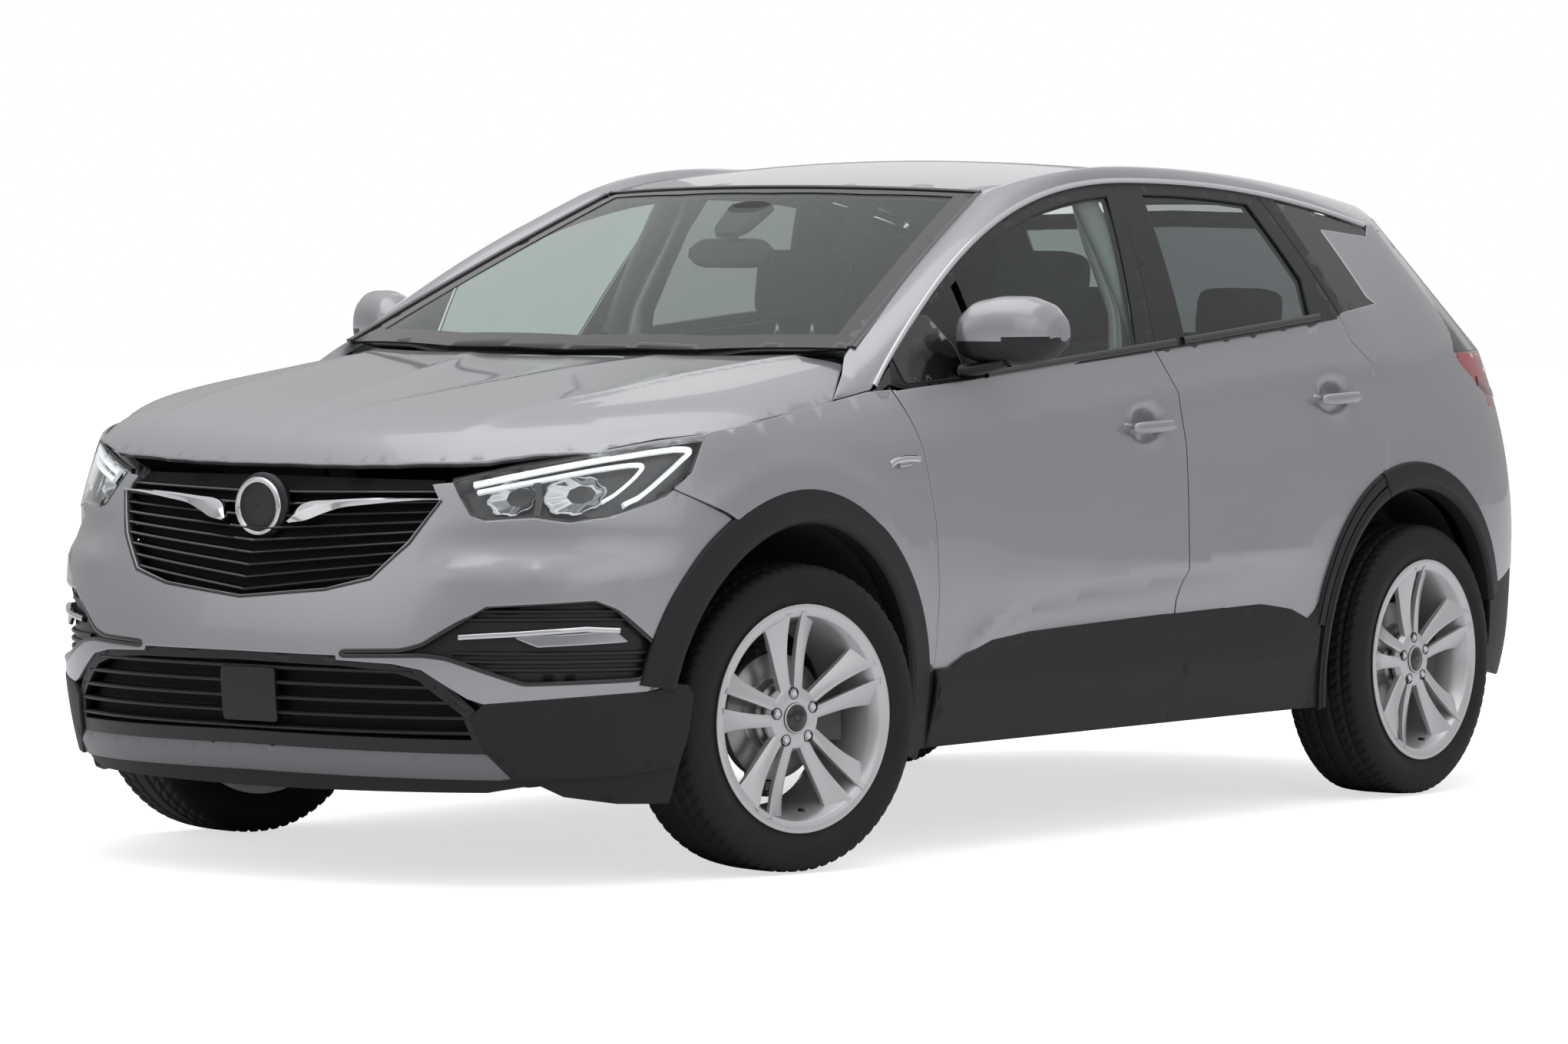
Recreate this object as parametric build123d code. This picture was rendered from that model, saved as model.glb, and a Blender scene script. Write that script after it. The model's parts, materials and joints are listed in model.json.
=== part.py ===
"""A compact crossover as an assembly of separate panels, glass, wheels, axles and cabin furniture.

Millimetres. The car faces -Y, its left side is +X and +Z is up. The origin is on the ground,
midway along the car's length and width. The front wheels are parked turned to the car's right.
"""

from build123d import *
import os
from math import cos, radians, sin

import numpy as np

os.makedirs("parts", exist_ok=True)

# Overall sizes
LENGTH = 4477.0
HALF_WIDTH = 912.0  # at the doors
ROOF_Z = 1618.0
WHEELBASE = 2675.0
FRONT_OVERHANG = 928.5
NOSE_Y = -LENGTH / 2
TAIL_Y = LENGTH / 2
FRONT_AXLE_Y = NOSE_Y + FRONT_OVERHANG
REAR_AXLE_Y = FRONT_AXLE_Y + WHEELBASE

# Wheels, measured from the wheel's centre along its axle where a place is given
TYRE_R = 348.0
TYRE_WIDTH = 225.0
RIM_R = 246.0
RIM_WIDTH = 214.0
BEAD_R = 228.5
RIM_WALL = 6.5
FRONT_TRACK_HALF = 797.0
REAR_TRACK_HALF = 800.0
HUB_FACE = 42.0  # the wheel's mounting face is this far outboard of its centre
DISC_R = 142.0
DISC_THICK = 24.0
DISC_INNER = -16.0
STUB_R = 28.0
STUB_END = 60.0
BORE_GAP = 0.05  # radial running clearance of every shaft and pin
PARKED_STEER = 12.8  # degrees to the car's right
KINGPIN_INSET = 20.0
BALL_R = 9.0

# Panels
SKIN = 4.0
DOOR_DEPTH = 110.0
FRAME_DEPTH = 24.0
PANEL_DEPTH = 70.0
BUMPER_DEPTH = 28.0
GLASS = 5.0
SHUT_GAP = 6.0  # round a panel that opens
SEAM = 0.5  # between fixed panels
SILL_BOTTOM_Z = 257.0
SILL_TOP_Z = 385.0
ARCH_R = 412.0
ARCH_Z = 372.0
FRONT_ARCH_Y = FRONT_AXLE_Y - 30.0
REAR_ARCH_Y = REAR_AXLE_Y - 40.0
LINER_THICK = 4.0

# Where the plan view starts to turn in towards the nose and the tail, and how squarely
FRONT_TURN_Y = -1350.0
REAR_TURN_Y = 1300.0
FRONT_ROUND = 2.57
REAR_ROUND = 3.4

# Hinges: pivots are vertical for the side doors and cross the car for the lids
DOOR_PIVOT_X = HALF_WIDTH - 34.0
FRONT_PIVOT_Y = -778.0
REAR_PIVOT_Y = 278.0
DOOR_PIN_R = 5.0
DOOR_BARREL_R = 9.0
DOOR_HINGE_ZS = (430.0, 830.0)
BONNET_PIVOT = (-962.0, 1146.0)
BONNET_PIN_R = 4.0
BONNET_BARREL_R = 7.0
TAILGATE_PIVOT_Y = 1442.0
TAILGATE_HINGE_X = 200.0
TAILGATE_BARREL_R = 7.0
TAILGATE_PIN_R = 4.0
HINGE_WIDTH = 20.0

# Cabin
FLOOR_Z = 282.0
FLOOR_X = 698.0
WELL_X = 655.0
BOOT_Z = 430.0
BOOT_END_Y = 2055.0
BULKHEAD_TOP_Z = 1056.0
SEAT_X = 370.0
WHEEL_HUB = (370.0, -455.0, 985.0)
WHEEL_RAKE = 24.0
WHEEL_RIM_R = 182.0


def save(shape, name):
    """Writes one node's solids."""
    export_step(shape, f"parts/{name}.step")


def mirror_x(shape):
    """The same piece on the car's right side."""
    return mirror(shape, about=Plane.YZ)


def both(shape):
    """Left and right copies as one node of separate solids."""
    return Compound(children=[*shape.solids(), *mirror_x(shape).solids()])


# ---------------------------------------------------------------- body surface
def belt_z(y):
    """Height of the bottom of the side glass."""
    return 1081.0 + 0.0812 * (y + 830.0)


def rail_z(y):
    """Height of the top of the side glass and its doors."""
    ahead = np.clip(350.0 - y, 0, None) / 1333.0
    behind = np.clip(y - 350.0, 0, None) / 988.0
    return 1562.0 - 494.0 * ahead**2.1 - 101.0 * behind**2.2


def cut_z(y):
    """Height of the seam between the bonnet and the wing."""
    return 989.0 + 0.126 * (y + 1633.0)


def nose_line(z):
    """The body's foremost point at a height."""
    up = np.clip(z - 480.0, 0, None) / 420.0
    down = np.clip(480.0 - z, 0, None) / 250.0
    return NOSE_Y + 128.0 * up**1.7 + 45.0 * down**2


def tail_line(z):
    """The body's rearmost point at a height."""
    lower = 143.0 * (np.clip(z - 640.0, 0, 490.0) / 490.0) ** 1.8
    above = np.clip(z - 1130.0, 0, None)
    down = 60.0 * (np.clip(430.0 - z, 0, None) / 200.0) ** 2
    return TAIL_Y - lower - 1.6 * above + 0.0005 * above**2 - down


def widest_x(y, z):
    """Half width of the lower body before its ends turn in."""
    over = (z - 680.0) / 420.0
    bulge = np.where(over > 0, 45.0, 30.0) * over**2
    ahead = np.clip((-700.0 - y) / 300.0, 0, 1)
    shoulder = 20.0 * ahead * (np.clip(z - 930.0, 0, None) / 100.0) ** 2
    middle = np.exp(-(((y - 10.0) / 620.0) ** 4))
    recess = 24.0 * middle * np.exp(-(((z - 530.0) / 70.0) ** 2))
    return HALF_WIDTH - bulge - shoulder - recess


def turn_in(share, squareness):
    """How far across a rounded end still reaches at a share of its length."""
    return (1.0 - np.clip(share, 0, 0.999) ** squareness) ** (1.0 / squareness)


def side_x(y, z):
    """Half width of the lower body."""
    front = turn_in((FRONT_TURN_Y - y) / (FRONT_TURN_Y - nose_line(z)), FRONT_ROUND)
    rear = turn_in((y - REAR_TURN_Y) / (tail_line(z) - REAR_TURN_Y), REAR_ROUND)
    return widest_x(y, z) * front * rear


def cabin_x(y, z):
    """Half width of the glasshouse."""
    d = z - belt_z(y)
    front = 35.0 * (np.clip(-200.0 - y, 0, None) / 800.0) ** 2
    rear = 60.0 * (np.clip(y - 300.0, 0, None) / 1200.0) ** 2
    return HALF_WIDTH - 50.0 - 0.42 * d - 0.00029 * d * np.abs(d) - front - rear


def round_end(angle, z, turn_y, end_y, squareness, width):
    """A point on a rounded end: angle 0 is straight ahead or behind, 90 degrees the side."""
    s, c = np.sin(angle), np.cos(angle)
    reach = (abs(s) ** squareness + abs(c) ** squareness) ** (-1.0 / squareness)
    return width * reach * s, turn_y + (end_y - turn_y) * reach * c, z


def nose_point(angle, z):
    """A point on the front bumper and grille surface."""
    width = widest_x(FRONT_TURN_Y, z)
    return round_end(angle, z, FRONT_TURN_Y, nose_line(z), FRONT_ROUND, width)


def tail_width(z):
    """Half width that the rear end's plan view starts from."""
    over = z - 1130.0
    low = widest_x(REAR_TURN_Y, np.minimum(z, 1130.0))
    return np.where(over < 0, low, 863.0 - 0.3 * over - 0.00038 * over**2)


def tail_point(angle, z):
    """A point on the rear bumper, tailgate and rear glass surface."""
    return round_end(angle, z, REAR_TURN_Y, tail_line(z), REAR_ROUND, tail_width(z))


def nose_y(x, z):
    """Front surface at a place across the car."""
    share = np.abs(x) / widest_x(FRONT_TURN_Y, z)
    return FRONT_TURN_Y + (nose_line(z) - FRONT_TURN_Y) * turn_in(share, FRONT_ROUND)


def tail_y(x, z):
    """Rear surface at a place across the car."""
    share = np.abs(x) / tail_width(z)
    return REAR_TURN_Y + (tail_line(z) - REAR_TURN_Y) * turn_in(share, REAR_ROUND)


def bonnet_z(x, y):
    """Top of the bonnet: flat across, rolled down to the wings and to its front lip."""
    along = np.clip(y + 2165.0, 0, None) / 1090.0
    crest = 985.0 + 165.0 * along**0.85
    across = np.clip(np.abs(x) / side_x(np.maximum(y, -1800.0), cut_z(y)), 0, 1.05)
    drop = crest - cut_z(np.maximum(y, -1900.0))
    roll = drop * (0.15 * across**2 + 0.85 * across**12)
    lip = 80.0 * np.exp(-np.clip(y - nose_y(x, 905.0), 0, None) / 70.0)
    return crest - np.minimum(roll, 150.0) - lip


def screen_z(x, y):
    """Outer face of the windscreen."""
    t = (y + 1060.0) / 840.0
    return 1160.0 + 388.0 * t + 40.0 * t * (1.0 - t) - (0.00008 + 0.00005 * t) * x**2


def roof_z(x, y):
    """Top of the roof."""
    along = (y - 400.0) / 1000.0
    fall = np.where(along < 0, 182.0, 60.0) * along**2
    return ROOF_Z - fall - 0.0001 * x**2


def grid_face(point, us, vs):
    """A smooth face through point(u, v) over a grid."""
    rows = [[Vector(*map(float, point(u, v))) for v in vs] for u in us]
    return Face.make_surface_from_array_of_points(rows, tol=0.5)


LOWER_FACE = grid_face(
    lambda y, z: (side_x(y, z), y, z),
    np.linspace(-1800.0, 1900.0, 25),
    np.linspace(200.0, 1330.0, 14),
)
CABIN_FACE = grid_face(
    lambda y, z: (cabin_x(y, z), y, z),
    np.linspace(-1250.0, 1900.0, 15),
    np.linspace(980.0, 1700.0, 8),
)
BONNET_FACE = grid_face(
    lambda x, y: (x, y, bonnet_z(x, y)),
    np.linspace(-860.0, 860.0, 25),
    np.linspace(-2162.0, -860.0, 21),
)
SCREEN_FACE = grid_face(
    lambda x, y: (x, y, screen_z(x, y)),
    np.linspace(-900.0, 900.0, 9),
    np.linspace(-1200.0, -100.0, 7),
)
ROOF_FACE = grid_face(
    lambda x, y: (x, y, roof_z(x, y)),
    np.linspace(-800.0, 800.0, 9),
    np.linspace(-420.0, 1700.0, 13),
)
NOSE_FACE = grid_face(
    nose_point, np.radians(np.linspace(0.0, 90.0, 14)), np.linspace(200.0, 1010.0, 13)
)
TAIL_FACE = grid_face(
    tail_point, np.radians(np.linspace(0.0, 90.0, 14)), np.linspace(200.0, 1129.0, 12)
)
HATCH_FACE = grid_face(
    lambda x, z: (x, tail_y(x, z), z),
    np.linspace(-660.0, 660.0, 13),
    np.linspace(500.0, 1129.0, 9),
)
UPPER_TAIL_FACE = grid_face(
    tail_point, np.radians(np.linspace(0.0, 90.0, 14)), np.linspace(1120.0, 1500.0, 7)
)
REAR_SCREEN_FACE = grid_face(
    lambda x, z: (x, tail_y(x, z), z),
    np.linspace(-640.0, 640.0, 11),
    np.linspace(1129.0, 1560.0, 7),
)

# ---------------------------------------------------------------- solids from outlines
def slab(face, direction, near, far):
    """The layer between two depths behind a face, both measured along direction."""
    unit = Vector(*direction)
    start = face.moved(Location(unit * near))
    return Solid.extrude(start, unit * (far - near))


def grow(points, by):
    """An outline moved outwards by a distance, or inwards by a negative one."""
    corners = np.array(points, dtype=float)
    edge = np.roll(corners, -1, axis=0) - corners
    edge /= np.linalg.norm(edge, axis=1)[:, None]
    turning = np.sum(corners[:, 0] * np.roll(corners[:, 1], -1) - np.roll(corners[:, 0], -1) * corners[:, 1])
    out = np.stack([edge[:, 1], -edge[:, 0]], axis=1) * (by if turning > 0 else -by)
    before = np.roll(out, 1, axis=0)
    lean = 1.0 + np.sum(out * before, axis=1) / by**2
    return [tuple(p) for p in corners + (out + before) / lean[:, None]]


def prism_yz(points, x0=300.0, x1=1200.0):
    """A side-view outline carried across the car's left side."""
    face = Face(Wire.make_polygon([(x0, y, z) for y, z in points], close=True))
    return Solid.extrude(face, Vector(x1 - x0, 0, 0))


def prism_xy(points, z0, z1):
    """A plan-view outline carried upwards."""
    face = Face(Wire.make_polygon([(x, y, z0) for x, y in points], close=True))
    return Solid.extrude(face, Vector(0, 0, z1 - z0))


def prism_xz(points, y0, y1):
    """A front-view outline carried along the car."""
    face = Face(Wire.make_polygon([(x, y0, z) for x, z in points], close=True))
    return Solid.extrude(face, Vector(0, y1 - y0, 0))


def block(x0, x1, y0, y1, z0, z1):
    """A box between two corners."""
    return Pos((x0 + x1) / 2, (y0 + y1) / 2, (z0 + z1) / 2) * Box(x1 - x0, y1 - y0, z1 - z0)


def cylinder_x(y, z, r, x0, x1):
    """A cylinder across the car."""
    return Pos((x0 + x1) / 2, y, z) * Rot(0, 90, 0) * Cylinder(r, x1 - x0)


def cylinder_z(x, y, r, z0, z1):
    """An upright cylinder."""
    return Pos(x, y, (z0 + z1) / 2) * Cylinder(r, z1 - z0)


def mirror_points(points):
    """A closed symmetrical outline from its left half."""
    return [*points, *[(-x, v) for x, v in reversed(points) if abs(x) > 1e-6]]


def ruled(sections):
    """A closed solid through polygon sections, with straight lines between them."""
    wires = [Wire.make_polygon(points, close=True) for points in sections]
    solid = Solid.make_loft(wires, ruled=True)
    return solid if solid.volume > 0 else Solid.make_loft(wires[::-1], ruled=True)


IN = (-1, 0, 0)
FRONT_DIAG = (-1, 1, 0)
REAR_DIAG = (-1, -1, 0)

# ---------------------------------------------------------------- shut lines, side view (y, z)
FRONT_CUT = [(-835, 257), (-818, 424), (-820, 602), (-833, 777), (-865, 941), (-918, 1083)]
PILLAR_CUT = [(154, 1172), (228, 1050), (243, 927), (220, 620), (208, 420), (170, 257)]
REAR_CUT = [(1050, 1238), (1081, 1165), (1159, 1107), (1187, 1002), (1191, 910), (1167, 795)]
PILLAR_TOP_Y = 270.0
PILLAR_X0 = 700.0
PILLAR_X1 = 738.0
REAR_FRAME_TOP_Y = 898.0


def rail_line(y0, y1, count, below=0.0):
    """Points along the top of the side glass."""
    return [(float(y), float(rail_z(y)) - below) for y in np.linspace(y0, y1, count)]


def belt_line(y0, y1, below=0.0):
    """The two ends of a stretch of the belt."""
    return [(y, float(belt_z(y)) - below) for y in (y0, y1)]


def arch_arc(centre_y, r, start, end, count):
    """Points round a wheel arch, in degrees from level astern towards the top."""
    angles = np.radians(np.linspace(start, end, count))
    return [(float(centre_y + r * np.cos(a)), float(ARCH_Z + r * np.sin(a))) for a in angles]


REAR_DOOR_ARCH = arch_arc(REAR_ARCH_Y, 455.0, 112.0, 168.0, 7)
FRONT_DOOR = [
    *FRONT_CUT,
    *rail_line(-900, PILLAR_TOP_Y, 12),
    *PILLAR_CUT,
]
REAR_DOOR = [
    *reversed(PILLAR_CUT),
    *rail_line(PILLAR_TOP_Y + 8, REAR_FRAME_TOP_Y, 6),
    *REAR_CUT,
    *REAR_DOOR_ARCH,
    (719, 257),
]
FRONT_WINDOW = [
    *belt_line(85, -520, -3),
    *rail_line(-520, 232, 8, 30.0),
]
REAR_WINDOW = [
    *belt_line(910, 290, -3),
    *rail_line(375, 840, 5, 26.0),
    (935, 1320),
]
QUARTER_GLASS = [
    (1060, 1236),
    (912, float(rail_z(912)) - 8),
    (1060, float(rail_z(1060)) - 4),
    (1363, 1452),
    (1346, 1426),
    (1129, 1449),
    (1222, 1279),
    (1262, 1254),
]


def pin_hinge(y, z, pillar_y):
    """One side-door hinge: the body's bracket and pin, and the door's arm with its bore."""
    x = DOOR_PIVOT_X
    bracket = block(PILLAR_X0, x + 7, y - DOOR_BARREL_R, y + DOOR_BARREL_R, z - 20, z - 1)
    bracket += block(PILLAR_X0, PILLAR_X1, pillar_y, y + 12, z - 20, z - 1)
    pin = cylinder_z(x, y, DOOR_PIN_R, z - 20, z + 32)
    arm = block(x - DOOR_BARREL_R, x + 4, y - DOOR_BARREL_R, y + 24, z, z + 28)
    barrel = cylinder_z(x, y, DOOR_BARREL_R, z, z + 28)
    bore = cylinder_z(x, y, DOOR_PIN_R + BORE_GAP, z - 2, z + 40)
    return bracket + pin, (arm + barrel) - bore


def side_door(shape, box_shape, window, pivot_y):
    """A door: thin edges round a deep middle, a window frame and its hinge arms."""
    edge = grow(shape, -SHUT_GAP / 2)
    belt = [*belt_line(-1300, 2000, 8), (2000, 0), (-1300, 0)]
    lower = prism_yz(edge) & prism_yz(belt)
    upper = prism_yz(edge) - prism_yz([*belt_line(-1300, 2000, 22), (2000, 0), (-1300, 0)])
    door = slab(LOWER_FACE, IN, 0, SKIN) & lower
    below_band = prism_yz([*belt_line(-1300, 2000, 34), (2000, 0), (-1300, 0)])
    door += slab(LOWER_FACE, IN, 0, FRAME_DEPTH + 12) & (lower - below_band)
    door += slab(LOWER_FACE, IN, SKIN / 2, DOOR_DEPTH) & prism_yz(box_shape)
    door += (slab(CABIN_FACE, IN, 0, FRAME_DEPTH) & upper) - prism_yz(window)
    for z in DOOR_HINGE_ZS:
        door += pin_hinge(pivot_y, z, pivot_y)[1]
    return door


def window_glass(window, depth=9.0):
    """The pane that fills a window opening."""
    return slab(CABIN_FACE, IN, depth, depth + GLASS) & prism_yz(grow(window, -SEAM))


FRONT_DOOR_BOX = [
    (FRONT_PIVOT_Y + 18, 395),
    *belt_line(FRONT_PIVOT_Y + 18, 120, 10),
    (130, 1000),
    (130, 395),
]
REAR_DOOR_BOX = [
    (REAR_PIVOT_Y + 18, 395),
    *belt_line(REAR_PIVOT_Y + 18, 1000, 10),
    (1060, 1130),
    (1120, 1050),
    (1120, 850),
    *arch_arc(REAR_ARCH_Y, 500.0, 114.0, 158.0, 5),
    (850, 395),
]
front_door = side_door(FRONT_DOOR, FRONT_DOOR_BOX, FRONT_WINDOW, FRONT_PIVOT_Y)
rear_door = side_door(REAR_DOOR, REAR_DOOR_BOX, REAR_WINDOW, REAR_PIVOT_Y)
HANDLE = [(-100, -11), (-90, 11), (85, 14), (100, 4), (92, -12)]
for door, name, y, z in ((front_door, "front", 88.0, 972.0), (rear_door, "rear", 964.0, 1025.0)):
    centre = y - 12.0
    grip = prism_yz([(centre + a, z + b) for a, b in HANDLE])
    bar = slab(LOWER_FACE, (1, 0, 0), 14, 28) & grip
    ends = block(300, 1200, centre - 98, centre - 70, 0, 1400) + block(300, 1200, centre + 66, centre + 94, 0, 1400)
    feet = grip & ends
    door = door + bar + (slab(LOWER_FACE, (1, 0, 0), -2, 20) & feet)
    save(door, f"{name}_door_left")
    save(mirror_x(door), f"{name}_door_right")
for window, name in ((FRONT_WINDOW, "front"), (REAR_WINDOW, "rear")):
    pane = window_glass(window)
    save(pane, f"{name}_door_glass_left")
    save(mirror_x(pane), f"{name}_door_glass_right")

# ---------------------------------------------------------------- door mirrors
def oval_x(x, y, z, ry, rz):
    """An upright oval outline across the car's X axis."""
    return Wire([Edge.make_ellipse(ry, rz, Plane(origin=(x, y, z), x_dir=(0, 1, 0), z_dir=(1, 0, 0)))])


MIRROR_OVALS = [(888, 22, 40), (905, 38, 58), (945, 50, 68), (990, 50, 66), (1025, 38, 52), (1048, 14, 22)]
shell = Solid.make_loft([oval_x(x, -520, 1203, ry, rz) for x, ry, rz in MIRROR_OVALS])
shell -= block(800, 1100, -490, -400, 1100, 1300)
foot_x = float(cabin_x(-560, 1128)) + 0.3
arm = ruled(
    [
        [(foot_x, -610, 1112), (foot_x, -540, 1116), (foot_x, -540, 1140), (foot_x, -610, 1136)],
        [(950, -560, 1135), (950, -505, 1135), (950, -505, 1165), (950, -560, 1165)],
    ]
)
arm -= slab(CABIN_FACE, IN, -0.3, 80)
mirror_left = shell + arm
save(mirror_left, "mirror_left")
save(mirror_x(mirror_left), "mirror_right")

# ---------------------------------------------------------------- outlines at the front and rear
GRILLE = [(0, 886), (428, 883), (458, 846), (409, 756), (339, 679), (231, 652), (0, 630)]
LOWER_GRILLE = [(0, 503), (275, 500), (409, 493), (474, 468), (569, 387), (588, 317), (536, 310), (0, 318)]
FOG_POD = [(474, 533), (595, 621), (770, 633), (796, 615), (854, 501), (846, 472), (817, 457), (666, 451), (527, 508)]
LAMP_FRONT = [
    (473, 889),
    (528, 815),
    (563, 803),
    (652, 810),
    (713, 799),
    (770, 812),
    (960, 812),
    (960, 1030),
    (852, 989),
    (731, 952),
]
LAMP_SIDE = [
    (-2300, 700),
    (-1925, 700),
    (-1925, 800),
    (-1760, 855),
    (-1692, 905),
    (-1630, 989),
    (-1650, 1040),
    (-2300, 1040),
]


def lamp_space(by):
    """The room a headlamp takes, with a gap round it."""
    return prism_xz(grow(LAMP_FRONT, by), -2300, -1500) & prism_yz(grow(LAMP_SIDE, by))


BUMPER_SIDE = [
    (-2400, 245),
    (-1700, 245),
    (-1700, 500),
    (-1515, 740),
    (-1534, 770),
    (-1614, 817),
    (-1740, 872),
    (-1760, 1020),
    (-2400, 1020),
]
WING_SIDE = [
    *[(y - SHUT_GAP, z) for y, z in FRONT_CUT],
    *[(y, float(cut_z(y)) - 2) for y in (-1003, -1128, -1419, -1612)],
    (-1630, 987),
    (-1692, 905),
    *[(y + SEAM, z + SEAM) for y, z in reversed(BUMPER_SIDE[2:7])],
    (-1340, 420),
    (-1340, 257),
]
BONNET_PLAN = [
    (0, -2155),
    (230, -2134),
    (428, -2062),
    (480, -2032),
    (600, -1950),
    (731, -1838),
    (842, -1640),
    (862, -1500),
    (862, -1350),
    (852, -1148),
    (744, -962),
    (372, -1052),
    (0, -1081),
]
HATCH = [
    (0, 692),
    (545, 700),
    (590, 780),
    (614, 985),
    (617, 1134),
    (650, 1155),
    (600, 1330),
    (560, 1500),
    (545, 1640),
    (0, 1640),
]
HATCH_HOLE = prism_xz(mirror_points(HATCH), 1300, 2400)

# ---------------------------------------------------------------- body sides
FRONT_ARCH = cylinder_x(FRONT_ARCH_Y, ARCH_Z, ARCH_R, 400, 1200)
REAR_ARCH = cylinder_x(REAR_ARCH_Y, ARCH_Z, ARCH_R, 400, 1200)
LINER_ROOM = ARCH_R + LINER_THICK + 1.0


def screen_edge_x(y):
    """Half width of the windscreen, from its foot to its head."""
    return 744.0 - 0.2308 * (y + 945.0)


def roof_edge_x(y):
    """Half width of the roof panel."""
    return float(np.interp(y, [-152, 100, 1100, 1440], [561, 600, 600, 575]))


def rail_section(y):
    """The pillar or roof rail at a place along the car, as a polygon across it."""
    low_z = float(rail_z(y)) + SHUT_GAP
    low_x = float(cabin_x(y, low_z))
    if y < -152:
        high_x = screen_edge_x(y) - 4.0
        high_z = float(screen_z(high_x, y)) + 2.0
    else:
        high_x = roof_edge_x(y) - 4.0
        high_z = float(roof_z(high_x, y))
    return [(low_x, y, low_z), (high_x, y, high_z), (high_x, y, high_z - 42), (low_x - 34, y, low_z)]


roof_edge = [(roof_edge_x(y), y) for y in np.linspace(-152, 1436, 9)]
ROOF_PLAN = mirror_points([(0, 1436), *reversed(roof_edge), (280, -203), (0, -220)])
SCREEN_PLAN = mirror_points(
    [
        (0, -220 - SEAM),
        (280, -203 - SEAM),
        (561, -152 - SEAM),
        (screen_edge_x(-945), -945),
        (372, -1031),
        (0, -1060),
    ]
)

RAIL_YS = [*np.linspace(-985, -152, 9), *np.linspace(-40, 900, 7), *np.linspace(960, 1436, 8)]
side_rail = ruled([rail_section(float(y)) for y in RAIL_YS])
pillar_foot = ruled(
    [
        [(838, -1125, 1050), (815, -1125, 1085), (790, -1125, 1060), (815, -1125, 1036)],
        [(835, -985, 1071), (753, -985, 1150), (735, -985, 1105), (760, -985, 1056)],
        [(826, -925, 1105), (742, -925, 1168), (725, -925, 1120), (744, -925, 1056)],
    ]
)
hinge_pillar = slab(LOWER_FACE, IN, SKIN + SEAM, 180)
hinge_pillar &= prism_yz([(-925, 262), (-866, 262), (-866, 850), (-925, 850)])
hinge_pillar += block(PILLAR_X0, 745, -960, -800, 262, 1056)
hinge_pillar -= cylinder_x(FRONT_ARCH_Y, ARCH_Z, LINER_ROOM, 400, 1200)
sill = slab(LOWER_FACE, IN, 40, 180)
sill &= prism_yz([(-900, 262), (920, 262), (920, SILL_TOP_Z), (-900, SILL_TOP_Z)])
sill -= cylinder_x(REAR_ARCH_Y, ARCH_Z, LINER_ROOM, 400, 1200)
pillar = block(PILLAR_X0, 855, 148, 203, 262, 1030) + block(PILLAR_X0, PILLAR_X1, 148, 215, 1000, 1330)
pillar += ruled(
    [
        [(PILLAR_X0, 148, 1300), (PILLAR_X1, 148, 1300), (PILLAR_X1, 215, 1300), (PILLAR_X0, 215, 1300)],
        [(560, 160, 1562), (615, 160, 1562), (615, 215, 1562), (560, 215, 1562)],
    ]
)
side_left = side_rail + pillar_foot + hinge_pillar + block(PILLAR_X0, 745, -960, -905, 1040, 1110)
side_left += sill + pillar
FRONT_SWING = ((80, 240, 850), (100, 850, 960), (160, 960, 1130))
REAR_SWING = ((118, 240, 400), (82, 400, 1005), (150, 1005, 1345))
for pivot_y, swing in ((FRONT_PIVOT_Y, FRONT_SWING), (REAR_PIVOT_Y, REAR_SWING)):
    for r, z0, z1 in swing:
        side_left -= cylinder_z(DOOR_PIVOT_X, pivot_y, r, z0, z1)

REAR_END = [
    (1689, 257),
    (1689, 740),
    (1723, 786),
    (1762, 857),
    (1784.5, 991),
    (1779, 1015),
    (1621, 1104),
    (1604, 1129),
]
quarter = slab(LOWER_FACE, IN, 0, PANEL_DEPTH)
quarter &= prism_yz([(700, 262), (1200, 262), (1200, 257), *REAR_END, (1314, 1129), *belt_line(1290, 700, 0)])
quarter -= prism_yz(grow(REAR_DOOR, SHUT_GAP / 2))
quarter = quarter - prism_yz(grow(REAR_DOOR_BOX, 18), 300, 905) - REAR_ARCH
CABIN_QUARTER = [(1265, 1246), (1265, 1254), (1222, 1279), (1129, 1449), (1330, 1427), (1330, 1246)]
cabin_quarter = slab(CABIN_FACE, IN, 0, 40) & prism_yz(grow(CABIN_QUARTER, -SEAM))
CORNER = [
    (1306, 1125),
    (1600, 1125),
    (1605, 1132.5),
    (2200, 1132.5),
    (2200, 1490),
    (1436, 1468),
    (1363, 1452),
    (1346, 1425),
    (1306, 1428),
]
corner = slab(UPPER_TAIL_FACE, REAR_DIAG, 0, 36) & prism_yz(CORNER)
side_left += quarter + cabin_quarter + corner
side_left -= HATCH_HOLE
side_left -= prism_xy(grow(ROOF_PLAN, SEAM), 1200, 1700)
screen_room = slab(SCREEN_FACE, (0, 0, -1), -60, 8 + SEAM) & prism_xy(grow(SCREEN_PLAN, SEAM), 1000, 1700)
side_left -= screen_room
side_left -= prism_xy(grow(mirror_points(BONNET_PLAN), SHUT_GAP), 1020, 1300)
side_left -= slab(LOWER_FACE, IN, -20, SKIN + SEAM) & prism_yz(grow(WING_SIDE, SEAM))
for y, pillar_y in ((FRONT_PIVOT_Y, -805.0), (REAR_PIVOT_Y, 198.0)):
    for z in DOOR_HINGE_ZS:
        side_left += pin_hinge(y, z, pillar_y)[0]
lid_y, lid_z = BONNET_PIVOT
side_left += cylinder_x(lid_y, lid_z, BONNET_PIN_R, 690, 752) + block(726, 752, lid_y + 0, -935, lid_z - 26, lid_z + 4)
save(side_left, "body_side_left")
save(mirror_x(side_left), "body_side_right")

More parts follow.
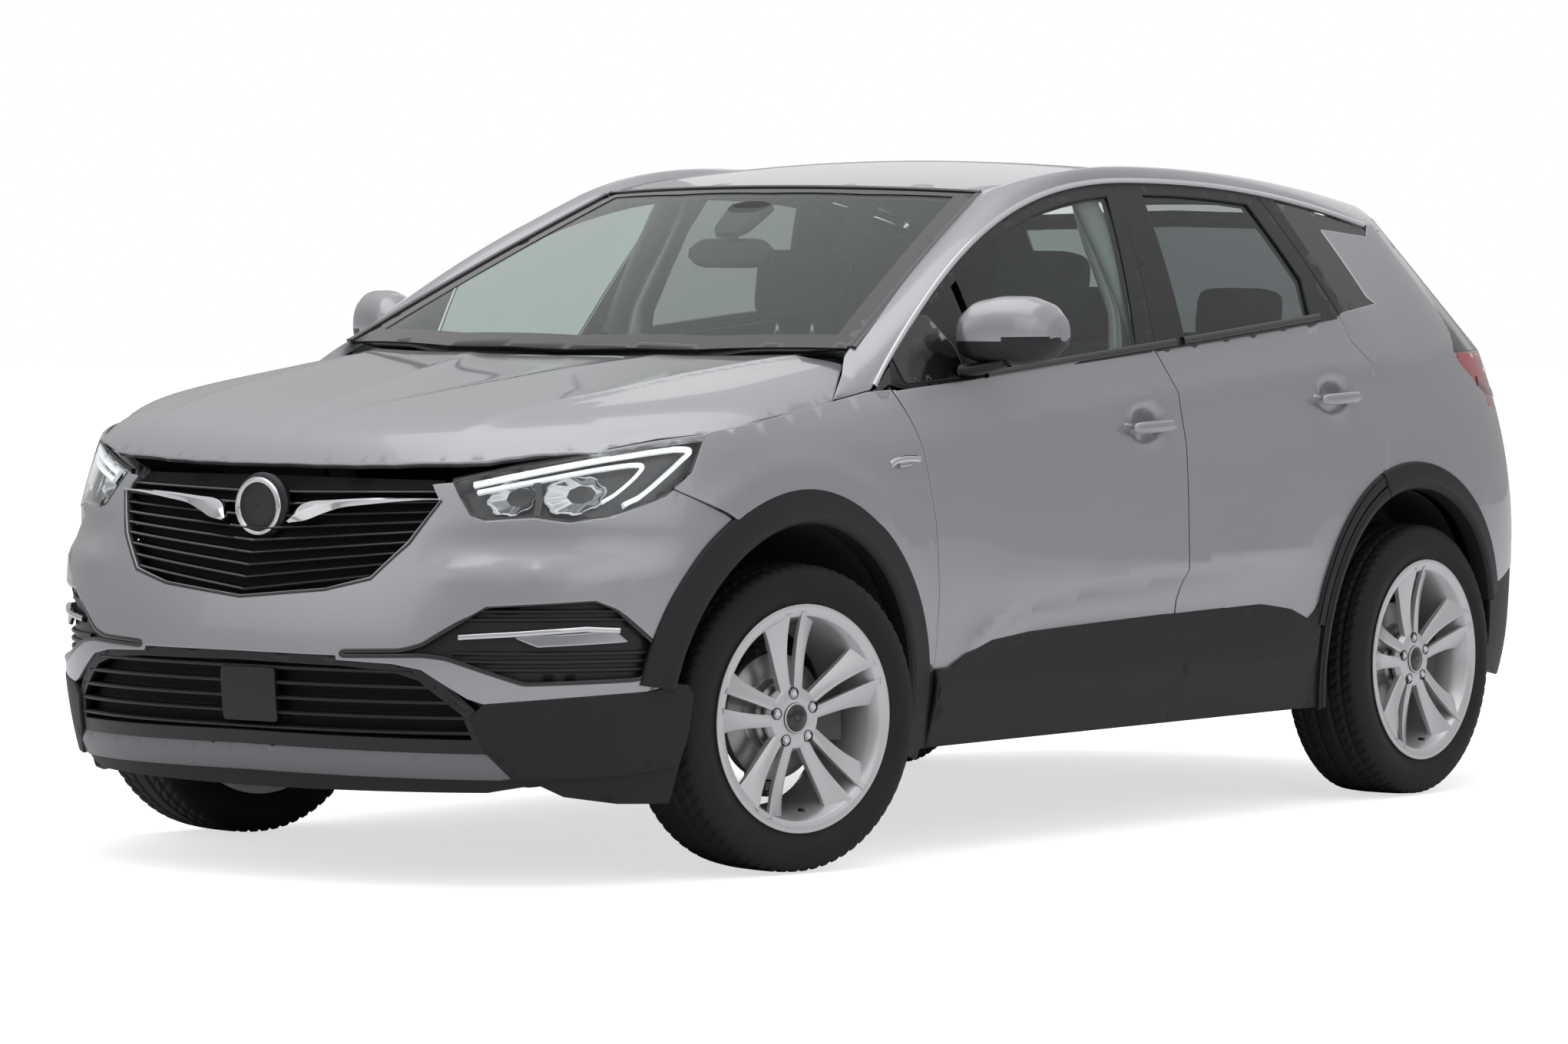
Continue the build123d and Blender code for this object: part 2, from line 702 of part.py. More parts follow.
# ---------------------------------------------------------------- roof, glass and floor
roof = slab(ROOF_FACE, (0, 0, -1), 0, 20) & prism_xy(ROOF_PLAN, 1300, 1700)
hinge_y = TAILGATE_PIVOT_Y
hinge_z = float(roof_z(0, hinge_y))
hinge_x0 = TAILGATE_HINGE_X - HINGE_WIDTH / 2
hinge_x1 = TAILGATE_HINGE_X + HINGE_WIDTH / 2
lug = block(hinge_x1 + SHUT_GAP, hinge_x1 + SHUT_GAP + HINGE_WIDTH, hinge_y - 22, hinge_y + 5, hinge_z - 22, hinge_z + 7)
lug += cylinder_x(hinge_y, hinge_z, TAILGATE_PIN_R, hinge_x0, hinge_x1 + SHUT_GAP + 4)
notch = block(hinge_x0 - SHUT_GAP, hinge_x1 + SHUT_GAP - 1, hinge_y - 14, hinge_y + 30, hinge_z - 80, hinge_z + 80)
roof = roof - notch - mirror_x(notch) + lug + mirror_x(lug)
save(roof, "roof")

screen = slab(SCREEN_FACE, (0, 0, -1), 3, 3 + GLASS) & prism_xy(SCREEN_PLAN, 1000, 1700)
save(screen, "windscreen")

quarter_pane = slab(CABIN_FACE, IN, 3, 3 + GLASS) & prism_yz(grow(QUARTER_GLASS, -SEAM))
save(both(quarter_pane), "quarter_glass")

# The scuttle closes the gap between the bonnet's rear edge and the windscreen's foot.
scuttle_front = [(0, -1073), (372, -1044), (668, -973)]
scuttle_plan = mirror_points([(0, -940), (372, -930), (668, -890), *reversed(scuttle_front)])
scuttle = slab(SCREEN_FACE, (0, 0, -1), 10, 14) & prism_xy(scuttle_plan, 1000, 1300)
scuttle += block(-655, 655, -977, -971, BULKHEAD_TOP_Z + 0.3, 1260) - slab(SCREEN_FACE, (0, 0, -1), -200, 12)
save(scuttle, "scuttle")

floor = block(-FLOOR_X, FLOOR_X, -980, 1000, FLOOR_Z - 20, FLOOR_Z)
floor += block(-FLOOR_X, FLOOR_X, -980, -962, FLOOR_Z - 20, BULKHEAD_TOP_Z)
floor += block(-WELL_X, WELL_X, 1000, 1018, FLOOR_Z - 20, BOOT_Z)
floor += block(-WELL_X, WELL_X, 1000, BOOT_END_Y, BOOT_Z - 20, BOOT_Z)
floor += block(-640, 640, BOOT_END_Y - 18, BOOT_END_Y, BOOT_Z - 20, 680)
for x in (-415.0, 415.0):
    floor += block(x - 35, x + 35, -2090, -962, 400, 480)
floor += block(-FLOOR_X, -450, -1000, -962, 262, 480) + block(450, FLOOR_X, -1000, -962, 262, 480)
floor -= cylinder_x(FRONT_ARCH_Y, ARCH_Z, LINER_ROOM, 450, 1200)
floor -= cylinder_x(FRONT_ARCH_Y, ARCH_Z, LINER_ROOM, -1200, -450)
save(floor, "floor_pan")


def liner(centre_y, x0, depth, z0):
    """The shell over one wheel and its inner wall, kept inside the panels."""
    ring = cylinder_x(centre_y, ARCH_Z, ARCH_R + LINER_THICK + SEAM, x0, 900)
    ring -= cylinder_x(centre_y, ARCH_Z, ARCH_R + SEAM, x0 + LINER_THICK, 901)
    return ring & slab(LOWER_FACE, IN, depth, 620) & block(300, 1200, -2200, 2200, z0, 1200)


front_liner = liner(FRONT_ARCH_Y, 466, 45, 262) - block(460, 475, -1600, -1050, 150, 560)
rear_liner = liner(REAR_ARCH_Y, WELL_X + SEAM, PANEL_DEPTH + SEAM, BOOT_Z - 20)
save(Compound(children=[*both(front_liner).solids(), *both(rear_liner).solids()]), "wheel_liners")

# ---------------------------------------------------------------- front end
lamp = slab(NOSE_FACE, FRONT_DIAG, 2, 60) & prism_xz(LAMP_FRONT, -2300, -1500) & prism_yz(LAMP_SIDE)
save(both(lamp), "headlamps")

bumper = slab(NOSE_FACE, FRONT_DIAG, 0, BUMPER_DEPTH) & prism_yz(BUMPER_SIDE, -200, 1200)
bumper -= prism_xz([(-60, 885), (0, 885), (428, 882), (470, 880), (470, 1100), (-60, 1100)], -2400, -1300)
bumper -= lamp_space(SEAM)
over_lamp = [(470, 888), (470, 1100), (960, 1100), (960, 1000), (852, 986), (731, 949)]
bumper -= prism_xz(over_lamp, -2400, -1300)
for shape in (GRILLE, LOWER_GRILLE):
    bumper -= prism_xz(mirror_points(shape), -2400, -1800)
bumper -= prism_xz(FOG_POD, -2300, -1600)
bumper -= FRONT_ARCH
save(bumper + mirror_x(bumper), "front_bumper")

wing = slab(LOWER_FACE, IN, 0, SKIN) & prism_yz(WING_SIDE)
save(both(wing - FRONT_ARCH - lamp_space(SEAM)), "front_wings")


def front_insert(shape, near, far):
    """A piece that fills a symmetrical opening in the bumper."""
    outline = grow(mirror_points(shape), -SEAM)
    half = slab(NOSE_FACE, (0, 1, 0), near, far) & prism_xz(outline, -2400, -1600)
    return half + mirror_x(half)


save(front_insert(GRILLE, 4, 24), "grille")
lower_grille = front_insert(LOWER_GRILLE, 4, 24)
fog_pod = slab(NOSE_FACE, FRONT_DIAG, 3, 22) & prism_xz(grow(FOG_POD, -SEAM), -2300, -1600)
save(Compound(children=[*lower_grille.solids(), *both(fog_pod).solids()]), "lower_grille")

bonnet = slab(BONNET_FACE, (0, 0, -1), 0, 22) & prism_xy(mirror_points(BONNET_PLAN), 800, 1300)
seam_line = [(-2300, 893), (-2060, 893), (-1633, 992), (-1000, 1072), (-800, 1080), (-800, 1400), (-2300, 1400)]
bonnet = bonnet & prism_yz(seam_line, -1000, 1000)
lamp_gap = lamp_space(SHUT_GAP)
bonnet = bonnet - lamp_gap - mirror_x(lamp_gap)
for x0 in (692.0, -712.0):
    bonnet += block(x0, x0 + 20, lid_y - 38, lid_y, 1125, 1141)
    bonnet += cylinder_x(lid_y, lid_z, BONNET_BARREL_R, x0, x0 + 20)
    bonnet -= cylinder_x(lid_y, lid_z, BONNET_PIN_R + BORE_GAP, x0 - 6, x0 + 26)
save(bonnet, "bonnet")

# ---------------------------------------------------------------- rear end
TAIL_LAMP_SIDE = [(1604, 1128.5), (1621, 1104), (1779, 1015), (1786, 990), (2300, 984), (2300, 1128.5)]
TAIL_LAMP_INNER_X = 622.0
tail_lamp = slab(TAIL_FACE, REAR_DIAG, 2, 46) & prism_yz(grow(TAIL_LAMP_SIDE, -SEAM), TAIL_LAMP_INNER_X, 1200)
save(both(tail_lamp), "tail_lamps")

REAR_BUMPER_SIDE = [
    (1690, 275),
    (2400, 275),
    (2400, 984 - SEAM),
    (1786 + SEAM, 990 - SEAM),
    (1763 + SEAM, 857),
    (1724 + SEAM, 786),
    (1690, 740),
]
bumper = slab(TAIL_FACE, REAR_DIAG, 0, BUMPER_DEPTH) & prism_yz(REAR_BUMPER_SIDE, -200, 1200)
bumper -= prism_xz([(-250, 692), *HATCH[:4], (614, 1200), (-250, 1200)], 1700, 2400)
bumper -= REAR_ARCH
save(bumper + mirror_x(bumper), "rear_bumper")

HATCH_SHAPE = grow(mirror_points(HATCH[:-1]), -SHUT_GAP)
HATCH_WINDOW = [(0, 1165), (560, 1172), (600, 1190), (540, 1330), (490, 1462), (0, 1472)]
hatch_lower = slab(HATCH_FACE, (0, -1, 0), 0, 60) & prism_xz(HATCH_SHAPE, 1700, 2400)
hatch_upper = slab(REAR_SCREEN_FACE, (0, -1, 0), 0, 45) & prism_xz(HATCH_SHAPE, 1300, 2400)
hatch_upper -= slab(ROOF_FACE, (0, 0, -1), -200, 6)
hatch_upper -= block(-700, 700, 1300, 1448, 1200, 1700)
hatch = hatch_lower + (hatch_upper - prism_xz(mirror_points(HATCH_WINDOW), 1300, 2400))
spoiler_side = [(554, 1444), (554, 1500), (520, 1560), (330, 1590)]
spoiler_plan = [*spoiler_side, *[(-x, y) for x, y in reversed(spoiler_side)]]
hatch += slab(ROOF_FACE, (0, 0, -1), 0, 24) & prism_xy(spoiler_plan, 1300, 1700)
lug_room = block(
    hinge_x0 - SHUT_GAP,
    hinge_x1 + HINGE_WIDTH + 2 * SHUT_GAP,
    hinge_y - 40,
    hinge_y + 14,
    hinge_z - 80,
    hinge_z + 80,
)
arm = block(hinge_x0, hinge_x1, hinge_y - 5, hinge_y + 38, hinge_z - 18, hinge_z - 3)
arm += cylinder_x(hinge_y, hinge_z, TAILGATE_BARREL_R, hinge_x0, hinge_x1)
hatch = hatch - lug_room - mirror_x(lug_room) + arm + mirror_x(arm)
bore = cylinder_x(hinge_y, hinge_z, TAILGATE_PIN_R + BORE_GAP, hinge_x0 - 5, hinge_x1 + 5)
hatch = hatch - bore - mirror_x(bore)
save(hatch, "tailgate")
pane = slab(REAR_SCREEN_FACE, (0, -1, 0), 4, 4 + GLASS)
save(pane & prism_xz(grow(mirror_points(HATCH_WINDOW), -SEAM), 1300, 2400), "tailgate_glass")

# ---------------------------------------------------------------- wheels
def turned(profile):
    """A ring from half a section, given as (along the axle, radius), with its axle on X."""
    face = Face(Wire.make_polygon([(a, 0, r) for a, r in profile], close=True))
    return Solid.revolve(face, 360, Axis.X)


HALF_RIM = RIM_WIDTH / 2
HALF_TYRE = TYRE_WIDTH / 2
TYRE_SECTION = [
    (-HALF_RIM + 4.5, BEAD_R + 0.4),
    (-HALF_RIM + 4.5, RIM_R + 0.5),
    (-HALF_TYRE + 3, RIM_R + 4),
    (-HALF_TYRE, RIM_R + 34),
    (-HALF_TYRE + 5, TYRE_R - 24),
    (-HALF_TYRE + 17, TYRE_R - 5),
    (-HALF_TYRE + 40, TYRE_R),
]
RIM_SECTION = [
    (-HALF_RIM, BEAD_R - RIM_WALL),
    (-HALF_RIM, RIM_R),
    (-HALF_RIM + 4, RIM_R),
    (-HALF_RIM + 4, BEAD_R),
    (HALF_RIM - 4, BEAD_R),
    (HALF_RIM - 4, RIM_R),
    (HALF_RIM, RIM_R),
    (HALF_RIM, BEAD_R - RIM_WALL - 6),
    (HALF_RIM - 14, BEAD_R - RIM_WALL),
]
HUB_SECTION = [
    (HUB_FACE, STUB_R + BORE_GAP),
    (HUB_FACE, 74),
    (HUB_FACE + 32, 66),
    (HUB_FACE + 36, 40),
    (HUB_FACE + 36, 0.0),
    (STUB_END + 2, 0.0),
    (STUB_END + 2, STUB_R + BORE_GAP),
]
DISC_SECTION = [
    (DISC_INNER, 78),
    (DISC_INNER, DISC_R),
    (DISC_INNER + DISC_THICK, DISC_R),
    (DISC_INNER + DISC_THICK, 85),
    (HUB_FACE, 85),
    (HUB_FACE, STUB_R + BORE_GAP),
    (HUB_FACE - 7, STUB_R + BORE_GAP),
    (HUB_FACE - 7, 78),
]
SPOKE_PAIRS = 5
SPOKE_SPREAD = 15.0
tyre = turned([*TYRE_SECTION, *[(-a, r) for a, r in reversed(TYRE_SECTION)]])
disc = turned(DISC_SECTION)
rim = turned(RIM_SECTION) + turned(HUB_SECTION)
spoke = ruled(
    [
        [(HUB_FACE + 12, -17, 55), (HUB_FACE + 34, -14, 55), (HUB_FACE + 34, 14, 55), (HUB_FACE + 12, 17, 55)],
        [(HALF_RIM - 36, -15, 226), (HALF_RIM - 6, -12, 226), (HALF_RIM - 6, 12, 226), (HALF_RIM - 36, 15, 226)],
    ]
)
for i in range(SPOKE_PAIRS):
    for side in (-1, 1):
        rim += Rot(360.0 * i / SPOKE_PAIRS + side * SPOKE_SPREAD, 0, 0) * spoke


def steered(x, shape):
    """A left-side front piece built about the wheel's centre, turned about its kingpin."""
    placed = Pos(FRONT_TRACK_HALF * x, FRONT_AXLE_Y, TYRE_R) * shape
    kingpin = Axis((x * (FRONT_TRACK_HALF - KINGPIN_INSET), FRONT_AXLE_Y, 0), (0, 0, 1))
    return placed.rotate(kingpin, -PARKED_STEER)


for piece, name in ((tyre, "tyre"), (rim, "rim"), (disc, "brake_disc")):
    other = mirror_x(piece)
    save(steered(1, piece), f"front_{name}_left")
    save(steered(-1, other), f"front_{name}_right")
    save(Pos(REAR_TRACK_HALF, REAR_AXLE_Y, TYRE_R) * piece, f"rear_{name}_left")
    save(Pos(-REAR_TRACK_HALF, REAR_AXLE_Y, TYRE_R) * other, f"rear_{name}_right")

# ---------------------------------------------------------------- suspension
LUG_TOP = 515.0 - TYRE_R
LUG_BOTTOM = 495.0 - TYRE_R
stub = cylinder_x(0, 0, STUB_R, -50, STUB_END)


def caliper(side):
    """A brake caliper over the disc's edge, ahead of or behind the axle."""
    body = block(-48, 38, -172, -96, -58, 58)
    body -= block(DISC_INNER - 5, DISC_INNER + DISC_THICK + 5, -160, -90, -70, 70)
    body &= cylinder_x(0, 0, 205, -60, 60)
    bridge = block(-60, -40, -130, -20, -30, 30)
    return (body + bridge) if side < 0 else mirror(body + bridge, about=Plane.XZ)


upright = block(-62, -24, -52, 52, -150, 150) - block(-70, -20, -90, -30, 60, 160) - block(-70, -20, 30, 90, 60, 160)
upright -= block(-70, -20, -90, -30, -160, -60) + block(-70, -20, 30, 90, -160, -60)
knuckle = upright + stub + caliper(1)
for low, high in ((LUG_BOTTOM, LUG_TOP), (-LUG_TOP, -LUG_BOTTOM)):
    knuckle += block(-62, -KINGPIN_INSET + 16, -18, 18, low, high)
for low, high in ((LUG_BOTTOM, LUG_TOP), (-LUG_TOP, -LUG_BOTTOM)):
    knuckle -= cylinder_z(-KINGPIN_INSET, 0, BALL_R + BORE_GAP, low - 1, high + 1)
save(steered(1, knuckle), "knuckle_left")
save(steered(-1, mirror_x(knuckle)), "knuckle_right")

KINGPIN_X = FRONT_TRACK_HALF - KINGPIN_INSET
ARM_Y = FRONT_AXLE_Y
subframe = block(-360, 360, ARM_Y - 330, ARM_Y + 300, 185, 235)
subframe += block(-450, 450, ARM_Y + 120, ARM_Y + 240, 185, 235)
low_z = TYRE_R - LUG_TOP
high_z = TYRE_R + LUG_TOP
arm_low = block(440, KINGPIN_X + 14, ARM_Y - 16, ARM_Y + 16, low_z - 14, low_z - 2)
arm_low += cylinder_z(KINGPIN_X, ARM_Y, BALL_R, low_z - 14, low_z + 19)
web = [(430, -100), (520, -16), (520, 16), (430, 170), (380, 170), (380, -100)]
arm_low += prism_xy([(x, ARM_Y + y) for x, y in web], low_z - 14, low_z - 2)
for y in (-100, 130):
    arm_low += block(330, 430, ARM_Y + y, ARM_Y + y + 70, low_z - 14, 235)
arm_high = block(400, KINGPIN_X + 14, ARM_Y - 16, ARM_Y + 16, high_z + 2, high_z + 14)
arm_high += cylinder_z(KINGPIN_X, ARM_Y, BALL_R, high_z - 19, high_z + 14)
arm_high += block(385, 440, ARM_Y - 60, ARM_Y + 60, 480.5, high_z + 14)
post = block(385, 440, ARM_Y - 60, ARM_Y + 60, 235, 399.5)
front_arms = arm_low + post
subframe = subframe + front_arms + mirror_x(front_arms)
save(Compound(children=[*subframe.solids(), *both(arm_high).solids()]), "front_subframe")

axle = block(-560, 560, REAR_AXLE_Y - 210, REAR_AXLE_Y - 130, 250, 330)
spindle = Pos(REAR_TRACK_HALF, REAR_AXLE_Y, TYRE_R) * (stub + block(-165, -24, -45, 45, -60, 45) + caliper(1))
half_axle = block(500, 640, REAR_AXLE_Y - 210, REAR_AXLE_Y - 130, 250, 330)
arm = block(572, 640, REAR_AXLE_Y - 345, REAR_AXLE_Y + 60, 268, 350)
bush = block(572, 640, REAR_AXLE_Y - 345, REAR_AXLE_Y - 280, 268, BOOT_Z - 20 - SEAM)
half_axle += arm + bush + spindle
rear_axle = axle + half_axle + mirror_x(half_axle)
save(rear_axle, "rear_axle")

# ---------------------------------------------------------------- engine, exhaust and cabin
engine = block(-330, 300, -1640, -1170, 235.5, 800)
save(engine, "engine")

exhaust = Pos(-150, 590, 217) * Rot(90, 0, 0) * Cylinder(27, 2600) + block(-420, 330, 1770, 2000, 207, 345)
exhaust += block(-190, -110, 1640, 1780, 200, 300)
exhaust += block(-160, -140, 1880, 1900, 340, BOOT_Z - 20 - SEAM)
save(exhaust, "exhaust")

DASH = [(-955, 1040), (-800, 1070), (-640, 1050), (-565, 985), (-560, 900), (-640, 720), (-700, 690), (-955, 690)]
dashboard = prism_yz(DASH, -FLOOR_X + SEAM, FLOOR_X - SEAM)
dashboard += block(-110, 110, -955, 60, FLOOR_Z + SEAM, 700) - block(-200, 200, -560, 70, 560, 701)
hub_x, hub_y, hub_z = WHEEL_HUB
column_plane = Plane(origin=WHEEL_HUB, x_dir=(1, 0, 0), z_dir=(0, cos(radians(WHEEL_RAKE)), sin(radians(WHEEL_RAKE))))
PINION_R = 12.0
dashboard += column_plane * Pos(0, 0, -110) * Cylinder(38, 110)
dashboard += column_plane * Pos(0, 0, -35) * Cylinder(PINION_R, 60)
save(dashboard, "dashboard")

wheel = Torus(WHEEL_RIM_R, 15) + Cylinder(55, 36) - Pos(0, 0, -18) * Cylinder(PINION_R + BORE_GAP, 30)
for angle in (0, 180, 270):
    wheel += Rot(0, 0, angle) * Pos(112, 0, 0) * Box(130, 34, 14)
save(column_plane * Pos(0, 0, 0) * Rot(0, 0, -PARKED_STEER * 15.0) * wheel, "steering_wheel")


seat = prism_yz([(-260, 420), (-290, 560), (-240, 600), (150, 570), (230, 560), (230, 420)], SEAT_X - 250, SEAT_X + 250)
seat += prism_yz([(140, 560), (270, 540), (440, 1150), (410, 1185), (340, 1185), (290, 1140)], SEAT_X - 245, SEAT_X + 245)
seat += prism_yz([(335, 1195), (430, 1195), (455, 1380), (400, 1400), (350, 1380)], SEAT_X - 135, SEAT_X + 135)
seat += block(SEAT_X - 60, SEAT_X - 50, 375, 387, 1170, 1210) + block(SEAT_X + 50, SEAT_X + 60, 375, 387, 1170, 1210)
for x in (SEAT_X - 215, SEAT_X + 215):
    seat += block(x - 20, x + 20, -240, 220, FLOOR_Z + 0.3, 425)
save(both(seat), "front_seats")

BENCH = [(620, FLOOR_Z + 0.3), (600, 560), (640, 600), (1080, 575), (1080, BOOT_Z + 0.3)]
bench = prism_yz([*BENCH, (999, BOOT_Z + 0.3), (999, FLOOR_Z + 0.3)], -640, 640)
bench += prism_yz([(1060, 560), (1180, 540), (1310, 1130), (1290, 1160), (1230, 1160), (1190, 1120)], -640, 640)
bench += block(-640, 640, 1080, 1180, BOOT_Z + 0.3, 560)
for x in (-400, 0, 400):
    bench += prism_yz([(1215, 1150), (1300, 1150), (1315, 1290), (1285, 1310), (1240, 1300)], x - 125, x + 125)
save(bench, "rear_seat")
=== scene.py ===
"""Looks of a compact crossover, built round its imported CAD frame.

Lengths are millimetres in the part's own frame (the car faces -Y, its left side is +X, +Z is up) and
become metres when a mesh is made. Body panels are trimmed patches of the same surface formulas as the CAD.
"""

import sys
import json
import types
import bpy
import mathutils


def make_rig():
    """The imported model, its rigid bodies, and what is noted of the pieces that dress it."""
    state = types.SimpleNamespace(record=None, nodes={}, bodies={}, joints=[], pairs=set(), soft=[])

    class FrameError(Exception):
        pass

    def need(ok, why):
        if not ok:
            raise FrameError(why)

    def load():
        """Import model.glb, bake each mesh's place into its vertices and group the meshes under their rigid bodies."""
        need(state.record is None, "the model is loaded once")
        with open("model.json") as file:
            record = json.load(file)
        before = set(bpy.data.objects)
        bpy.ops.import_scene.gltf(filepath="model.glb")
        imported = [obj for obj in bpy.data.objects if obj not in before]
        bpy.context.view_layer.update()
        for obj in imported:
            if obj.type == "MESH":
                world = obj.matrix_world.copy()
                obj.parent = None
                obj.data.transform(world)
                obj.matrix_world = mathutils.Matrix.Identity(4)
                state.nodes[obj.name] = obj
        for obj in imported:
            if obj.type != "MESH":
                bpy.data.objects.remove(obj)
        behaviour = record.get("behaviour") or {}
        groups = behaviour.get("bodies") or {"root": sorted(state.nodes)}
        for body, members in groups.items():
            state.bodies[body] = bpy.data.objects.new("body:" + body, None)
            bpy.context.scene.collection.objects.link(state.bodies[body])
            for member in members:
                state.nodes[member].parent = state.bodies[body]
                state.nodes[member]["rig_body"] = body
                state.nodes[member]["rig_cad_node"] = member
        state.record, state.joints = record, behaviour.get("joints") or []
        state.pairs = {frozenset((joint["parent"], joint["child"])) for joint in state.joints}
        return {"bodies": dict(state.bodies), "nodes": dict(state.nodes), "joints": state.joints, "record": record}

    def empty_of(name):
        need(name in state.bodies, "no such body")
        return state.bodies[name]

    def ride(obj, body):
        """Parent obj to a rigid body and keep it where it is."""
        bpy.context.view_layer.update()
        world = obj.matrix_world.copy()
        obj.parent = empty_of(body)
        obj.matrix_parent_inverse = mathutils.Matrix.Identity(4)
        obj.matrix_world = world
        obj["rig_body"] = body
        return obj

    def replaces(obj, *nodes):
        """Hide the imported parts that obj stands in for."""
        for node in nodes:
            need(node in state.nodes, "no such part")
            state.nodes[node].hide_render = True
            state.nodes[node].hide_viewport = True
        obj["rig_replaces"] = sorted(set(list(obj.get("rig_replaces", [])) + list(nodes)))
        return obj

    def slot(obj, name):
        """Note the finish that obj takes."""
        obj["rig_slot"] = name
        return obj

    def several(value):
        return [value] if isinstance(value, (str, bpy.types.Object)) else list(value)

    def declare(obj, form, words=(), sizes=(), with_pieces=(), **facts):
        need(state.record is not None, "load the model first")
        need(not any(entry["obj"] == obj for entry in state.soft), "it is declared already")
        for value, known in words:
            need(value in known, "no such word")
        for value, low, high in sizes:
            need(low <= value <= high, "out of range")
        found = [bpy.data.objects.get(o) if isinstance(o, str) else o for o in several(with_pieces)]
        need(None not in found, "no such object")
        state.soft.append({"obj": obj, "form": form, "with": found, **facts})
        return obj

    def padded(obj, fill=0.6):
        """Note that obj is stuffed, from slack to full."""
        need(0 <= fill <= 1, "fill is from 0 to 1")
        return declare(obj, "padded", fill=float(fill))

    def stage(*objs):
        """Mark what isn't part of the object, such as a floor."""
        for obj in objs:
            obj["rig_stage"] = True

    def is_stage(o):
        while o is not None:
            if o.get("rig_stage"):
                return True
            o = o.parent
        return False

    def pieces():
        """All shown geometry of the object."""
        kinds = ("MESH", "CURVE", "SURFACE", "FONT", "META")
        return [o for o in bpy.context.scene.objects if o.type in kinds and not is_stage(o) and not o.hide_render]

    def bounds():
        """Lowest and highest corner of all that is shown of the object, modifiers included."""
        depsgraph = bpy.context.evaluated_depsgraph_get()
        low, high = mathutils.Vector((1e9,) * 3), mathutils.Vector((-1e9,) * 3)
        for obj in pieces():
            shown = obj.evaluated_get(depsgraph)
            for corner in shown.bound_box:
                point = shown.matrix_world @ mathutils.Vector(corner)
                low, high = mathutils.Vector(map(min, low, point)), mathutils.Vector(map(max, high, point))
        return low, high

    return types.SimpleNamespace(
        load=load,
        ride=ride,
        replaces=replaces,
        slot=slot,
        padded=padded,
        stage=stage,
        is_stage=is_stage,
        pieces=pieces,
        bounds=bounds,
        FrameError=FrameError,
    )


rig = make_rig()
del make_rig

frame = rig.load()

import json
import logging
from collections.abc import Callable, Iterable, Sequence
from dataclasses import dataclass
from enum import Enum
from functools import cache

import bpy
import numpy as np
from mathutils import Matrix, Vector
from mathutils.geometry import delaunay_2d_cdt

LOG = logging.getLogger("crossover")
CAD_BOX = [list(corner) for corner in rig.bounds()]
MM = 0.001
Array = np.ndarray
Points = Sequence[tuple[float, float]]
Lift = Callable[[Array, Array], Array]

# ------------------------------------------------------------------ body surface formulas
LENGTH = 4477.0
HALF_WIDTH = 912.0
ROOF_Z = 1618.0
NOSE_Y, TAIL_Y = -LENGTH / 2, LENGTH / 2
FRONT_AXLE_Y = NOSE_Y + 928.5
REAR_AXLE_Y = FRONT_AXLE_Y + 2675.0
FRONT_TURN_Y, REAR_TURN_Y = -1350.0, 1300.0
FRONT_ROUND, REAR_ROUND = 2.57, 3.4
TYRE_R = 348.0
FRONT_TRACK, REAR_TRACK = 797.0, 800.0
PARKED_STEER = np.radians(12.8)
KINGPIN_INSET = 20.0


def past(value: Array, start: float) -> Array:
    """How far a value is beyond a start, or 0."""
    return np.clip(np.asarray(value, float) - start, 0.0, None)


def belt_z(y: Array) -> Array:
    """Height of the bottom of the side glass: a straight rising line."""
    return 1081.0 + 0.0812 * (y + 830.0)


def rail_z(y: Array) -> Array:
    """Height of the top of the side glass: 1562 less a power of the distance ahead of or behind y 350."""
    ahead, behind = past(350.0 - y, 0) / 1333.0, past(y - 350.0, 0) / 988.0
    return 1562.0 - 494.0 * ahead**2.1 - 101.0 * behind**2.2


def cut_z(y: Array) -> Array:
    """Height of the seam between bonnet and wing: a straight rising line."""
    return 989.0 + 0.126 * (y + 1633.0)


def nose_line(z: Array) -> Array:
    """The body's foremost point at a height: upright at z 480, leaning back above and below."""
    above, below = past(z, 480.0) / 420.0, past(480.0 - np.asarray(z), 0) / 250.0
    return NOSE_Y + 128.0 * above**1.7 + 45.0 * below**2


def tail_line(z: Array) -> Array:
    """The body's rearmost point at a height: bulged to z 640, then the raked rear glass.

    Args:
        z: Heights.

    Returns:
        Y at the middle of the tail.
    """
    lower = 143.0 * (np.clip(z - 640.0, 0, 490.0) / 490.0) ** 1.8
    above = past(z, 1130.0)
    under = past(430.0 - np.asarray(z), 0) / 200.0
    return TAIL_Y - lower - 1.6 * above + 0.0005 * above**2 - 60.0 * under**2


def widest_x(y: Array, z: Array) -> Array:
    """Half width before the ends turn in: a parabola in z, a shoulder by the bonnet, a scoop in the doors.

    Args:
        y: Places along the car.
        z: Heights.

    Returns:
        X of the side.
    """
    over = (z - 680.0) / 420.0
    bulge = np.where(over > 0, 45.0, 30.0) * over**2
    shoulder = 20.0 * np.clip((-700.0 - y) / 300.0, 0, 1) * (past(z, 930.0) / 100.0) ** 2
    scoop = 24.0 * np.exp(-(((y - 10.0) / 620.0) ** 4)) * np.exp(-(((z - 530.0) / 70.0) ** 2))
    return HALF_WIDTH - bulge - shoulder - scoop


def turn_in(share: Array, squareness: float) -> Array:
    """Superellipse: (1 - share^n)^(1/n)."""
    return (1.0 - np.clip(share, 0, 0.9999) ** squareness) ** (1.0 / squareness)


def tail_width(z: Array) -> Array:
    """Half width that the rear end's plan starts from.

    Args:
        z: Heights.

    Returns:
        Half widths.
    """
    over = z - 1130.0
    low = widest_x(REAR_TURN_Y, np.minimum(z, 1130.0))
    return np.where(over < 0, low, 863.0 - 0.3 * over - 0.00038 * over**2)


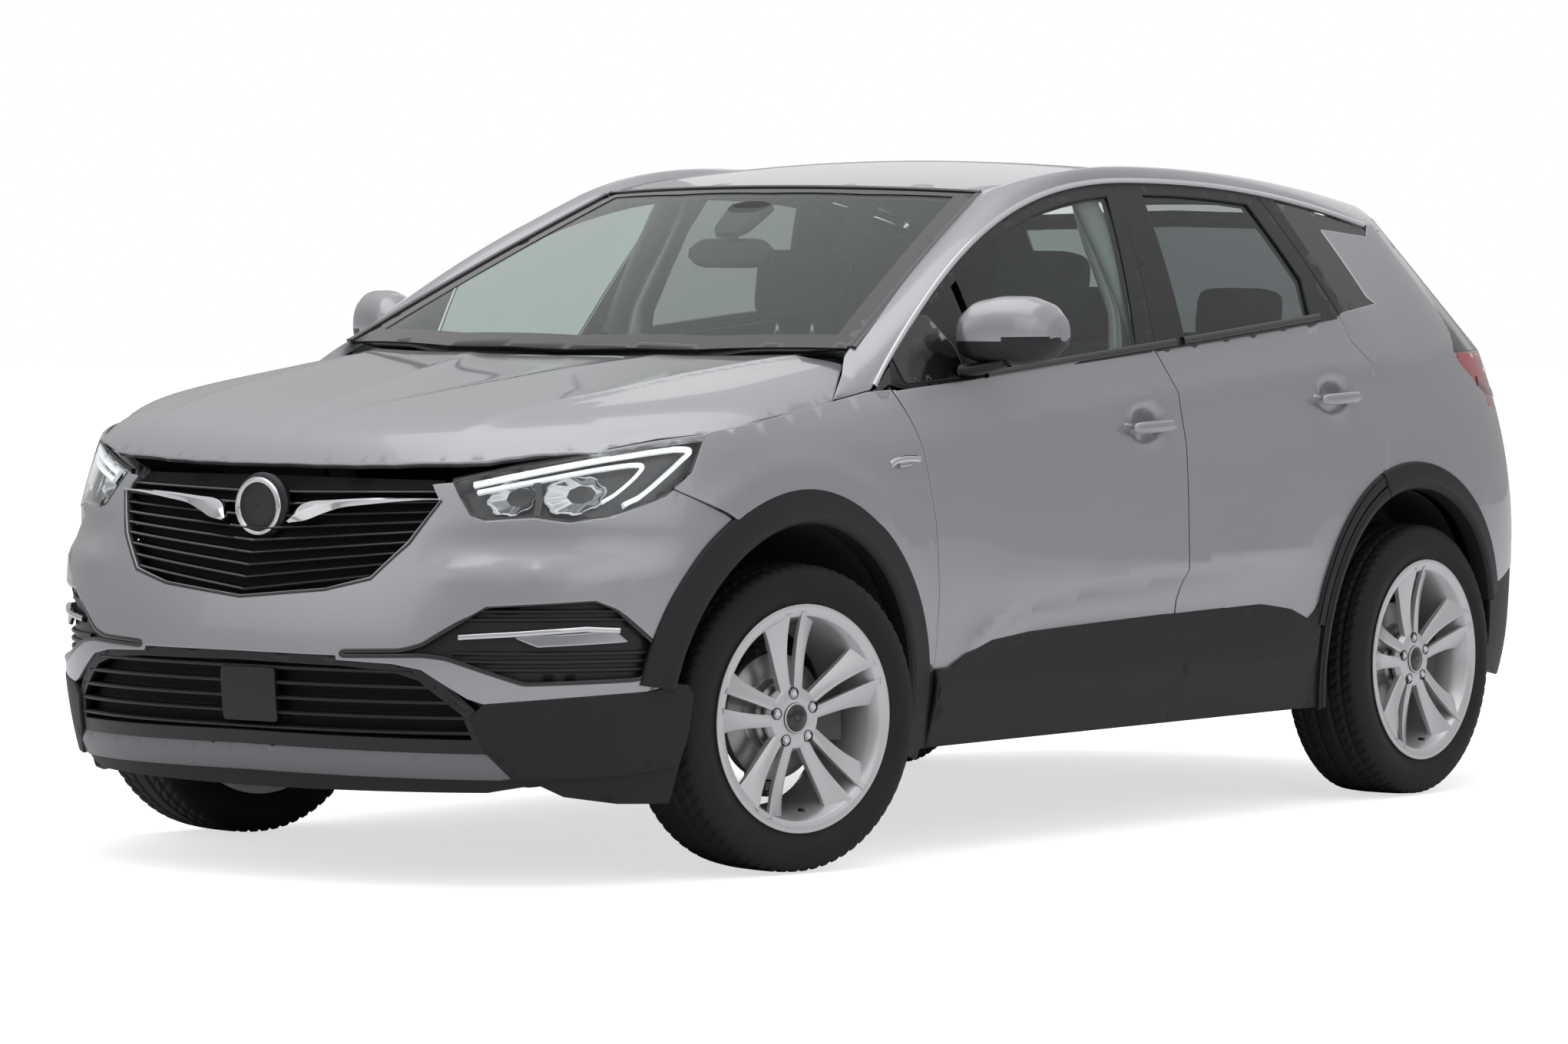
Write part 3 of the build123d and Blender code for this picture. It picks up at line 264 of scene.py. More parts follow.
def ends(y: Array, z: Array) -> Array:
    """Share of the half width left where the plan view turns in to the nose and the tail."""
    front = turn_in((FRONT_TURN_Y - y) / (FRONT_TURN_Y - nose_line(z)), FRONT_ROUND)
    return front * turn_in((y - REAR_TURN_Y) / (tail_line(z) - REAR_TURN_Y), REAR_ROUND)


def ridge(distance: Array, below: float, above: float) -> Array:
    """A sharp crest that dies away exponentially on each side."""
    return np.exp(-np.where(distance > 0, distance / above, -distance / below))


SHOULDER = ((-940, 930), (-865, 941), (-575, 973), (-192, 1012), (230, 1046), (623, 1079), (1145, 1102),
            (1640, 1122))
FLANK = ((-760, 430), (-727, 444), (-579, 529), (-415, 571), (-130, 603), (210, 619), (549, 639), (834, 652),
         (1000, 660))


def line_z(points: Points, y: Array) -> Array:
    """Height of a drawn line at y, straight between its points."""
    ys, zs = np.array(points, float).T
    return np.interp(y, ys, zs)


def side_x(y: Array, z: Array) -> Array:
    """Lower body: the plain surface with its shoulder crease and the crease over the door scoop.

    Args:
        y: Places along the car.
        z: Heights.

    Returns:
        X of the side.
    """
    fade = np.clip((y + 900.0) / 260.0, 0, 1) * np.clip((1640.0 - y) / 300.0, 0, 1)
    crest = 7.0 * fade * ridge(z - line_z(SHOULDER, y), 34.0, 70.0)
    fade = np.clip((y + 740.0) / 160.0, 0, 1) * np.clip((900.0 - y) / 420.0, 0, 1)
    crest = crest + 9.0 * fade * ridge(z - line_z(FLANK, y), 16.0, 85.0)
    return (widest_x(y, z) + crest) * ends(y, z)


def cabin_x(y: Array, z: Array) -> Array:
    """Glasshouse half width: leaning in from the belt, narrower towards both ends.

    Args:
        y: Places along the car.
        z: Heights.

    Returns:
        X of the cabin.
    """
    d = z - belt_z(y)
    front = 35.0 * (past(-200.0 - y, 0) / 800.0) ** 2
    rear = 60.0 * (past(y, 300.0) / 1200.0) ** 2
    return HALF_WIDTH - 50.0 - 0.42 * d - 0.00029 * d * np.abs(d) - front - rear


def quarter_x(y: Array, z: Array) -> Array:
    """Rear corner: the lower body blended at the belt into the glasshouse and the raked tail.

    Args:
        y: Places along the car.
        z: Heights.

    Returns:
        Half width at each place.
    """
    high = np.clip((z - belt_z(y) + 30.0) / 60.0, 0, 1)
    upper = np.where(y < REAR_TURN_Y, cabin_x(y, z), tail_width(z))
    behind = np.clip((y - 1150.0) / 150.0, 0, 1)
    upper = (upper * (1 - behind) + tail_width(z) * behind) * turn_in(
        (y - REAR_TURN_Y) / (tail_line(z) - REAR_TURN_Y), REAR_ROUND
    )
    late = np.clip((z - 1090.0) / 60.0, 0, 1) * behind
    blend = np.maximum(high * high * (3 - 2 * high), late)
    return side_x(y, np.minimum(z, 1330.0)) * (1 - blend) + upper * blend


def nose_y(x: Array, z: Array) -> Array:
    """Front surface over the bumper."""
    share = np.abs(x) / widest_x(FRONT_TURN_Y, z)
    return FRONT_TURN_Y + (nose_line(z) - FRONT_TURN_Y) * turn_in(share, FRONT_ROUND)


def tail_y(x: Array, z: Array) -> Array:
    """Rear surface over the bumper, tailgate and rear glass."""
    share = np.abs(x) / tail_width(z)
    return REAR_TURN_Y + (tail_line(z) - REAR_TURN_Y) * turn_in(share, REAR_ROUND)


BONNET_CREASE = ((-2200, 425), (-2000, 440), (-1830, 480), (-1583, 540), (-1325, 560), (-1070, 606),
                 (-950, 640))
DOME_CREASE = ((-2200, 20), (-1983, 40), (-1835, 75), (-1541, 140), (-1293, 195), (-1076, 273), (-950, 300))


def bonnet_z(x: Array, y: Array) -> Array:
    """Bonnet: crest rising to the screen, rolled to the wings and the lip, with two creases a side.

    Args:
        x: Places across the car.
        y: Places along it.

    Returns:
        Height at each place.
    """
    crest = 985.0 + 165.0 * (past(y, -2165.0) / 1090.0) ** 0.85
    edge = widest_x(np.maximum(y, -1800.0), cut_z(y)) * ends(np.maximum(y, -1800.0), cut_z(y))
    across = np.clip(np.abs(x) / edge, 0, 1.05)
    roll = (crest - cut_z(np.maximum(y, -1900.0))) * (0.15 * across**2 + 0.85 * across**12)
    lip = 80.0 * np.exp(-past(y - nose_y(x, 905.0), 0) / 70.0)
    fade = np.clip((y + 2150.0) / 260.0, 0, 1)
    outer = 7.0 * fade * ridge(np.abs(x) - line_z(BONNET_CREASE, y), 110.0, 26.0)
    inner = 4.0 * fade * ridge(np.abs(x) - line_z(DOME_CREASE, y), 26.0, 120.0)
    return crest - np.minimum(roll, 150.0) - lip + outer + inner - 4.0


def screen_z(x: Array, y: Array) -> Array:
    """Outer face of the windscreen: a slope with a little crown, curved across."""
    t = (y + 1060.0) / 840.0
    return 1160.0 + 388.0 * t + 40.0 * t * (1.0 - t) - (0.00008 + 0.00005 * t) * x**2


def roof_z(x: Array, y: Array) -> Array:
    """Top of the roof: a crown along and across."""
    along = (y - 400.0) / 1000.0
    return ROOF_Z - np.where(along < 0, 182.0, 60.0) * along**2 - 0.0001 * x**2


# ------------------------------------------------------------------ places on those surfaces
def on_side(y: Array, z: Array) -> Array:
    """Points of the lower body's left side."""
    return np.stack([side_x(y, z), y, z], -1)


def on_quarter(y: Array, z: Array) -> Array:
    """Points of the left rear corner."""
    return np.stack([quarter_x(y, z), y, z], -1)


def on_cabin(y: Array, z: Array) -> Array:
    """Points of the glasshouse's left side."""
    return np.stack([cabin_x(y, z), y, z], -1)


def on_bonnet(x: Array, y: Array) -> Array:
    """Points of the bonnet's top."""
    return np.stack([x, y, bonnet_z(x, y)], -1)


def on_screen(x: Array, y: Array) -> Array:
    """Points of the windscreen's outer face."""
    return np.stack([x, y, screen_z(x, y)], -1)


def on_roof(x: Array, y: Array) -> Array:
    """Points of the roof's top."""
    return np.stack([x, y, roof_z(x, y)], -1)


def wrap_end(turn_y: float, end_of: Callable, width_of: Callable, power: float) -> Lift:
    """Makes a lift for a rounded end from a distance round its plan instead of x.

    The plan is the superellipse (x/W)^n + (d/D)^n = 1. The first parameter is the angle whose tangent is
    (x/W)/(d/D), times 1000, so 0 is the car's middle and 1571 is its side.

    Args:
        turn_y: Where the plan starts to turn in.
        end_of: The end's place along the car at a height.
        width_of: Half width at a height.
        power: The superellipse's power.

    Returns:
        The lift from (angle, height) to a point.
    """

    def lift(u: Array, z: Array) -> Array:
        """Place on the rounded end, in mm.

        Args:
            u: Places round the outline.
            z: Heights.

        Returns:
            Points of the surface.
        """
        angle = np.clip(u / 1000.0, -1.5707, 1.5707)
        s, c = np.sin(angle), np.cos(angle)
        reach = (np.abs(s) ** power + np.abs(c) ** power) ** (-1.0 / power)
        return np.stack([width_of(z) * reach * s, turn_y + (end_of(z) - turn_y) * reach * c,
                         z + 0.0 * u], -1)

    return lift


on_nose = wrap_end(FRONT_TURN_Y, nose_line, lambda z: widest_x(FRONT_TURN_Y, z), FRONT_ROUND)
on_tail = wrap_end(REAR_TURN_Y, tail_line, tail_width, REAR_ROUND)


def nose_u(x: Array, z: Array) -> Array:
    """The nose lift's first parameter at a place across the car."""
    share = np.asarray(x, float) / widest_x(FRONT_TURN_Y, np.asarray(z, float))
    return 1000.0 * np.arctan2(share, turn_in(np.abs(share), FRONT_ROUND))


def tail_u(x: Array, z: Array) -> Array:
    """The tail lift's first parameter at a place across the car."""
    share = np.asarray(x, float) / tail_width(np.asarray(z, float))
    return 1000.0 * np.arctan2(share, turn_in(np.abs(share), REAR_ROUND))


def nose_u_at(y: Array, z: Array) -> Array:
    """The nose lift's first parameter at a place along the car's left side."""
    deep = (FRONT_TURN_Y - np.asarray(y, float)) / (FRONT_TURN_Y - nose_line(z))
    return 1000.0 * np.arctan2(turn_in(deep, FRONT_ROUND), np.clip(deep, 1e-4, 1))


def tail_u_at(y: Array, z: Array) -> Array:
    """The tail lift's first parameter at a place along the car's left side."""
    deep = (np.asarray(y, float) - REAR_TURN_Y) / (tail_line(z) - REAR_TURN_Y)
    return 1000.0 * np.arctan2(turn_in(deep, REAR_ROUND), np.clip(deep, 1e-4, 1))


# ------------------------------------------------------------------ outlines and meshes
def dense(points: Points, step: float, closed: bool = True) -> Array:
    """An outline with extra points so that no side is longer than step.

    Args:
        points: The corners.
        step: The longest side allowed.
        closed: Whether the last corner joins the first.

    Returns:
        Points as an array of shape (n, 2).
    """
    p = np.array(points, float)
    q = np.roll(p, -1, axis=0)
    if not closed:
        p, q, last = p[:-1], q[:-1], p[-1:]
    runs = []
    for a, b in zip(p, q):
        n = max(1, int(np.ceil(np.linalg.norm(b - a) / step)))
        runs.append(a + (b - a) * np.linspace(0, 1, n, endpoint=False)[:, None])
    return np.concatenate(runs if closed else [*runs, last])


def soften(points: Points, radius: float, steps: int = 5) -> Array:
    """An outline with its corners rounded by quadratic Bezier curves of about that radius.

    Args:
        points: The corners.
        radius: How far from a corner its curve starts.
        steps: Points on each curve.

    Returns:
        Points (n, 2).
    """
    p = np.array(points, float)
    before, after = np.roll(p, 1, axis=0) - p, np.roll(p, -1, axis=0) - p
    reach_b = np.minimum(radius, 0.45 * np.linalg.norm(before, axis=1))[:, None]
    reach_a = np.minimum(radius, 0.45 * np.linalg.norm(after, axis=1))[:, None]
    start = p + before / np.linalg.norm(before, axis=1)[:, None] * reach_b
    end = p + after / np.linalg.norm(after, axis=1)[:, None] * reach_a
    t = np.linspace(0, 1, steps)[None, :, None]
    curve = (1 - t) ** 2 * start[:, None] + 2 * t * (1 - t) * p[:, None] + t**2 * end[:, None]
    return curve.reshape(-1, 2)


def grow(points: Points, by: float) -> Array:
    """An outline moved outwards by a distance, or inwards by a negative one.

    Args:
        points: The corners.
        by: Distance outwards.

    Returns:
        The moved corners.
    """
    p = np.array(points, float)
    if by == 0:
        return p
    edge = np.roll(p, -1, axis=0) - p
    edge /= np.linalg.norm(edge, axis=1)[:, None]
    area = np.sum(p[:, 0] * np.roll(p[:, 1], -1) - np.roll(p[:, 0], -1) * p[:, 1])
    out = np.stack([edge[:, 1], -edge[:, 0]], axis=1) * np.sign(area) * by
    before = np.roll(out, 1, axis=0)
    lean = np.maximum(1.0 + np.sum(out * before, axis=1) / by**2, 0.35)
    return p + (out + before) / lean[:, None]


def inside(p: Array, outline: Array) -> Array:
    """Which points are inside an outline: an odd number of its sides crosses the ray along +X.

    Args:
        p: Points (n, 2).
        outline: Corners (k, 2).

    Returns:
        True for each point inside.
    """
    a, b = outline, np.roll(outline, -1, axis=0)
    x, y = p[:, 0][:, None], p[:, 1][:, None]
    crosses = (a[:, 1] > y) != (b[:, 1] > y)
    with np.errstate(divide="ignore", invalid="ignore"):
        at = a[:, 0] + (y - a[:, 1]) / (b[:, 1] - a[:, 1]) * (b[:, 0] - a[:, 0])
    return np.sum(crosses & (x < at), axis=1) % 2 == 1


def fill(outline: Points, step: float, holes: Iterable[Points] = (), lines: Iterable[Points] = ()) -> tuple:
    """Triangles that fill an outline, with points on a lattice, on its rim and along drawn lines.

    Args:
        outline: The outer rim.
        step: Spacing of the points.
        holes: Inner rims.
        lines: Open lines that triangle sides follow, such as creases.

    Returns:
        Points (n, 2) and triangles (k, 3), anticlockwise.
    """
    loops = [dense(outline, step), *[dense(h, step) for h in holes]]
    tracks = [dense(line, step, closed=False) for line in lines]
    rim = np.concatenate(loops)
    low, high = rim.min(0), rim.max(0)
    rows = np.arange(low[1] + step / 3, high[1], step * 0.87)
    cols = np.arange(low[0] + step / 3, high[0], step)
    gx, gy = np.meshgrid(cols, rows)
    gx[::2] += step / 2
    lattice = np.stack([gx.ravel(), gy.ravel()], -1)
    keep = inside(lattice, loops[0])
    for hole in loops[1:]:
        keep &= ~inside(lattice, hole)
    lattice = lattice[keep]
    tracks = [t[inside(t, loops[0])] for t in tracks]
    tracks = [t for t in tracks if len(t) > 1]
    fixed = np.concatenate([rim, *tracks])
    for chunk in np.array_split(fixed, max(1, len(fixed) // 400)):
        near = np.min(np.linalg.norm(lattice[:, None] - chunk[None], axis=2), axis=1)
        lattice = lattice[near > 0.62 * step]
    sides, start = [], 0
    for loop in loops:
        n = len(loop)
        sides += [(start + i, start + (i + 1) % n) for i in range(n)]
        start += n
    for track in tracks:
        sides += [(start + i, start + i + 1) for i in range(len(track) - 1)]
        start += len(track)
    everything = np.concatenate([fixed, lattice])
    verts, _, faces, *_ = delaunay_2d_cdt([Vector(v) for v in everything.tolist()], sides, [], 0, 1e-5)
    points = np.array([v[:] for v in verts])
    tris = np.array([f[:] for f in faces if len(f) == 3])
    centre = points[tris].mean(axis=1)
    keep = inside(centre, loops[0])
    for hole in loops[1:]:
        keep &= ~inside(centre, hole)
    tris = tris[keep]
    a, b, c = (points[tris[:, i]] for i in range(3))
    turning = (b - a)[:, 0] * (c - a)[:, 1] - (b - a)[:, 1] * (c - a)[:, 0]
    return points, np.where((turning > 0)[:, None], tris, tris[:, ::-1])


def surface_normals(lift: Lift, p: Array, towards: Array) -> Array:
    """Unit normals of a lift, by differences along its two parameters, on the side of towards.

    Args:
        lift: The surface.
        p: Parameters (n, 2).
        towards: A direction on the outer side.

    Returns:
        Unit normals (n, 3).
    """
    h = 0.5
    du = lift(p[:, 0] + h, p[:, 1]) - lift(p[:, 0] - h, p[:, 1])
    dv = lift(p[:, 0], p[:, 1] + h) - lift(p[:, 0], p[:, 1] - h)
    n = np.cross(du, dv)
    n /= np.maximum(np.linalg.norm(n, axis=1), 1e-9)[:, None]
    return n if np.sum(n @ np.array(towards, float)) > 0 else -n


def with_hem(verts: Array, tris: Array, normals: Array, radius: float, depth: float) -> tuple:
    """Rolls a triangle sheet's rims inwards, as a pressed panel's are.

    Each rim point goes out along the surface and then down: rows at (0.8 r, 0), a quarter circle of
    radius r, and a last row at a depth. Out is the rim's direction crossed with the normal.

    Args:
        verts: Points (n, 3).
        tris: Triangles, anticlockwise seen from outside.
        normals: Outward normals at the points.
        radius: Radius of the rolled edge.
        depth: How far the hem goes in.

    Returns:
        All points and a list of faces.
    """
    sides = np.concatenate([tris[:, [0, 1]], tris[:, [1, 2]], tris[:, [2, 0]]])
    key = sides.min(1) * (len(verts) + 1) + sides.max(1)
    _, index, count = np.unique(key, return_index=True, return_counts=True)
    rim = sides[index[count == 1]]
    along = verts[rim[:, 1]] - verts[rim[:, 0]]
    out = np.cross(along, normals[rim[:, 0]] + normals[rim[:, 1]])
    out /= np.maximum(np.linalg.norm(out, axis=1), 1e-9)[:, None]
    total = np.zeros_like(verts)
    np.add.at(total, rim[:, 0], out)
    np.add.at(total, rim[:, 1], out)
    used = np.unique(rim)
    total = total[used]
    size = np.linalg.norm(total, axis=1)
    total *= (np.minimum(2.0 / np.maximum(size, 1e-6), 1.5) / np.maximum(size, 1e-6))[:, None]
    slot = np.full(len(verts), -1)
    slot[used] = np.arange(len(used))
    base, down = verts[used], normals[used]
    rows = [(0.6, 0.0)]
    rows += [(1.0 + np.sin(a), 1 - np.cos(a)) for a in np.radians([30.0, 60.0, 90.0])]
    rows = [(radius * o, radius * d) for o, d in rows] + [(2.0 * radius, depth)]
    rings = [verts, *[base + total * o - down * d for o, d in rows]]
    quads = []
    a, b = slot[rim[:, 0]], slot[rim[:, 1]]
    lower = [used[a], *[len(verts) + i * len(used) + a for i in range(len(rows))]]
    upper = [used[b], *[len(verts) + i * len(used) + b for i in range(len(rows))]]
    for i in range(len(rows)):
        quads.append(np.stack([upper[i], lower[i], lower[i + 1], upper[i + 1]], -1))
    return np.concatenate(rings), [*tris.tolist(), *np.concatenate(quads).tolist()]


def mesh_object(name: str, verts: Array, faces: list) -> bpy.types.Object:
    """A smooth-shaded object from points in millimetres and faces.

    Args:
        name: The piece's name.
        verts: Points in millimetres.
        faces: Point numbers of each face.

    Returns:
        The object, at the origin.
    """
    mesh = bpy.data.meshes.new(name)
    mesh.from_pydata((np.asarray(verts) * MM).tolist(), [], faces)
    mesh.polygons.foreach_set("use_smooth", np.ones(len(mesh.polygons), bool))
    mesh.update()
    piece = bpy.data.objects.new(name, mesh)
    bpy.context.scene.collection.objects.link(piece)
    return piece


def grid_faces(n: int, m: int, wrap_u: bool = False, wrap_v: bool = False, flip: bool = False) -> list:
    """Quads of an n by m grid of points, optionally closed in either direction.

    Args:
        n: Rows of points.
        m: Points in a row.
        wrap_u: Whether the last row joins the first.
        wrap_v: Whether each row closes.
        flip: Whether the faces turn the other way.

    Returns:
        Quads of point numbers.
    """
    i, j = np.meshgrid(np.arange(n if wrap_u else n - 1), np.arange(m if wrap_v else m - 1), indexing="ij")
    i2, j2 = (i + 1) % n, (j + 1) % m
    quad = np.stack([i * m + j, i2 * m + j, i2 * m + j2, i * m + j2], -1).reshape(-1, 4)
    return (quad[:, ::-1] if flip else quad).tolist()


def tube(name: str, rings: Array, caps: bool = True) -> bpy.types.Object:
    """A closed solid from rings of points: shape (rings, points, 3), with flat ends.

    Args:
        name: The piece's name.
        rings: Points of each ring.
        caps: Whether both ends are closed.

    Returns:
        The object, facing outwards.
    """
    n, m, _ = rings.shape
    faces = grid_faces(n, m, wrap_v=True)
    verts = rings.reshape(-1, 3)
    if caps:
        faces += [list(range(m))[::-1], list(range((n - 1) * m, n * m))]
    piece = mesh_object(name, verts, faces)
    normal = np.cross(rings[1, 0] - rings[0, 0], rings[0, 1] - rings[0, 0])
    if np.dot(normal, rings[0, 0] - rings[0].mean(axis=0)) > 0:
        piece.data.flip_normals()
    return piece


def frames_along(path: Array, up: Sequence[float]) -> tuple[Array, Array]:
    """Side and up directions square to an open path, keeping up as near as may be to the one given.

    Args:
        path: Points of the path.
        up: The up direction, or one for each path point.

    Returns:
        Two unit directions across the path at each point.
    """
    ahead = np.gradient(path, axis=0)
    ahead /= np.linalg.norm(ahead, axis=1)[:, None]
    side = np.cross(ahead, np.array(up, float)[None] if np.ndim(up) == 1 else up)
    side /= np.linalg.norm(side, axis=1)[:, None]
    return side, np.cross(side, ahead)


def sweep(name: str, path: Array, profile: Points, up: Sequence[float] | Array,
          scale: Array | None = None) -> bpy.types.Object:
    """Carries a closed profile (side, up) along a path, square to it.

    Args:
        name: The piece's name.
        path: Points of the path.
        profile: Points of the profile.
        up: The up direction, or one for each path point.
        scale: Size of the profile at each path point.

    Returns:
        The object.
    """
    side, top = frames_along(path, up)
    shape = np.array(profile, float)
    size = np.ones(len(path)) if scale is None else np.asarray(scale, float)
    section = side[:, None] * shape[None, :, :1] + top[:, None] * shape[None, :, 1:]
    rings = path[:, None] + section * size[:, None, None]
    return tube(name, rings)


def oval(width: float, height: float, count: int = 12, power: float = 2.0) -> Array:
    """A superellipse profile.

    Args:
        width: Full width.
        height: Full height.
        count: Number of points.
        power: Fullness of the corners, 2 for an ellipse.

    Returns:
        Points of the section.
    """
    a = np.linspace(0, 2 * np.pi, count, endpoint=False)
    s, c = np.sin(a), np.cos(a)
    reach = (np.abs(s) ** power + np.abs(c) ** power) ** (-1.0 / power)
    return np.stack([width / 2 * reach * c, height / 2 * reach * s], -1)


def spline(points: Sequence[Sequence[float]], count: int) -> Array:
    """A smooth path through points: Catmull-Rom, evenly spaced in its parameter.

    Args:
        points: Points to pass through.
        count: How many points to make.

    Returns:
        Points (count, k).
    """
    p = np.array(points, float)
    p = np.concatenate([2 * p[:1] - p[1:2], p, 2 * p[-1:] - p[-2:-1]])
    t = np.linspace(0, len(p) - 3 - 1e-9, count)
    i = t.astype(int)
    f = (t - i)[:, None]
    a, b, c, d = (p[i + k] for k in range(4))
    return 0.5 * (2 * b + (c - a) * f + (2 * a - 5 * b + 4 * c - d) * f**2 + (3 * b - a - 3 * c + d) * f**3)


def revolve(name: str, profile: Points, axis: int, centre: Sequence[float], count: int,
            closed: bool = True) -> bpy.types.Object:
    """Turns a section (along the axis, radius) about an axis through a centre.

    Args:
        name: The piece's name.
        profile: Points (along the axis, radius).
        axis: 0, 1 or 2 for X, Y or Z.
        centre: The section's origin.
        count: Steps of the turn.
        closed: Whether the section is a loop.

    Returns:
        The object.
    """
    a = np.linspace(0, 2 * np.pi, count, endpoint=False)
    shape = np.array(profile, float)
    along, r = shape[:, 0][None], shape[:, 1][None]
    verts = np.zeros((count, len(shape), 3))
    verts[..., axis] = along
    verts[..., (axis + 1) % 3] = r * np.cos(a)[:, None]
    verts[..., (axis + 2) % 3] = r * np.sin(a)[:, None]
    piece = mesh_object(name, verts.reshape(-1, 3) + np.array(centre, float),
                        grid_faces(count, len(shape), True, closed))
    area = np.sum(shape[:, 0] * np.roll(shape[:, 1], -1) - np.roll(shape[:, 0], -1) * shape[:, 1])
    if area > 0:
        piece.data.flip_normals()
    return piece


def thicken(piece: bpy.types.Object, amount: float) -> bpy.types.Object:
    """Gives an open sheet a wall on its inner side.

    Args:
        piece: The piece.
        amount: Thickness of the wall.

    Returns:
        The same piece.
    """
    wall = piece.modifiers.new("wall", "SOLIDIFY")
    wall.thickness, wall.offset, wall.use_rim = amount * MM, -1.0, True
    return piece


def crisp(piece: bpy.types.Object, width: float, segments: int = 2) -> bpy.types.Object:
    """Rounds a piece's hard edges a little.

    Args:
        piece: The piece.
        width: Width of the bevel.
        segments: Its steps.

    Returns:
        The same piece.
    """
    edge = piece.modifiers.new("edge", "BEVEL")
    edge.width, edge.segments, edge.limit_method = width * MM, segments, "ANGLE"
    edge.harden_normals = True
    return piece


def mirrored(piece: bpy.types.Object, name: str) -> bpy.types.Object:
    """A copy on the other side of the car, turned the right way out.

    Args:
        piece: The left piece.
        name: The copy's name.

    Returns:
        The right piece.
    """
    mesh = piece.data.copy()
    mesh.name = name
    co = np.zeros(len(mesh.vertices) * 3)
    mesh.vertices.foreach_get("co", co)
    co[0::3] *= -1
    mesh.vertices.foreach_set("co", co)
    mesh.flip_normals()
    mesh.update()
    other = piece.copy()
    other.data = mesh
    other.name = name
    bpy.context.scene.collection.objects.link(other)
    return other


def join(name: str, parts: Sequence[bpy.types.Object]) -> bpy.types.Object:
    """One object from several without modifiers.

    Args:
        name: The whole's name.
        parts: Pieces, removed once joined.

    Returns:
        The whole.
    """
    counts = np.cumsum([0, *[len(p.data.vertices) for p in parts]])
    verts, faces, smooth = [], [], []
    for part, start in zip(parts, counts):
        co = np.zeros(len(part.data.vertices) * 3)
        part.data.vertices.foreach_get("co", co)
        verts.append(co.reshape(-1, 3) / MM)
        faces += [[v + int(start) for v in poly.vertices] for poly in part.data.polygons]
        smooth += [poly.use_smooth for poly in part.data.polygons]
        bpy.data.objects.remove(part)
    whole = mesh_object(name, np.concatenate(verts), faces)
    whole.data.polygons.foreach_set("use_smooth", smooth)
    return whole


# ------------------------------------------------------------------ finishes
class Pattern(Enum):
    """What a finish shows close up."""

    GRAIN = "grain"
    FLAKE = "flake"
    WEAVE = "weave"
    BRUSHED = "brushed"


@dataclass(frozen=True)
class Finish:
    """One surface finish and the record's slot it belongs to.

    Tone variation is the noise multiplied into the colour; film is how much road dust covers the lowest
    parts; relief is the height of the close-up pattern in millimetres.
    """

    name: str
    colour: tuple[float, float, float]
    slot: str = "dark_trim"
    metallic: float = 0.0
    roughness: float = 0.5
    coat: float = 0.0
    coat_roughness: float = 0.04
    ior: float = 1.5
    transmission: float = 0.0
    glow: float = 0.0
    tone: float = 0.05
    tone_scale: float = 2.5
    pattern: Pattern = Pattern.GRAIN
    pattern_scale: float = 900.0
    relief: float = 0.05
    rough_spread: float = 0.05
    film: float = 0.0


def add_socket(tree: bpy.types.NodeTree, name: str, kind: str, way: str, value: float | None = None) -> None:
    """Adds a named socket to a node group.

    Args:
        tree: The node group.
        name: The socket's name.
        kind: Its type.
        way: INPUT or OUTPUT.
        value: Its value unless set.
    """
    socket = tree.interface.new_socket(name, in_out=way, socket_type=kind)
    if value is not None:
        socket.default_value = value


def math_node(tree: bpy.types.NodeTree, operation: str, *values: object) -> bpy.types.NodeSocket:
    """Puts in a Math node fed by sockets or numbers and returns its output.

    Args:
        tree: The node tree.
        operation: Blender's name of the operation.
        values: A socket or number for each input.

    Returns:
        The node's output.
    """
    node = tree.nodes.new("ShaderNodeMath")
    node.operation = operation
    for i, value in enumerate(values):
        if isinstance(value, bpy.types.NodeSocket):
            tree.links.new(value, node.inputs[i])
        else:
            node.inputs[i].default_value = value
    return node.outputs[0]


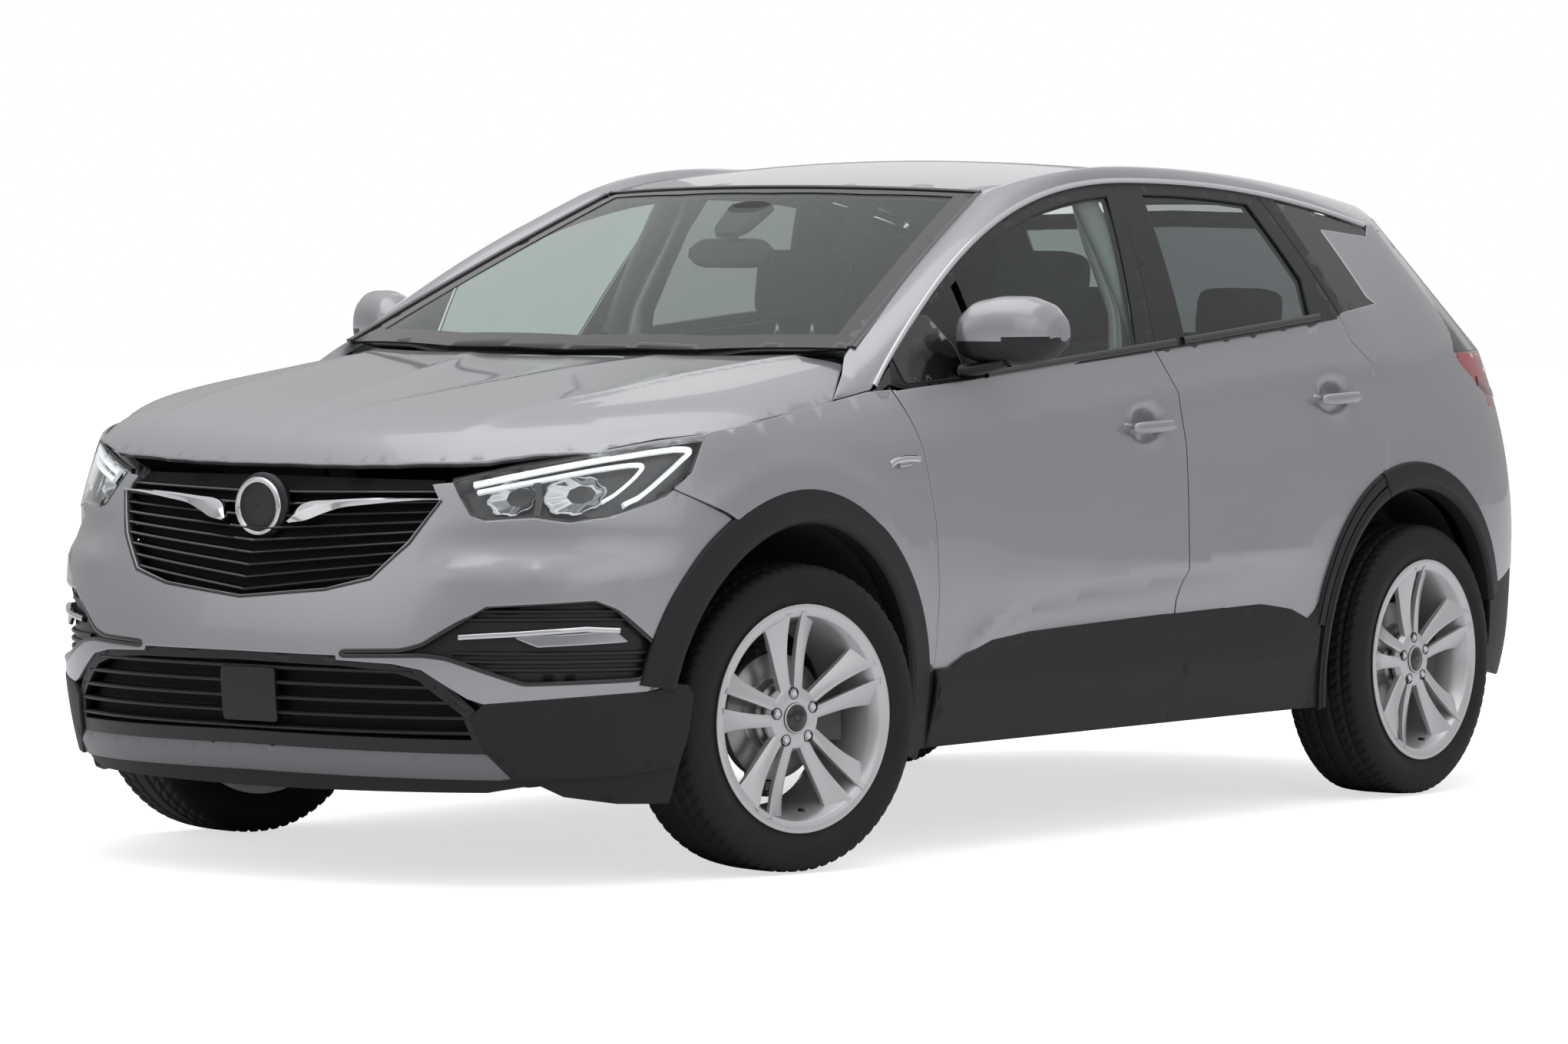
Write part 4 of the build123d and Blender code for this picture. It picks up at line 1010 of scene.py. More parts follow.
@cache
def tone_group() -> bpy.types.NodeTree:
    """Multiplies a colour by soft noise, and covers its lowest parts with a film of dust.

    Result = mix(colour * (1 + amount * (noise - 0.5)), dust, film * noise * fall), where fall goes from
    1 on the ground to 0 at 0.7 m.
    """
    tree = bpy.data.node_groups.new("soft tone and dust", "ShaderNodeTree")
    add_socket(tree, "Colour", "NodeSocketColor", "INPUT")
    for name, value in (("Amount", 0.05), ("Scale", 2.5), ("Film", 0.0)):
        add_socket(tree, name, "NodeSocketFloat", "INPUT", value)
    add_socket(tree, "Colour", "NodeSocketColor", "OUTPUT")
    add_socket(tree, "Film", "NodeSocketFloat", "OUTPUT")
    enter, leave = tree.nodes.new("NodeGroupInput"), tree.nodes.new("NodeGroupOutput")
    where = tree.nodes.new("ShaderNodeTexCoord").outputs["Object"]
    soft = tree.nodes.new("ShaderNodeTexNoise")
    soft.inputs["Detail"].default_value = 4.0
    tree.links.new(where, soft.inputs["Vector"])
    tree.links.new(enter.outputs["Scale"], soft.inputs["Scale"])
    fac = math_node(tree, "SUBTRACT", soft.outputs["Fac"], 0.5)
    fac = math_node(tree, "MULTIPLY_ADD", fac, enter.outputs["Amount"], 1.0)
    shade = tree.nodes.new("ShaderNodeVectorMath")
    shade.operation = "SCALE"
    tree.links.new(enter.outputs["Colour"], shade.inputs[0])
    tree.links.new(fac, shade.inputs["Scale"])
    split = tree.nodes.new("ShaderNodeSeparateXYZ")
    tree.links.new(where, split.inputs[0])
    fall = tree.nodes.new("ShaderNodeMapRange")
    fall.inputs["From Min"].default_value, fall.inputs["From Max"].default_value = 0.72, 0.05
    tree.links.new(split.outputs["Z"], fall.inputs["Value"])
    specks = tree.nodes.new("ShaderNodeTexNoise")
    specks.inputs["Scale"].default_value, specks.inputs["Detail"].default_value = 14.0, 6.0
    tree.links.new(where, specks.inputs["Vector"])
    film = math_node(tree, "MULTIPLY", fall.outputs[0], specks.outputs["Fac"])
    film = math_node(tree, "MULTIPLY", film, enter.outputs["Film"])
    mix = tree.nodes.new("ShaderNodeMix")
    mix.data_type = "RGBA"
    mix.inputs["B"].default_value = (0.25, 0.235, 0.21, 1.0)
    tree.links.new(film, mix.inputs["Factor"])
    tree.links.new(shade.outputs[0], mix.inputs["A"])
    tree.links.new(mix.outputs["Result"], leave.inputs["Colour"])
    tree.links.new(film, leave.inputs["Film"])
    return tree


@cache
def relief_group(pattern: Pattern) -> bpy.types.NodeTree:
    """Height and roughness of a close-up pattern.

    Grain is noise, flake the cell colour of a fine Voronoi, weave the larger of two crossed sine bands and
    brushed a noise stretched round the part.

    Args:
        pattern: Which pattern.

    Returns:
        The node group.
    """
    tree = bpy.data.node_groups.new(f"close {pattern.value}", "ShaderNodeTree")
    for name, value in (("Scale", 900.0), ("Roughness", 0.5), ("Spread", 0.05)):
        add_socket(tree, name, "NodeSocketFloat", "INPUT", value)
    for name in ("Height", "Roughness"):
        add_socket(tree, name, "NodeSocketFloat", "OUTPUT")
    enter, leave = tree.nodes.new("NodeGroupInput"), tree.nodes.new("NodeGroupOutput")
    where = tree.nodes.new("ShaderNodeTexCoord").outputs["Object"]
    if pattern is Pattern.WEAVE:
        bands = []
        for direction in ("X", "Z"):
            wave = tree.nodes.new("ShaderNodeTexWave")
            wave.bands_direction = direction
            wave.inputs["Distortion"].default_value = 0.6
            tree.links.new(where, wave.inputs["Vector"])
            tree.links.new(enter.outputs["Scale"], wave.inputs["Scale"])
            bands.append(wave.outputs["Fac"])
        height = math_node(tree, "MAXIMUM", *bands)
    elif pattern is Pattern.FLAKE:
        cells = tree.nodes.new("ShaderNodeTexVoronoi")
        tree.links.new(where, cells.inputs["Vector"])
        tree.links.new(enter.outputs["Scale"], cells.inputs["Scale"])
        height = cells.outputs["Distance"]
    else:
        noise = tree.nodes.new("ShaderNodeTexNoise")
        noise.inputs["Detail"].default_value = 3.0
        if pattern is Pattern.BRUSHED:
            stretch = tree.nodes.new("ShaderNodeMapping")
            stretch.inputs["Scale"].default_value = (0.08, 1.0, 1.0)
            tree.links.new(where, stretch.inputs["Vector"])
            where = stretch.outputs[0]
        tree.links.new(where, noise.inputs["Vector"])
        tree.links.new(enter.outputs["Scale"], noise.inputs["Scale"])
        height = noise.outputs["Fac"]
    wide = tree.nodes.new("ShaderNodeTexNoise")
    wide.inputs["Scale"].default_value, wide.inputs["Detail"].default_value = 7.0, 5.0
    tree.links.new(tree.nodes.new("ShaderNodeTexCoord").outputs["Object"], wide.inputs["Vector"])
    spread = math_node(tree, "SUBTRACT", wide.outputs["Fac"], 0.5)
    rough = math_node(tree, "MULTIPLY_ADD", spread, enter.outputs["Spread"], enter.outputs["Roughness"])
    tree.links.new(height, leave.inputs["Height"])
    tree.links.new(rough, leave.inputs["Roughness"])
    return tree


@cache
def material(finish: Finish) -> bpy.types.Material:
    """Builds a finish's material once.

    Args:
        finish: The finish.

    Returns:
        A material whose colour, roughness and bump come from the shared groups.
    """
    mat = bpy.data.materials.new(finish.name)
    mat.use_nodes = True
    tree = mat.node_tree
    shader = tree.nodes["Principled BSDF"]
    constants = {
        "Metallic": finish.metallic,
        "IOR": finish.ior,
        "Coat Weight": finish.coat,
        "Coat Roughness": finish.coat_roughness,
        "Transmission Weight": finish.transmission,
        "Emission Strength": finish.glow,
    }
    for name, value in constants.items():
        shader.inputs[name].default_value = value
    shader.inputs["Emission Color"].default_value = (*finish.colour, 1.0)
    tone = tree.nodes.new("ShaderNodeGroup")
    tone.node_tree = tone_group()
    tone.inputs["Colour"].default_value = (*finish.colour, 1.0)
    tone.inputs["Amount"].default_value = finish.tone
    tone.inputs["Scale"].default_value = finish.tone_scale
    tone.inputs["Film"].default_value = finish.film
    tree.links.new(tone.outputs["Colour"], shader.inputs["Base Color"])
    close = tree.nodes.new("ShaderNodeGroup")
    close.node_tree = relief_group(finish.pattern)
    close.inputs["Scale"].default_value = finish.pattern_scale
    close.inputs["Roughness"].default_value = finish.roughness
    close.inputs["Spread"].default_value = finish.rough_spread
    tree.links.new(close.outputs["Roughness"], shader.inputs["Roughness"])
    if finish.relief > 0:
        bump = tree.nodes.new("ShaderNodeBump")
        bump.inputs["Strength"].default_value = 1.0
        bump.inputs["Distance"].default_value = finish.relief * MM
        tree.links.new(close.outputs["Height"], bump.inputs["Height"])
        tree.links.new(bump.outputs[0], shader.inputs["Normal"])
    if finish.transmission > 0.5:
        path = tree.nodes.new("ShaderNodeLightPath")
        clear = tree.nodes.new("ShaderNodeBsdfTransparent")
        clear.inputs["Color"].default_value = (*finish.colour, 1.0)
        both = tree.nodes.new("ShaderNodeMixShader")
        tree.links.new(path.outputs["Is Shadow Ray"], both.inputs[0])
        tree.links.new(shader.outputs[0], both.inputs[1])
        tree.links.new(clear.outputs[0], both.inputs[2])
        tree.links.new(both.outputs[0], tree.nodes["Material Output"].inputs["Surface"])
    return mat


PAINT = Finish("silver paint", (0.40, 0.405, 0.418), "body_paint", 0.72, 0.34, 1.0, tone=0.03, relief=0.004,
               pattern=Pattern.FLAKE, pattern_scale=1500.0, rough_spread=0.03, film=0.05)
BARE_SILVER = Finish("silver trim", (0.19, 0.192, 0.2), "body_paint", 0.6, 0.42, 0.3, relief=0.01)
CLADDING = Finish("grained black plastic", (0.0135, 0.014, 0.0155), "dark_trim", roughness=0.52, film=0.03,
                  relief=0.12, ior=1.4)
GLOSS_BLACK = Finish("gloss black trim", (0.007, 0.0075, 0.008), "dark_trim", roughness=0.16, coat=0.7,
                     relief=0.0, rough_spread=0.04)
SATIN_BLACK = Finish("satin black trim", (0.01, 0.0105, 0.012), "dark_trim", roughness=0.38, relief=0.03)
HOLLOW = Finish("shadowed black", (0.004, 0.004, 0.0045), "dark_trim", roughness=0.8, relief=0.0)
CHROME = Finish("bright chrome", (0.72, 0.73, 0.74), "dark_trim", 1.0, 0.1, relief=0.0, rough_spread=0.04)
SEAL = Finish("door seal rubber", (0.009, 0.009, 0.009), "dark_trim", roughness=0.7)
RUBBER = Finish("tyre rubber", (0.0095, 0.0095, 0.01), "tyre_rubber", roughness=0.66, relief=0.15,
                pattern_scale=400.0, film=0.05, tone=0.25, tone_scale=9.0, ior=1.4)
WHEEL_SILVER = Finish("wheel silver", (0.66, 0.66, 0.67), "alloy", 0.6, 0.32, 0.6, relief=0.004, film=0.06,
                      pattern=Pattern.FLAKE, pattern_scale=1400.0)
DISC_IRON = Finish("turned disc iron", (0.36, 0.35, 0.34), "disc_iron", 0.9, 0.32, pattern=Pattern.BRUSHED,
                   pattern_scale=500.0, relief=0.05, tone=0.2, tone_scale=12.0)
CAST = Finish("cast iron", (0.12, 0.115, 0.11), "cast_part", 0.7, 0.55, relief=0.4, pattern_scale=300.0,
              tone=0.4, tone_scale=20.0)
CLEAR_GLASS = Finish("green tinted glass", (0.58, 0.65, 0.63), "clear_glass", roughness=0.0,
                     transmission=1.0, ior=1.3, relief=0.0, rough_spread=0.0, tone=0.01)
DARK_GLASS = Finish("privacy glass", (0.3, 0.33, 0.33), "dark_glass", roughness=0.0, transmission=1.0,
                    ior=1.35, relief=0.0, rough_spread=0.0, tone=0.01)
LENS = Finish("clear lens", (0.97, 0.98, 0.98), "lamp_clear", roughness=0.0, transmission=1.0, ior=1.35,
              relief=0.0, rough_spread=0.0, tone=0.0)
RED_LENS = Finish("red lens", (0.36, 0.007, 0.009), "lamp_red", roughness=0.06, coat=1.0, relief=0.0,
                  glow=0.03, rough_spread=0.02, ior=1.45)
DARK_RED = Finish("dark red lens", (0.16, 0.004, 0.005), "lamp_red", roughness=0.08, coat=1.0, relief=0.0)
LIGHT_GUIDE = Finish("white light guide", (0.9, 0.93, 0.95), "lamp_clear", roughness=0.3, glow=0.35,
                     relief=0.0)
REFLECTOR = Finish("lamp reflector", (0.5, 0.51, 0.53), "lamp_clear", 1.0, 0.14, relief=0.02,
                   pattern_scale=250.0)
LAMP_BODY = Finish("lamp bezel", (0.07, 0.072, 0.076), "lamp_clear", 0.6, 0.3, relief=0.02)
UNDERBODY = Finish("underbody coating", (0.022, 0.022, 0.023), "chassis", roughness=0.75, relief=0.5,
                   pattern_scale=220.0, film=0.35, tone=0.3)
STEEL = Finish("exhaust steel", (0.3, 0.28, 0.26), "exhaust_steel", 0.85, 0.45, tone=0.4, tone_scale=9.0)
DASH_PLASTIC = Finish("soft dash plastic", (0.016, 0.0165, 0.018), "cabin_plastic", roughness=0.6,
                      relief=0.2, pattern_scale=700.0)
PALE_LINING = Finish("pale headlining", (0.42, 0.415, 0.4), "seat_cloth", roughness=0.85, relief=0.25,
                     pattern_scale=800.0)
PALE_PLASTIC = Finish("pale pillar trim", (0.4, 0.4, 0.385), "cabin_plastic", roughness=0.6, relief=0.1)
CLOTH = Finish("woven seat cloth", (0.028, 0.029, 0.032), "seat_cloth", roughness=0.85,
               pattern=Pattern.WEAVE, pattern_scale=220.0, relief=0.4, tone=0.25, tone_scale=30.0)
CARPET = Finish("cabin carpet", (0.02, 0.02, 0.021), "seat_cloth", roughness=0.95, relief=1.2,
                pattern_scale=500.0)
MIRROR_GLASS = Finish("mirror glass", (0.75, 0.76, 0.78), "clear_glass", 1.0, 0.03, relief=0.0,
                      rough_spread=0.01)


def dress(piece: bpy.types.Object, finish: Finish) -> bpy.types.Object:
    """Puts a finish on a whole piece and names its slot.

    Args:
        piece: The piece.
        finish: Its finish.

    Returns:
        The same piece.
    """
    piece.data.materials.clear()
    piece.data.materials.append(material(finish))
    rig.slot(piece, finish.slot)
    return piece


def redress(node: str, finish: Finish) -> None:
    """Gives a CAD node a new material in its own slots.

    Args:
        node: The CAD node's name.
        finish: Its finish.
    """
    cad = frame["nodes"][node]
    for slot in cad.material_slots:
        slot.material = material(finish)


def settle(piece: bpy.types.Object, body: str, *stands_for: str) -> bpy.types.Object:
    """Makes a finished piece move with a body and, when named, stand for CAD nodes.

    Args:
        piece: The finished piece.
        body: The body that it rides.
        stands_for: CAD nodes that it replaces.

    Returns:
        The same piece.
    """
    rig.ride(piece, body)
    if stands_for:
        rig.replaces(piece, *stands_for)
    LOG.info("%s on %s", piece.name, body)
    return piece


@dataclass
class Panel:
    """A trimmed patch of a body surface, with rolled rims.

    Attributes:
        lift: Surface formula from two parameters to points.
        outline: Rim in those parameters.
        towards: A direction on the outer side.
        holes: Openings.
        lines: Creases that triangle sides follow.
        step: Spacing of points.
        inset: How far the flat part stays inside the drawn rim, which is the gap between panels.
        radius: Radius of the rolled rim.
        hem: Depth of the rim.
        wall: Thickness of the panel.
        raise_by: Distance the panel stands out from the formula's surface.
        clean: Radius of the outline's rounded corners, or 0 for sharp ones.
    """

    lift: Lift
    outline: Points
    towards: tuple[float, float, float] = (1.0, 0.0, 0.0)
    holes: Sequence[Points] = ()
    lines: Sequence[Points] = ()
    step: float = 26.0
    inset: float = 4.5
    radius: float = 2.0
    hem: float = 16.0
    wall: float = 0.9
    raise_by: float = 0.0
    clean: float = 0.0

    def make(self, name: str, finish: Finish) -> bpy.types.Object:
        """Builds the left or middle piece.

        Args:
            name: The piece's name.
            finish: Its finish.

        Returns:
            The dressed piece, with its wall.
        """
        rim = soften(self.outline, self.clean) if self.clean else np.array(self.outline, float)
        rim = grow(dense(rim, self.step), -self.inset)
        holes = [grow(dense(h, self.step), self.inset) for h in self.holes]
        flat, tris = fill(rim, self.step, holes, self.lines)
        verts = self.lift(flat[:, 0], flat[:, 1])
        normals = surface_normals(self.lift, flat, np.array(self.towards))
        verts = verts + normals * self.raise_by
        a, b, c = (verts[tris[:, i]] for i in range(3))
        facing = np.sum(np.cross(b - a, c - a) * normals[tris[:, 0]], axis=1)
        if np.sum(facing) < 0:
            tris = tris[:, ::-1]
        used, tris = np.unique(tris, return_inverse=True)
        verts, normals, tris = verts[used], normals[used], tris.reshape(-1, 3)
        verts, faces = with_hem(verts, tris, normals, self.radius, self.hem)
        return dress(thicken(mesh_object(name, verts, faces), self.wall), finish)


def both_sides(piece: bpy.types.Object, body: str, *nodes: str) -> None:
    """Settles a left piece and its mirror image; a body or node ending in left gets its right twin.

    Args:
        piece: The left piece.
        body: The body that it rides.
        nodes: CAD nodes that it replaces.
    """
    other = mirrored(piece, piece.name.replace("_left", "_right"))
    material_slot = piece.data.materials[0].name
    slot = next(f.slot for f in FINISHES if f.name == material_slot)
    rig.slot(other, slot)
    settle(piece, body, *nodes)
    settle(other, body.replace("_left", "_right"), *[n.replace("_left", "_right") for n in nodes])


FINISHES = [value for value in list(globals().values()) if isinstance(value, Finish)]


# ------------------------------------------------------------------ shut lines and openings, millimetres
FRONT_CUT = [(-835, 257), (-818, 424), (-820, 602), (-833, 777), (-865, 941), (-918, 1083)]
PILLAR_CUT = [(154, 1172), (228, 1050), (243, 927), (220, 620), (208, 420), (170, 257)]
REAR_CUT = [(1050, 1238), (1081, 1165), (1159, 1107), (1187, 1002), (1191, 910), (1167, 795)]
CLADDING_TOP = [(-829, 427), (-765, 428), (-710, 458), (-598, 484), (-422, 497), (163, 512), (585, 520),
                (720, 500), (799, 470), (850, 458)]
GRILLE = [(0, 886), (428, 883), (458, 846), (409, 756), (339, 679), (231, 652), (0, 630)]
LOWER_GRILLE = [(0, 503), (275, 500), (409, 493), (474, 468), (569, 387), (588, 317), (536, 310), (0, 318)]
FOG_POD = [(290, 518), (430, 523), (474, 535), (595, 621), (770, 633), (796, 615), (854, 501), (846, 472),
           (817, 457), (666, 451), (527, 506), (480, 512), (290, 507)]
LAMP_TOP = ((0, 428, 473, 600, 731, 800, 852), (889, 889, 889, 921, 952, 974, 988))
FRONT_ARCH = (-1346.0, 372.0)
REAR_ARCH = (1310.0, 371.0)


def arc(centre_y: float, centre_z: float, r: float, start: float, end: float, count: int) -> list:
    """Points round a wheel arch, degrees from level astern towards the top."""
    a = np.radians(np.linspace(start, end, count))
    return np.stack([centre_y + r * np.cos(a), centre_z + r * np.sin(a)], -1).tolist()


def rail_line(y0: float, y1: float, count: int, below: float = 0.0) -> list:
    """Points along the top of the side glass."""
    ys = np.linspace(y0, y1, count)
    return np.stack([ys, rail_z(ys) - below], -1).tolist()


def belt_line(y0: float, y1: float, below: float = 0.0) -> list:
    """Two ends of a stretch of the belt."""
    return [(y, float(belt_z(y)) - below) for y in (y0, y1)]


def lamp_top(x: Array) -> Array:
    """Height of the top of the grille and headlamps at a distance from the middle."""
    return np.interp(np.abs(x), *LAMP_TOP)


def plan_run(points: Points, to_u: Callable, step: float = 22.0) -> list:
    """An open run of (x, z) or (y, z) places in a rounded end's parameters."""
    p = dense(points, step, False)
    return np.stack([to_u(p[:, 0], p[:, 1]), p[:, 1]], -1).tolist()


def symmetric(half: Points) -> list:
    """A closed outline from its left half."""
    return [*half, *[(-u, v) for u, v in reversed(half) if abs(u) > 1e-6]]


def ribbon(name: str, lift: Lift, line: Points, width: float, rise: float, finish: Finish,
           towards: Sequence[float] = (1.0, 0.0, 0.0), crown: float = 0.35,
           out: float = 0.0) -> bpy.types.Object:
    """A moulding along a drawn line: a low arch section carried over the surface.

    Args:
        name: The piece's name.
        lift: Surface formula.
        line: Centre line in its parameters.
        width: Width of the moulding.
        rise: Height above the surface.
        finish: Its finish.
        towards: A direction on the outer side.
        crown: Share of the rise that the middle has over the edges.
        out: Extra distance from the surface.

    Returns:
        The dressed moulding.
    """
    path = np.array(line, float)
    ahead = np.gradient(path, axis=0)
    across = np.stack([-ahead[:, 1], ahead[:, 0]], -1)
    across /= np.linalg.norm(across, axis=1)[:, None]
    steps = np.array([-0.5, -0.5, -0.36, -0.12, 0.12, 0.36, 0.5, 0.5])
    lifts = np.array([-6.0, rise * (1 - crown), rise * 0.9, rise, rise, rise * 0.9, rise * (1 - crown),
                      -6.0]) + out
    flat = path[:, None] + across[:, None] * steps[None, :, None] * width
    pairs = flat.reshape(-1, 2)
    normals = surface_normals(lift, pairs, np.array(towards))
    rings = (lift(pairs[:, 0], pairs[:, 1])
             + normals * np.tile(lifts, len(path))[:, None]).reshape(len(path), 8, 3)
    return dress(crisp(tube(name, rings), 0.8), finish)


# ------------------------------------------------------------------ body sides
@dataclass
class BodySides:
    """Wings, rear corners, sills, pillars, arch trims and the bright line round the glass."""

    step: float = 26.0

    def wing(self) -> None:
        """Front wing, cut to its arch, bonnet seam, headlamp and bumper, with a raised brow over the arch."""

        def browed(y: Array, z: Array) -> Array:
            """The side with a raised brow over the arch: x + 10 fade ridge(r - 548).

            Args:
                y: Places along the car.
                z: Heights.

            Returns:
                Points of the surface.
            """
            p = on_side(y, z)
            dy, dz = y - FRONT_ARCH[0] + 8.0, z - FRONT_ARCH[1]
            fade = np.clip(np.sin(np.arctan2(dz, dy)) * 1.5 - 0.25, 0, 1) * np.clip((-868.0 - y) / 60.0, 0, 1)
            p[..., 0] += 10.0 * fade * ridge(np.hypot(dy, dz) - 548.0, 400.0, 26.0)
            return p

        brow = arc(FRONT_ARCH[0] - 8, FRONT_ARCH[1], 548, 22, 140, 30)
        arch = arc(*FRONT_ARCH, 452, 7, 118, 22)
        top = [(y, float(cut_z(y)) + 4) for y in (-1003, -1128, -1280, -1419, -1612)]
        outline = [(-921, 1076), *top, (-1640, 990), (-1692, 905), (-1742, 872), (-1614, 817), (-1538, 772),
                   *arch[::-1]]
        outline += [(-829, 427), (-823, 602), (-836, 777), (-868, 941)]
        panel = Panel(browed, outline, step=self.step, lines=[SHOULDER, brow], inset=3.5)
        both_sides(panel.make("front_wing_left", PAINT), "body", "front_wings")

    def rear_corner(self) -> None:
        """Rear quarter, from the door round to the tail lamp and bumper, and up to the roof."""
        arch = arc(*REAR_ARCH, 446, 47, 106, 14)
        door = [(1169, 795), (1193, 910), (1190, 1002), (1162, 1109), (1084, 1168), (1054, 1236)]
        glass = [(1272, 1262), (1222, 1283), (1129, 1449), (1346, 1431), (1372, 1456), (1415, 1468)]
        outline = [(1724, 786), (1690, 748), *arch, *door, *glass]
        outline += [(1432, 1468), (1468, 1434), (1514, 1386), (1552, 1335), (1592, 1262), (1616, 1180),
                    (1604, 1134), (1621, 1104), (1779, 1015), (1784, 991), (1763, 857)]
        panel = Panel(on_quarter, outline, step=self.step, lines=[SHOULDER], inset=2.5)
        both_sides(panel.make("rear_quarter_left", PAINT), "body", "body_side_left")

    def rear_pillar(self) -> None:
        """Gloss black corner between the quarter's front part and the rear screen."""
        side = [(1598, 1134), (1610, 1180), (1586, 1262), (1546, 1335), (1508, 1386), (1462, 1434),
                (1430, 1462)]
        front = plan_run(side, tail_u_at, 30.0)
        z = np.linspace(1500, 1136, 9)
        inner_x = np.interp(z, [1134, 1155, 1330, 1500], [628, 662, 612, 572])
        rear = np.stack([tail_u(inner_x, z), z], -1)
        panel = Panel(on_tail, [*front, *rear.tolist()], towards=(1, 1, 0), step=self.step, inset=2.5,
                      hem=22.0)
        both_sides(panel.make("rear_pillar_left", GLOSS_BLACK), "body")

    def sill(self) -> None:
        """Black sill under the doors and its lower edge."""
        outline = [(-840, 254), (-945, 254), (-925, 300), (-912, 360), (-906, 428), (-827, 425)]
        front = Panel(on_side, outline, step=self.step, raise_by=3.0, inset=1.0)
        both_sides(front.make("sill_front_left", CLADDING), "body")
        outline = [(780, 254), (856, 452), *arc(*REAR_ARCH, 446, 170, 195, 6)]
        rear = Panel(on_side, outline, step=self.step, raise_by=3.0, inset=1.0)
        both_sides(rear.make("sill_rear_left", CLADDING), "body")
        ys = np.linspace(-846, 900, 40)
        ring = np.array([(0, 262), (2, 256), (-10, 250), (-60, 248), (-62, 268), (-20, 275)], float)
        x = side_x(ys, 262.0)
        rings = np.stack([x[:, None] - 6 + ring[:, 0], np.repeat(ys[:, None], 6, 1),
                          np.repeat(ring[None, :, 1], 40, 0)], -1)
        both_sides(dress(tube("sill_edge_left", rings), CLADDING), "body")

    def arch_trim(self, name: str, centre: tuple, radii: tuple, span: tuple, body: str,
                  heights: Sequence[float] = (-34, -14, 6, 13, 15.5, 12, 10, 8, 4, -5, -8, -30)) -> None:
        """A black lip round a wheel arch: a band whose inner edge turns into the arch.

        Args:
            name: The piece's name.
            centre: Middle of the arch.
            radii: Inner and outer radius.
            span: First and last angle, degrees from level astern.
            body: The body it rides on.
            heights: Distance from the body surface of its section's points.
        """
        r0, r1 = radii
        a = np.radians(np.linspace(*span, 72))[:, None]
        r = np.array([r0 + 1, r0, r0 + 2, r0 + 8, r0 + 20, r0 + 26, r1 - 16, r1 - 4, r1, r1 + 1, r1 - 6,
                      r0 + 12])[None]
        out = np.array(heights)[None]
        y, z = centre[0] + r * np.cos(a), centre[1] + r * np.sin(a)
        flat = np.stack([y.ravel(), z.ravel()], -1)
        normals = surface_normals(on_side, flat, np.array([1.0, 0, 0]))
        rings = on_side(flat[:, 0], flat[:, 1]) + normals * np.broadcast_to(out, y.shape).ravel()[:, None]
        both_sides(dress(crisp(tube(name, rings.reshape(*y.shape, 3)), 1.2), CLADDING), body)

    def roof_rail(self) -> None:
        """Silver windscreen pillar and roof edge: sections bowed outwards between a low and a high curve.

        The curves run from the bonnet's rear corner up the windscreen, along the roof and down to the top
        of the rear corner.
        """
        ys = np.concatenate([np.linspace(-1152, -990, 14), np.linspace(-978, -152, 34),
                             np.linspace(-120, 1436, 40)])
        foot = np.clip((-930.0 - ys) / 70.0, 0, 1)
        foot = foot * foot * (3 - 2 * foot)
        low_z = np.where(ys < -985, cut_z(ys) + 5.0, rail_z(ys) + 7.0)
        low_x = foot * (side_x(ys, low_z) - 2.0) + (1 - foot) * cabin_x(ys, low_z)
        screen_x = np.interp(ys, [-1153, -1033, -985, -945], [846, 784, 755.5, 745])
        screen_x = np.where(ys > -945, 744.0 - 0.2308 * (ys + 945.0) + 1.0, screen_x)
        high_x = np.where(ys < -152, screen_x, np.interp(ys, [-152, 100, 1100, 1440], [562, 601, 601, 576]))
        high_z = np.where(ys < -152, screen_z(screen_x, ys), roof_z(high_x, ys)) + 1.5
        high_z = np.where(ys < -985, np.interp(ys, [-1153, -1033, -985], [1058, 1112, 1151.5]), high_z)
        low = np.stack([low_x, ys, low_z], -1)
        high = np.stack([high_x, ys, high_z], -1)
        low = np.concatenate([low, spline([low[-1], (718, 1444, 1449), (709, 1456, 1455)], 7)[1:]])
        high = np.concatenate([high, spline([high[-1], (573, 1480, 1513), (569, 1525, 1497)], 7)[1:]])
        bow = np.interp(np.arange(len(low)), [0, 14, 40, 50, 88, 93], [2, 9, 16, 26, 22, 10])
        t = np.linspace(0, 1, 12)[None, :, None]
        out = np.stack([high[:, 2] - low[:, 2], 0 * bow, low[:, 0] - high[:, 0]], -1)
        out /= np.linalg.norm(out, axis=1)[:, None]
        bulge = (out * bow[:, None])[:, None] * np.sin(np.pi * t) ** 0.9
        face = low[:, None] + (high - low)[:, None] * t + bulge
        back = np.stack([high - np.array([6.0, 0, 26.0]), low - np.array([20.0, 0, -2.0])], 1)
        both_sides(dress(crisp(tube("roof_rail_left", np.concatenate([face, back], axis=1)), 1.5), PAINT),
                   "body")

    def bright_line(self) -> None:
        """Chrome strip along the top of the side glass and down to the pillar's foot."""
        ys = np.concatenate([np.linspace(-968, -880, 12), np.linspace(-860, 1352, 90)])
        line = np.stack([ys, rail_z(ys) + np.interp(ys, [-968, -900, -700], [2.0, 3.0, 1.0])], -1)
        both_sides(ribbon("glass_top_strip_left", on_cabin, line, 12.0, 5.0, CHROME, out=2.5), "body")
        panel = Panel(on_cabin, [(-968, 1066), (-925, 1084), (-902, 1092), (-893, 1122)], step=14,
                      raise_by=1.0, inset=0.5)
        both_sides(panel.make("sail_foot_left", GLOSS_BLACK), "body")

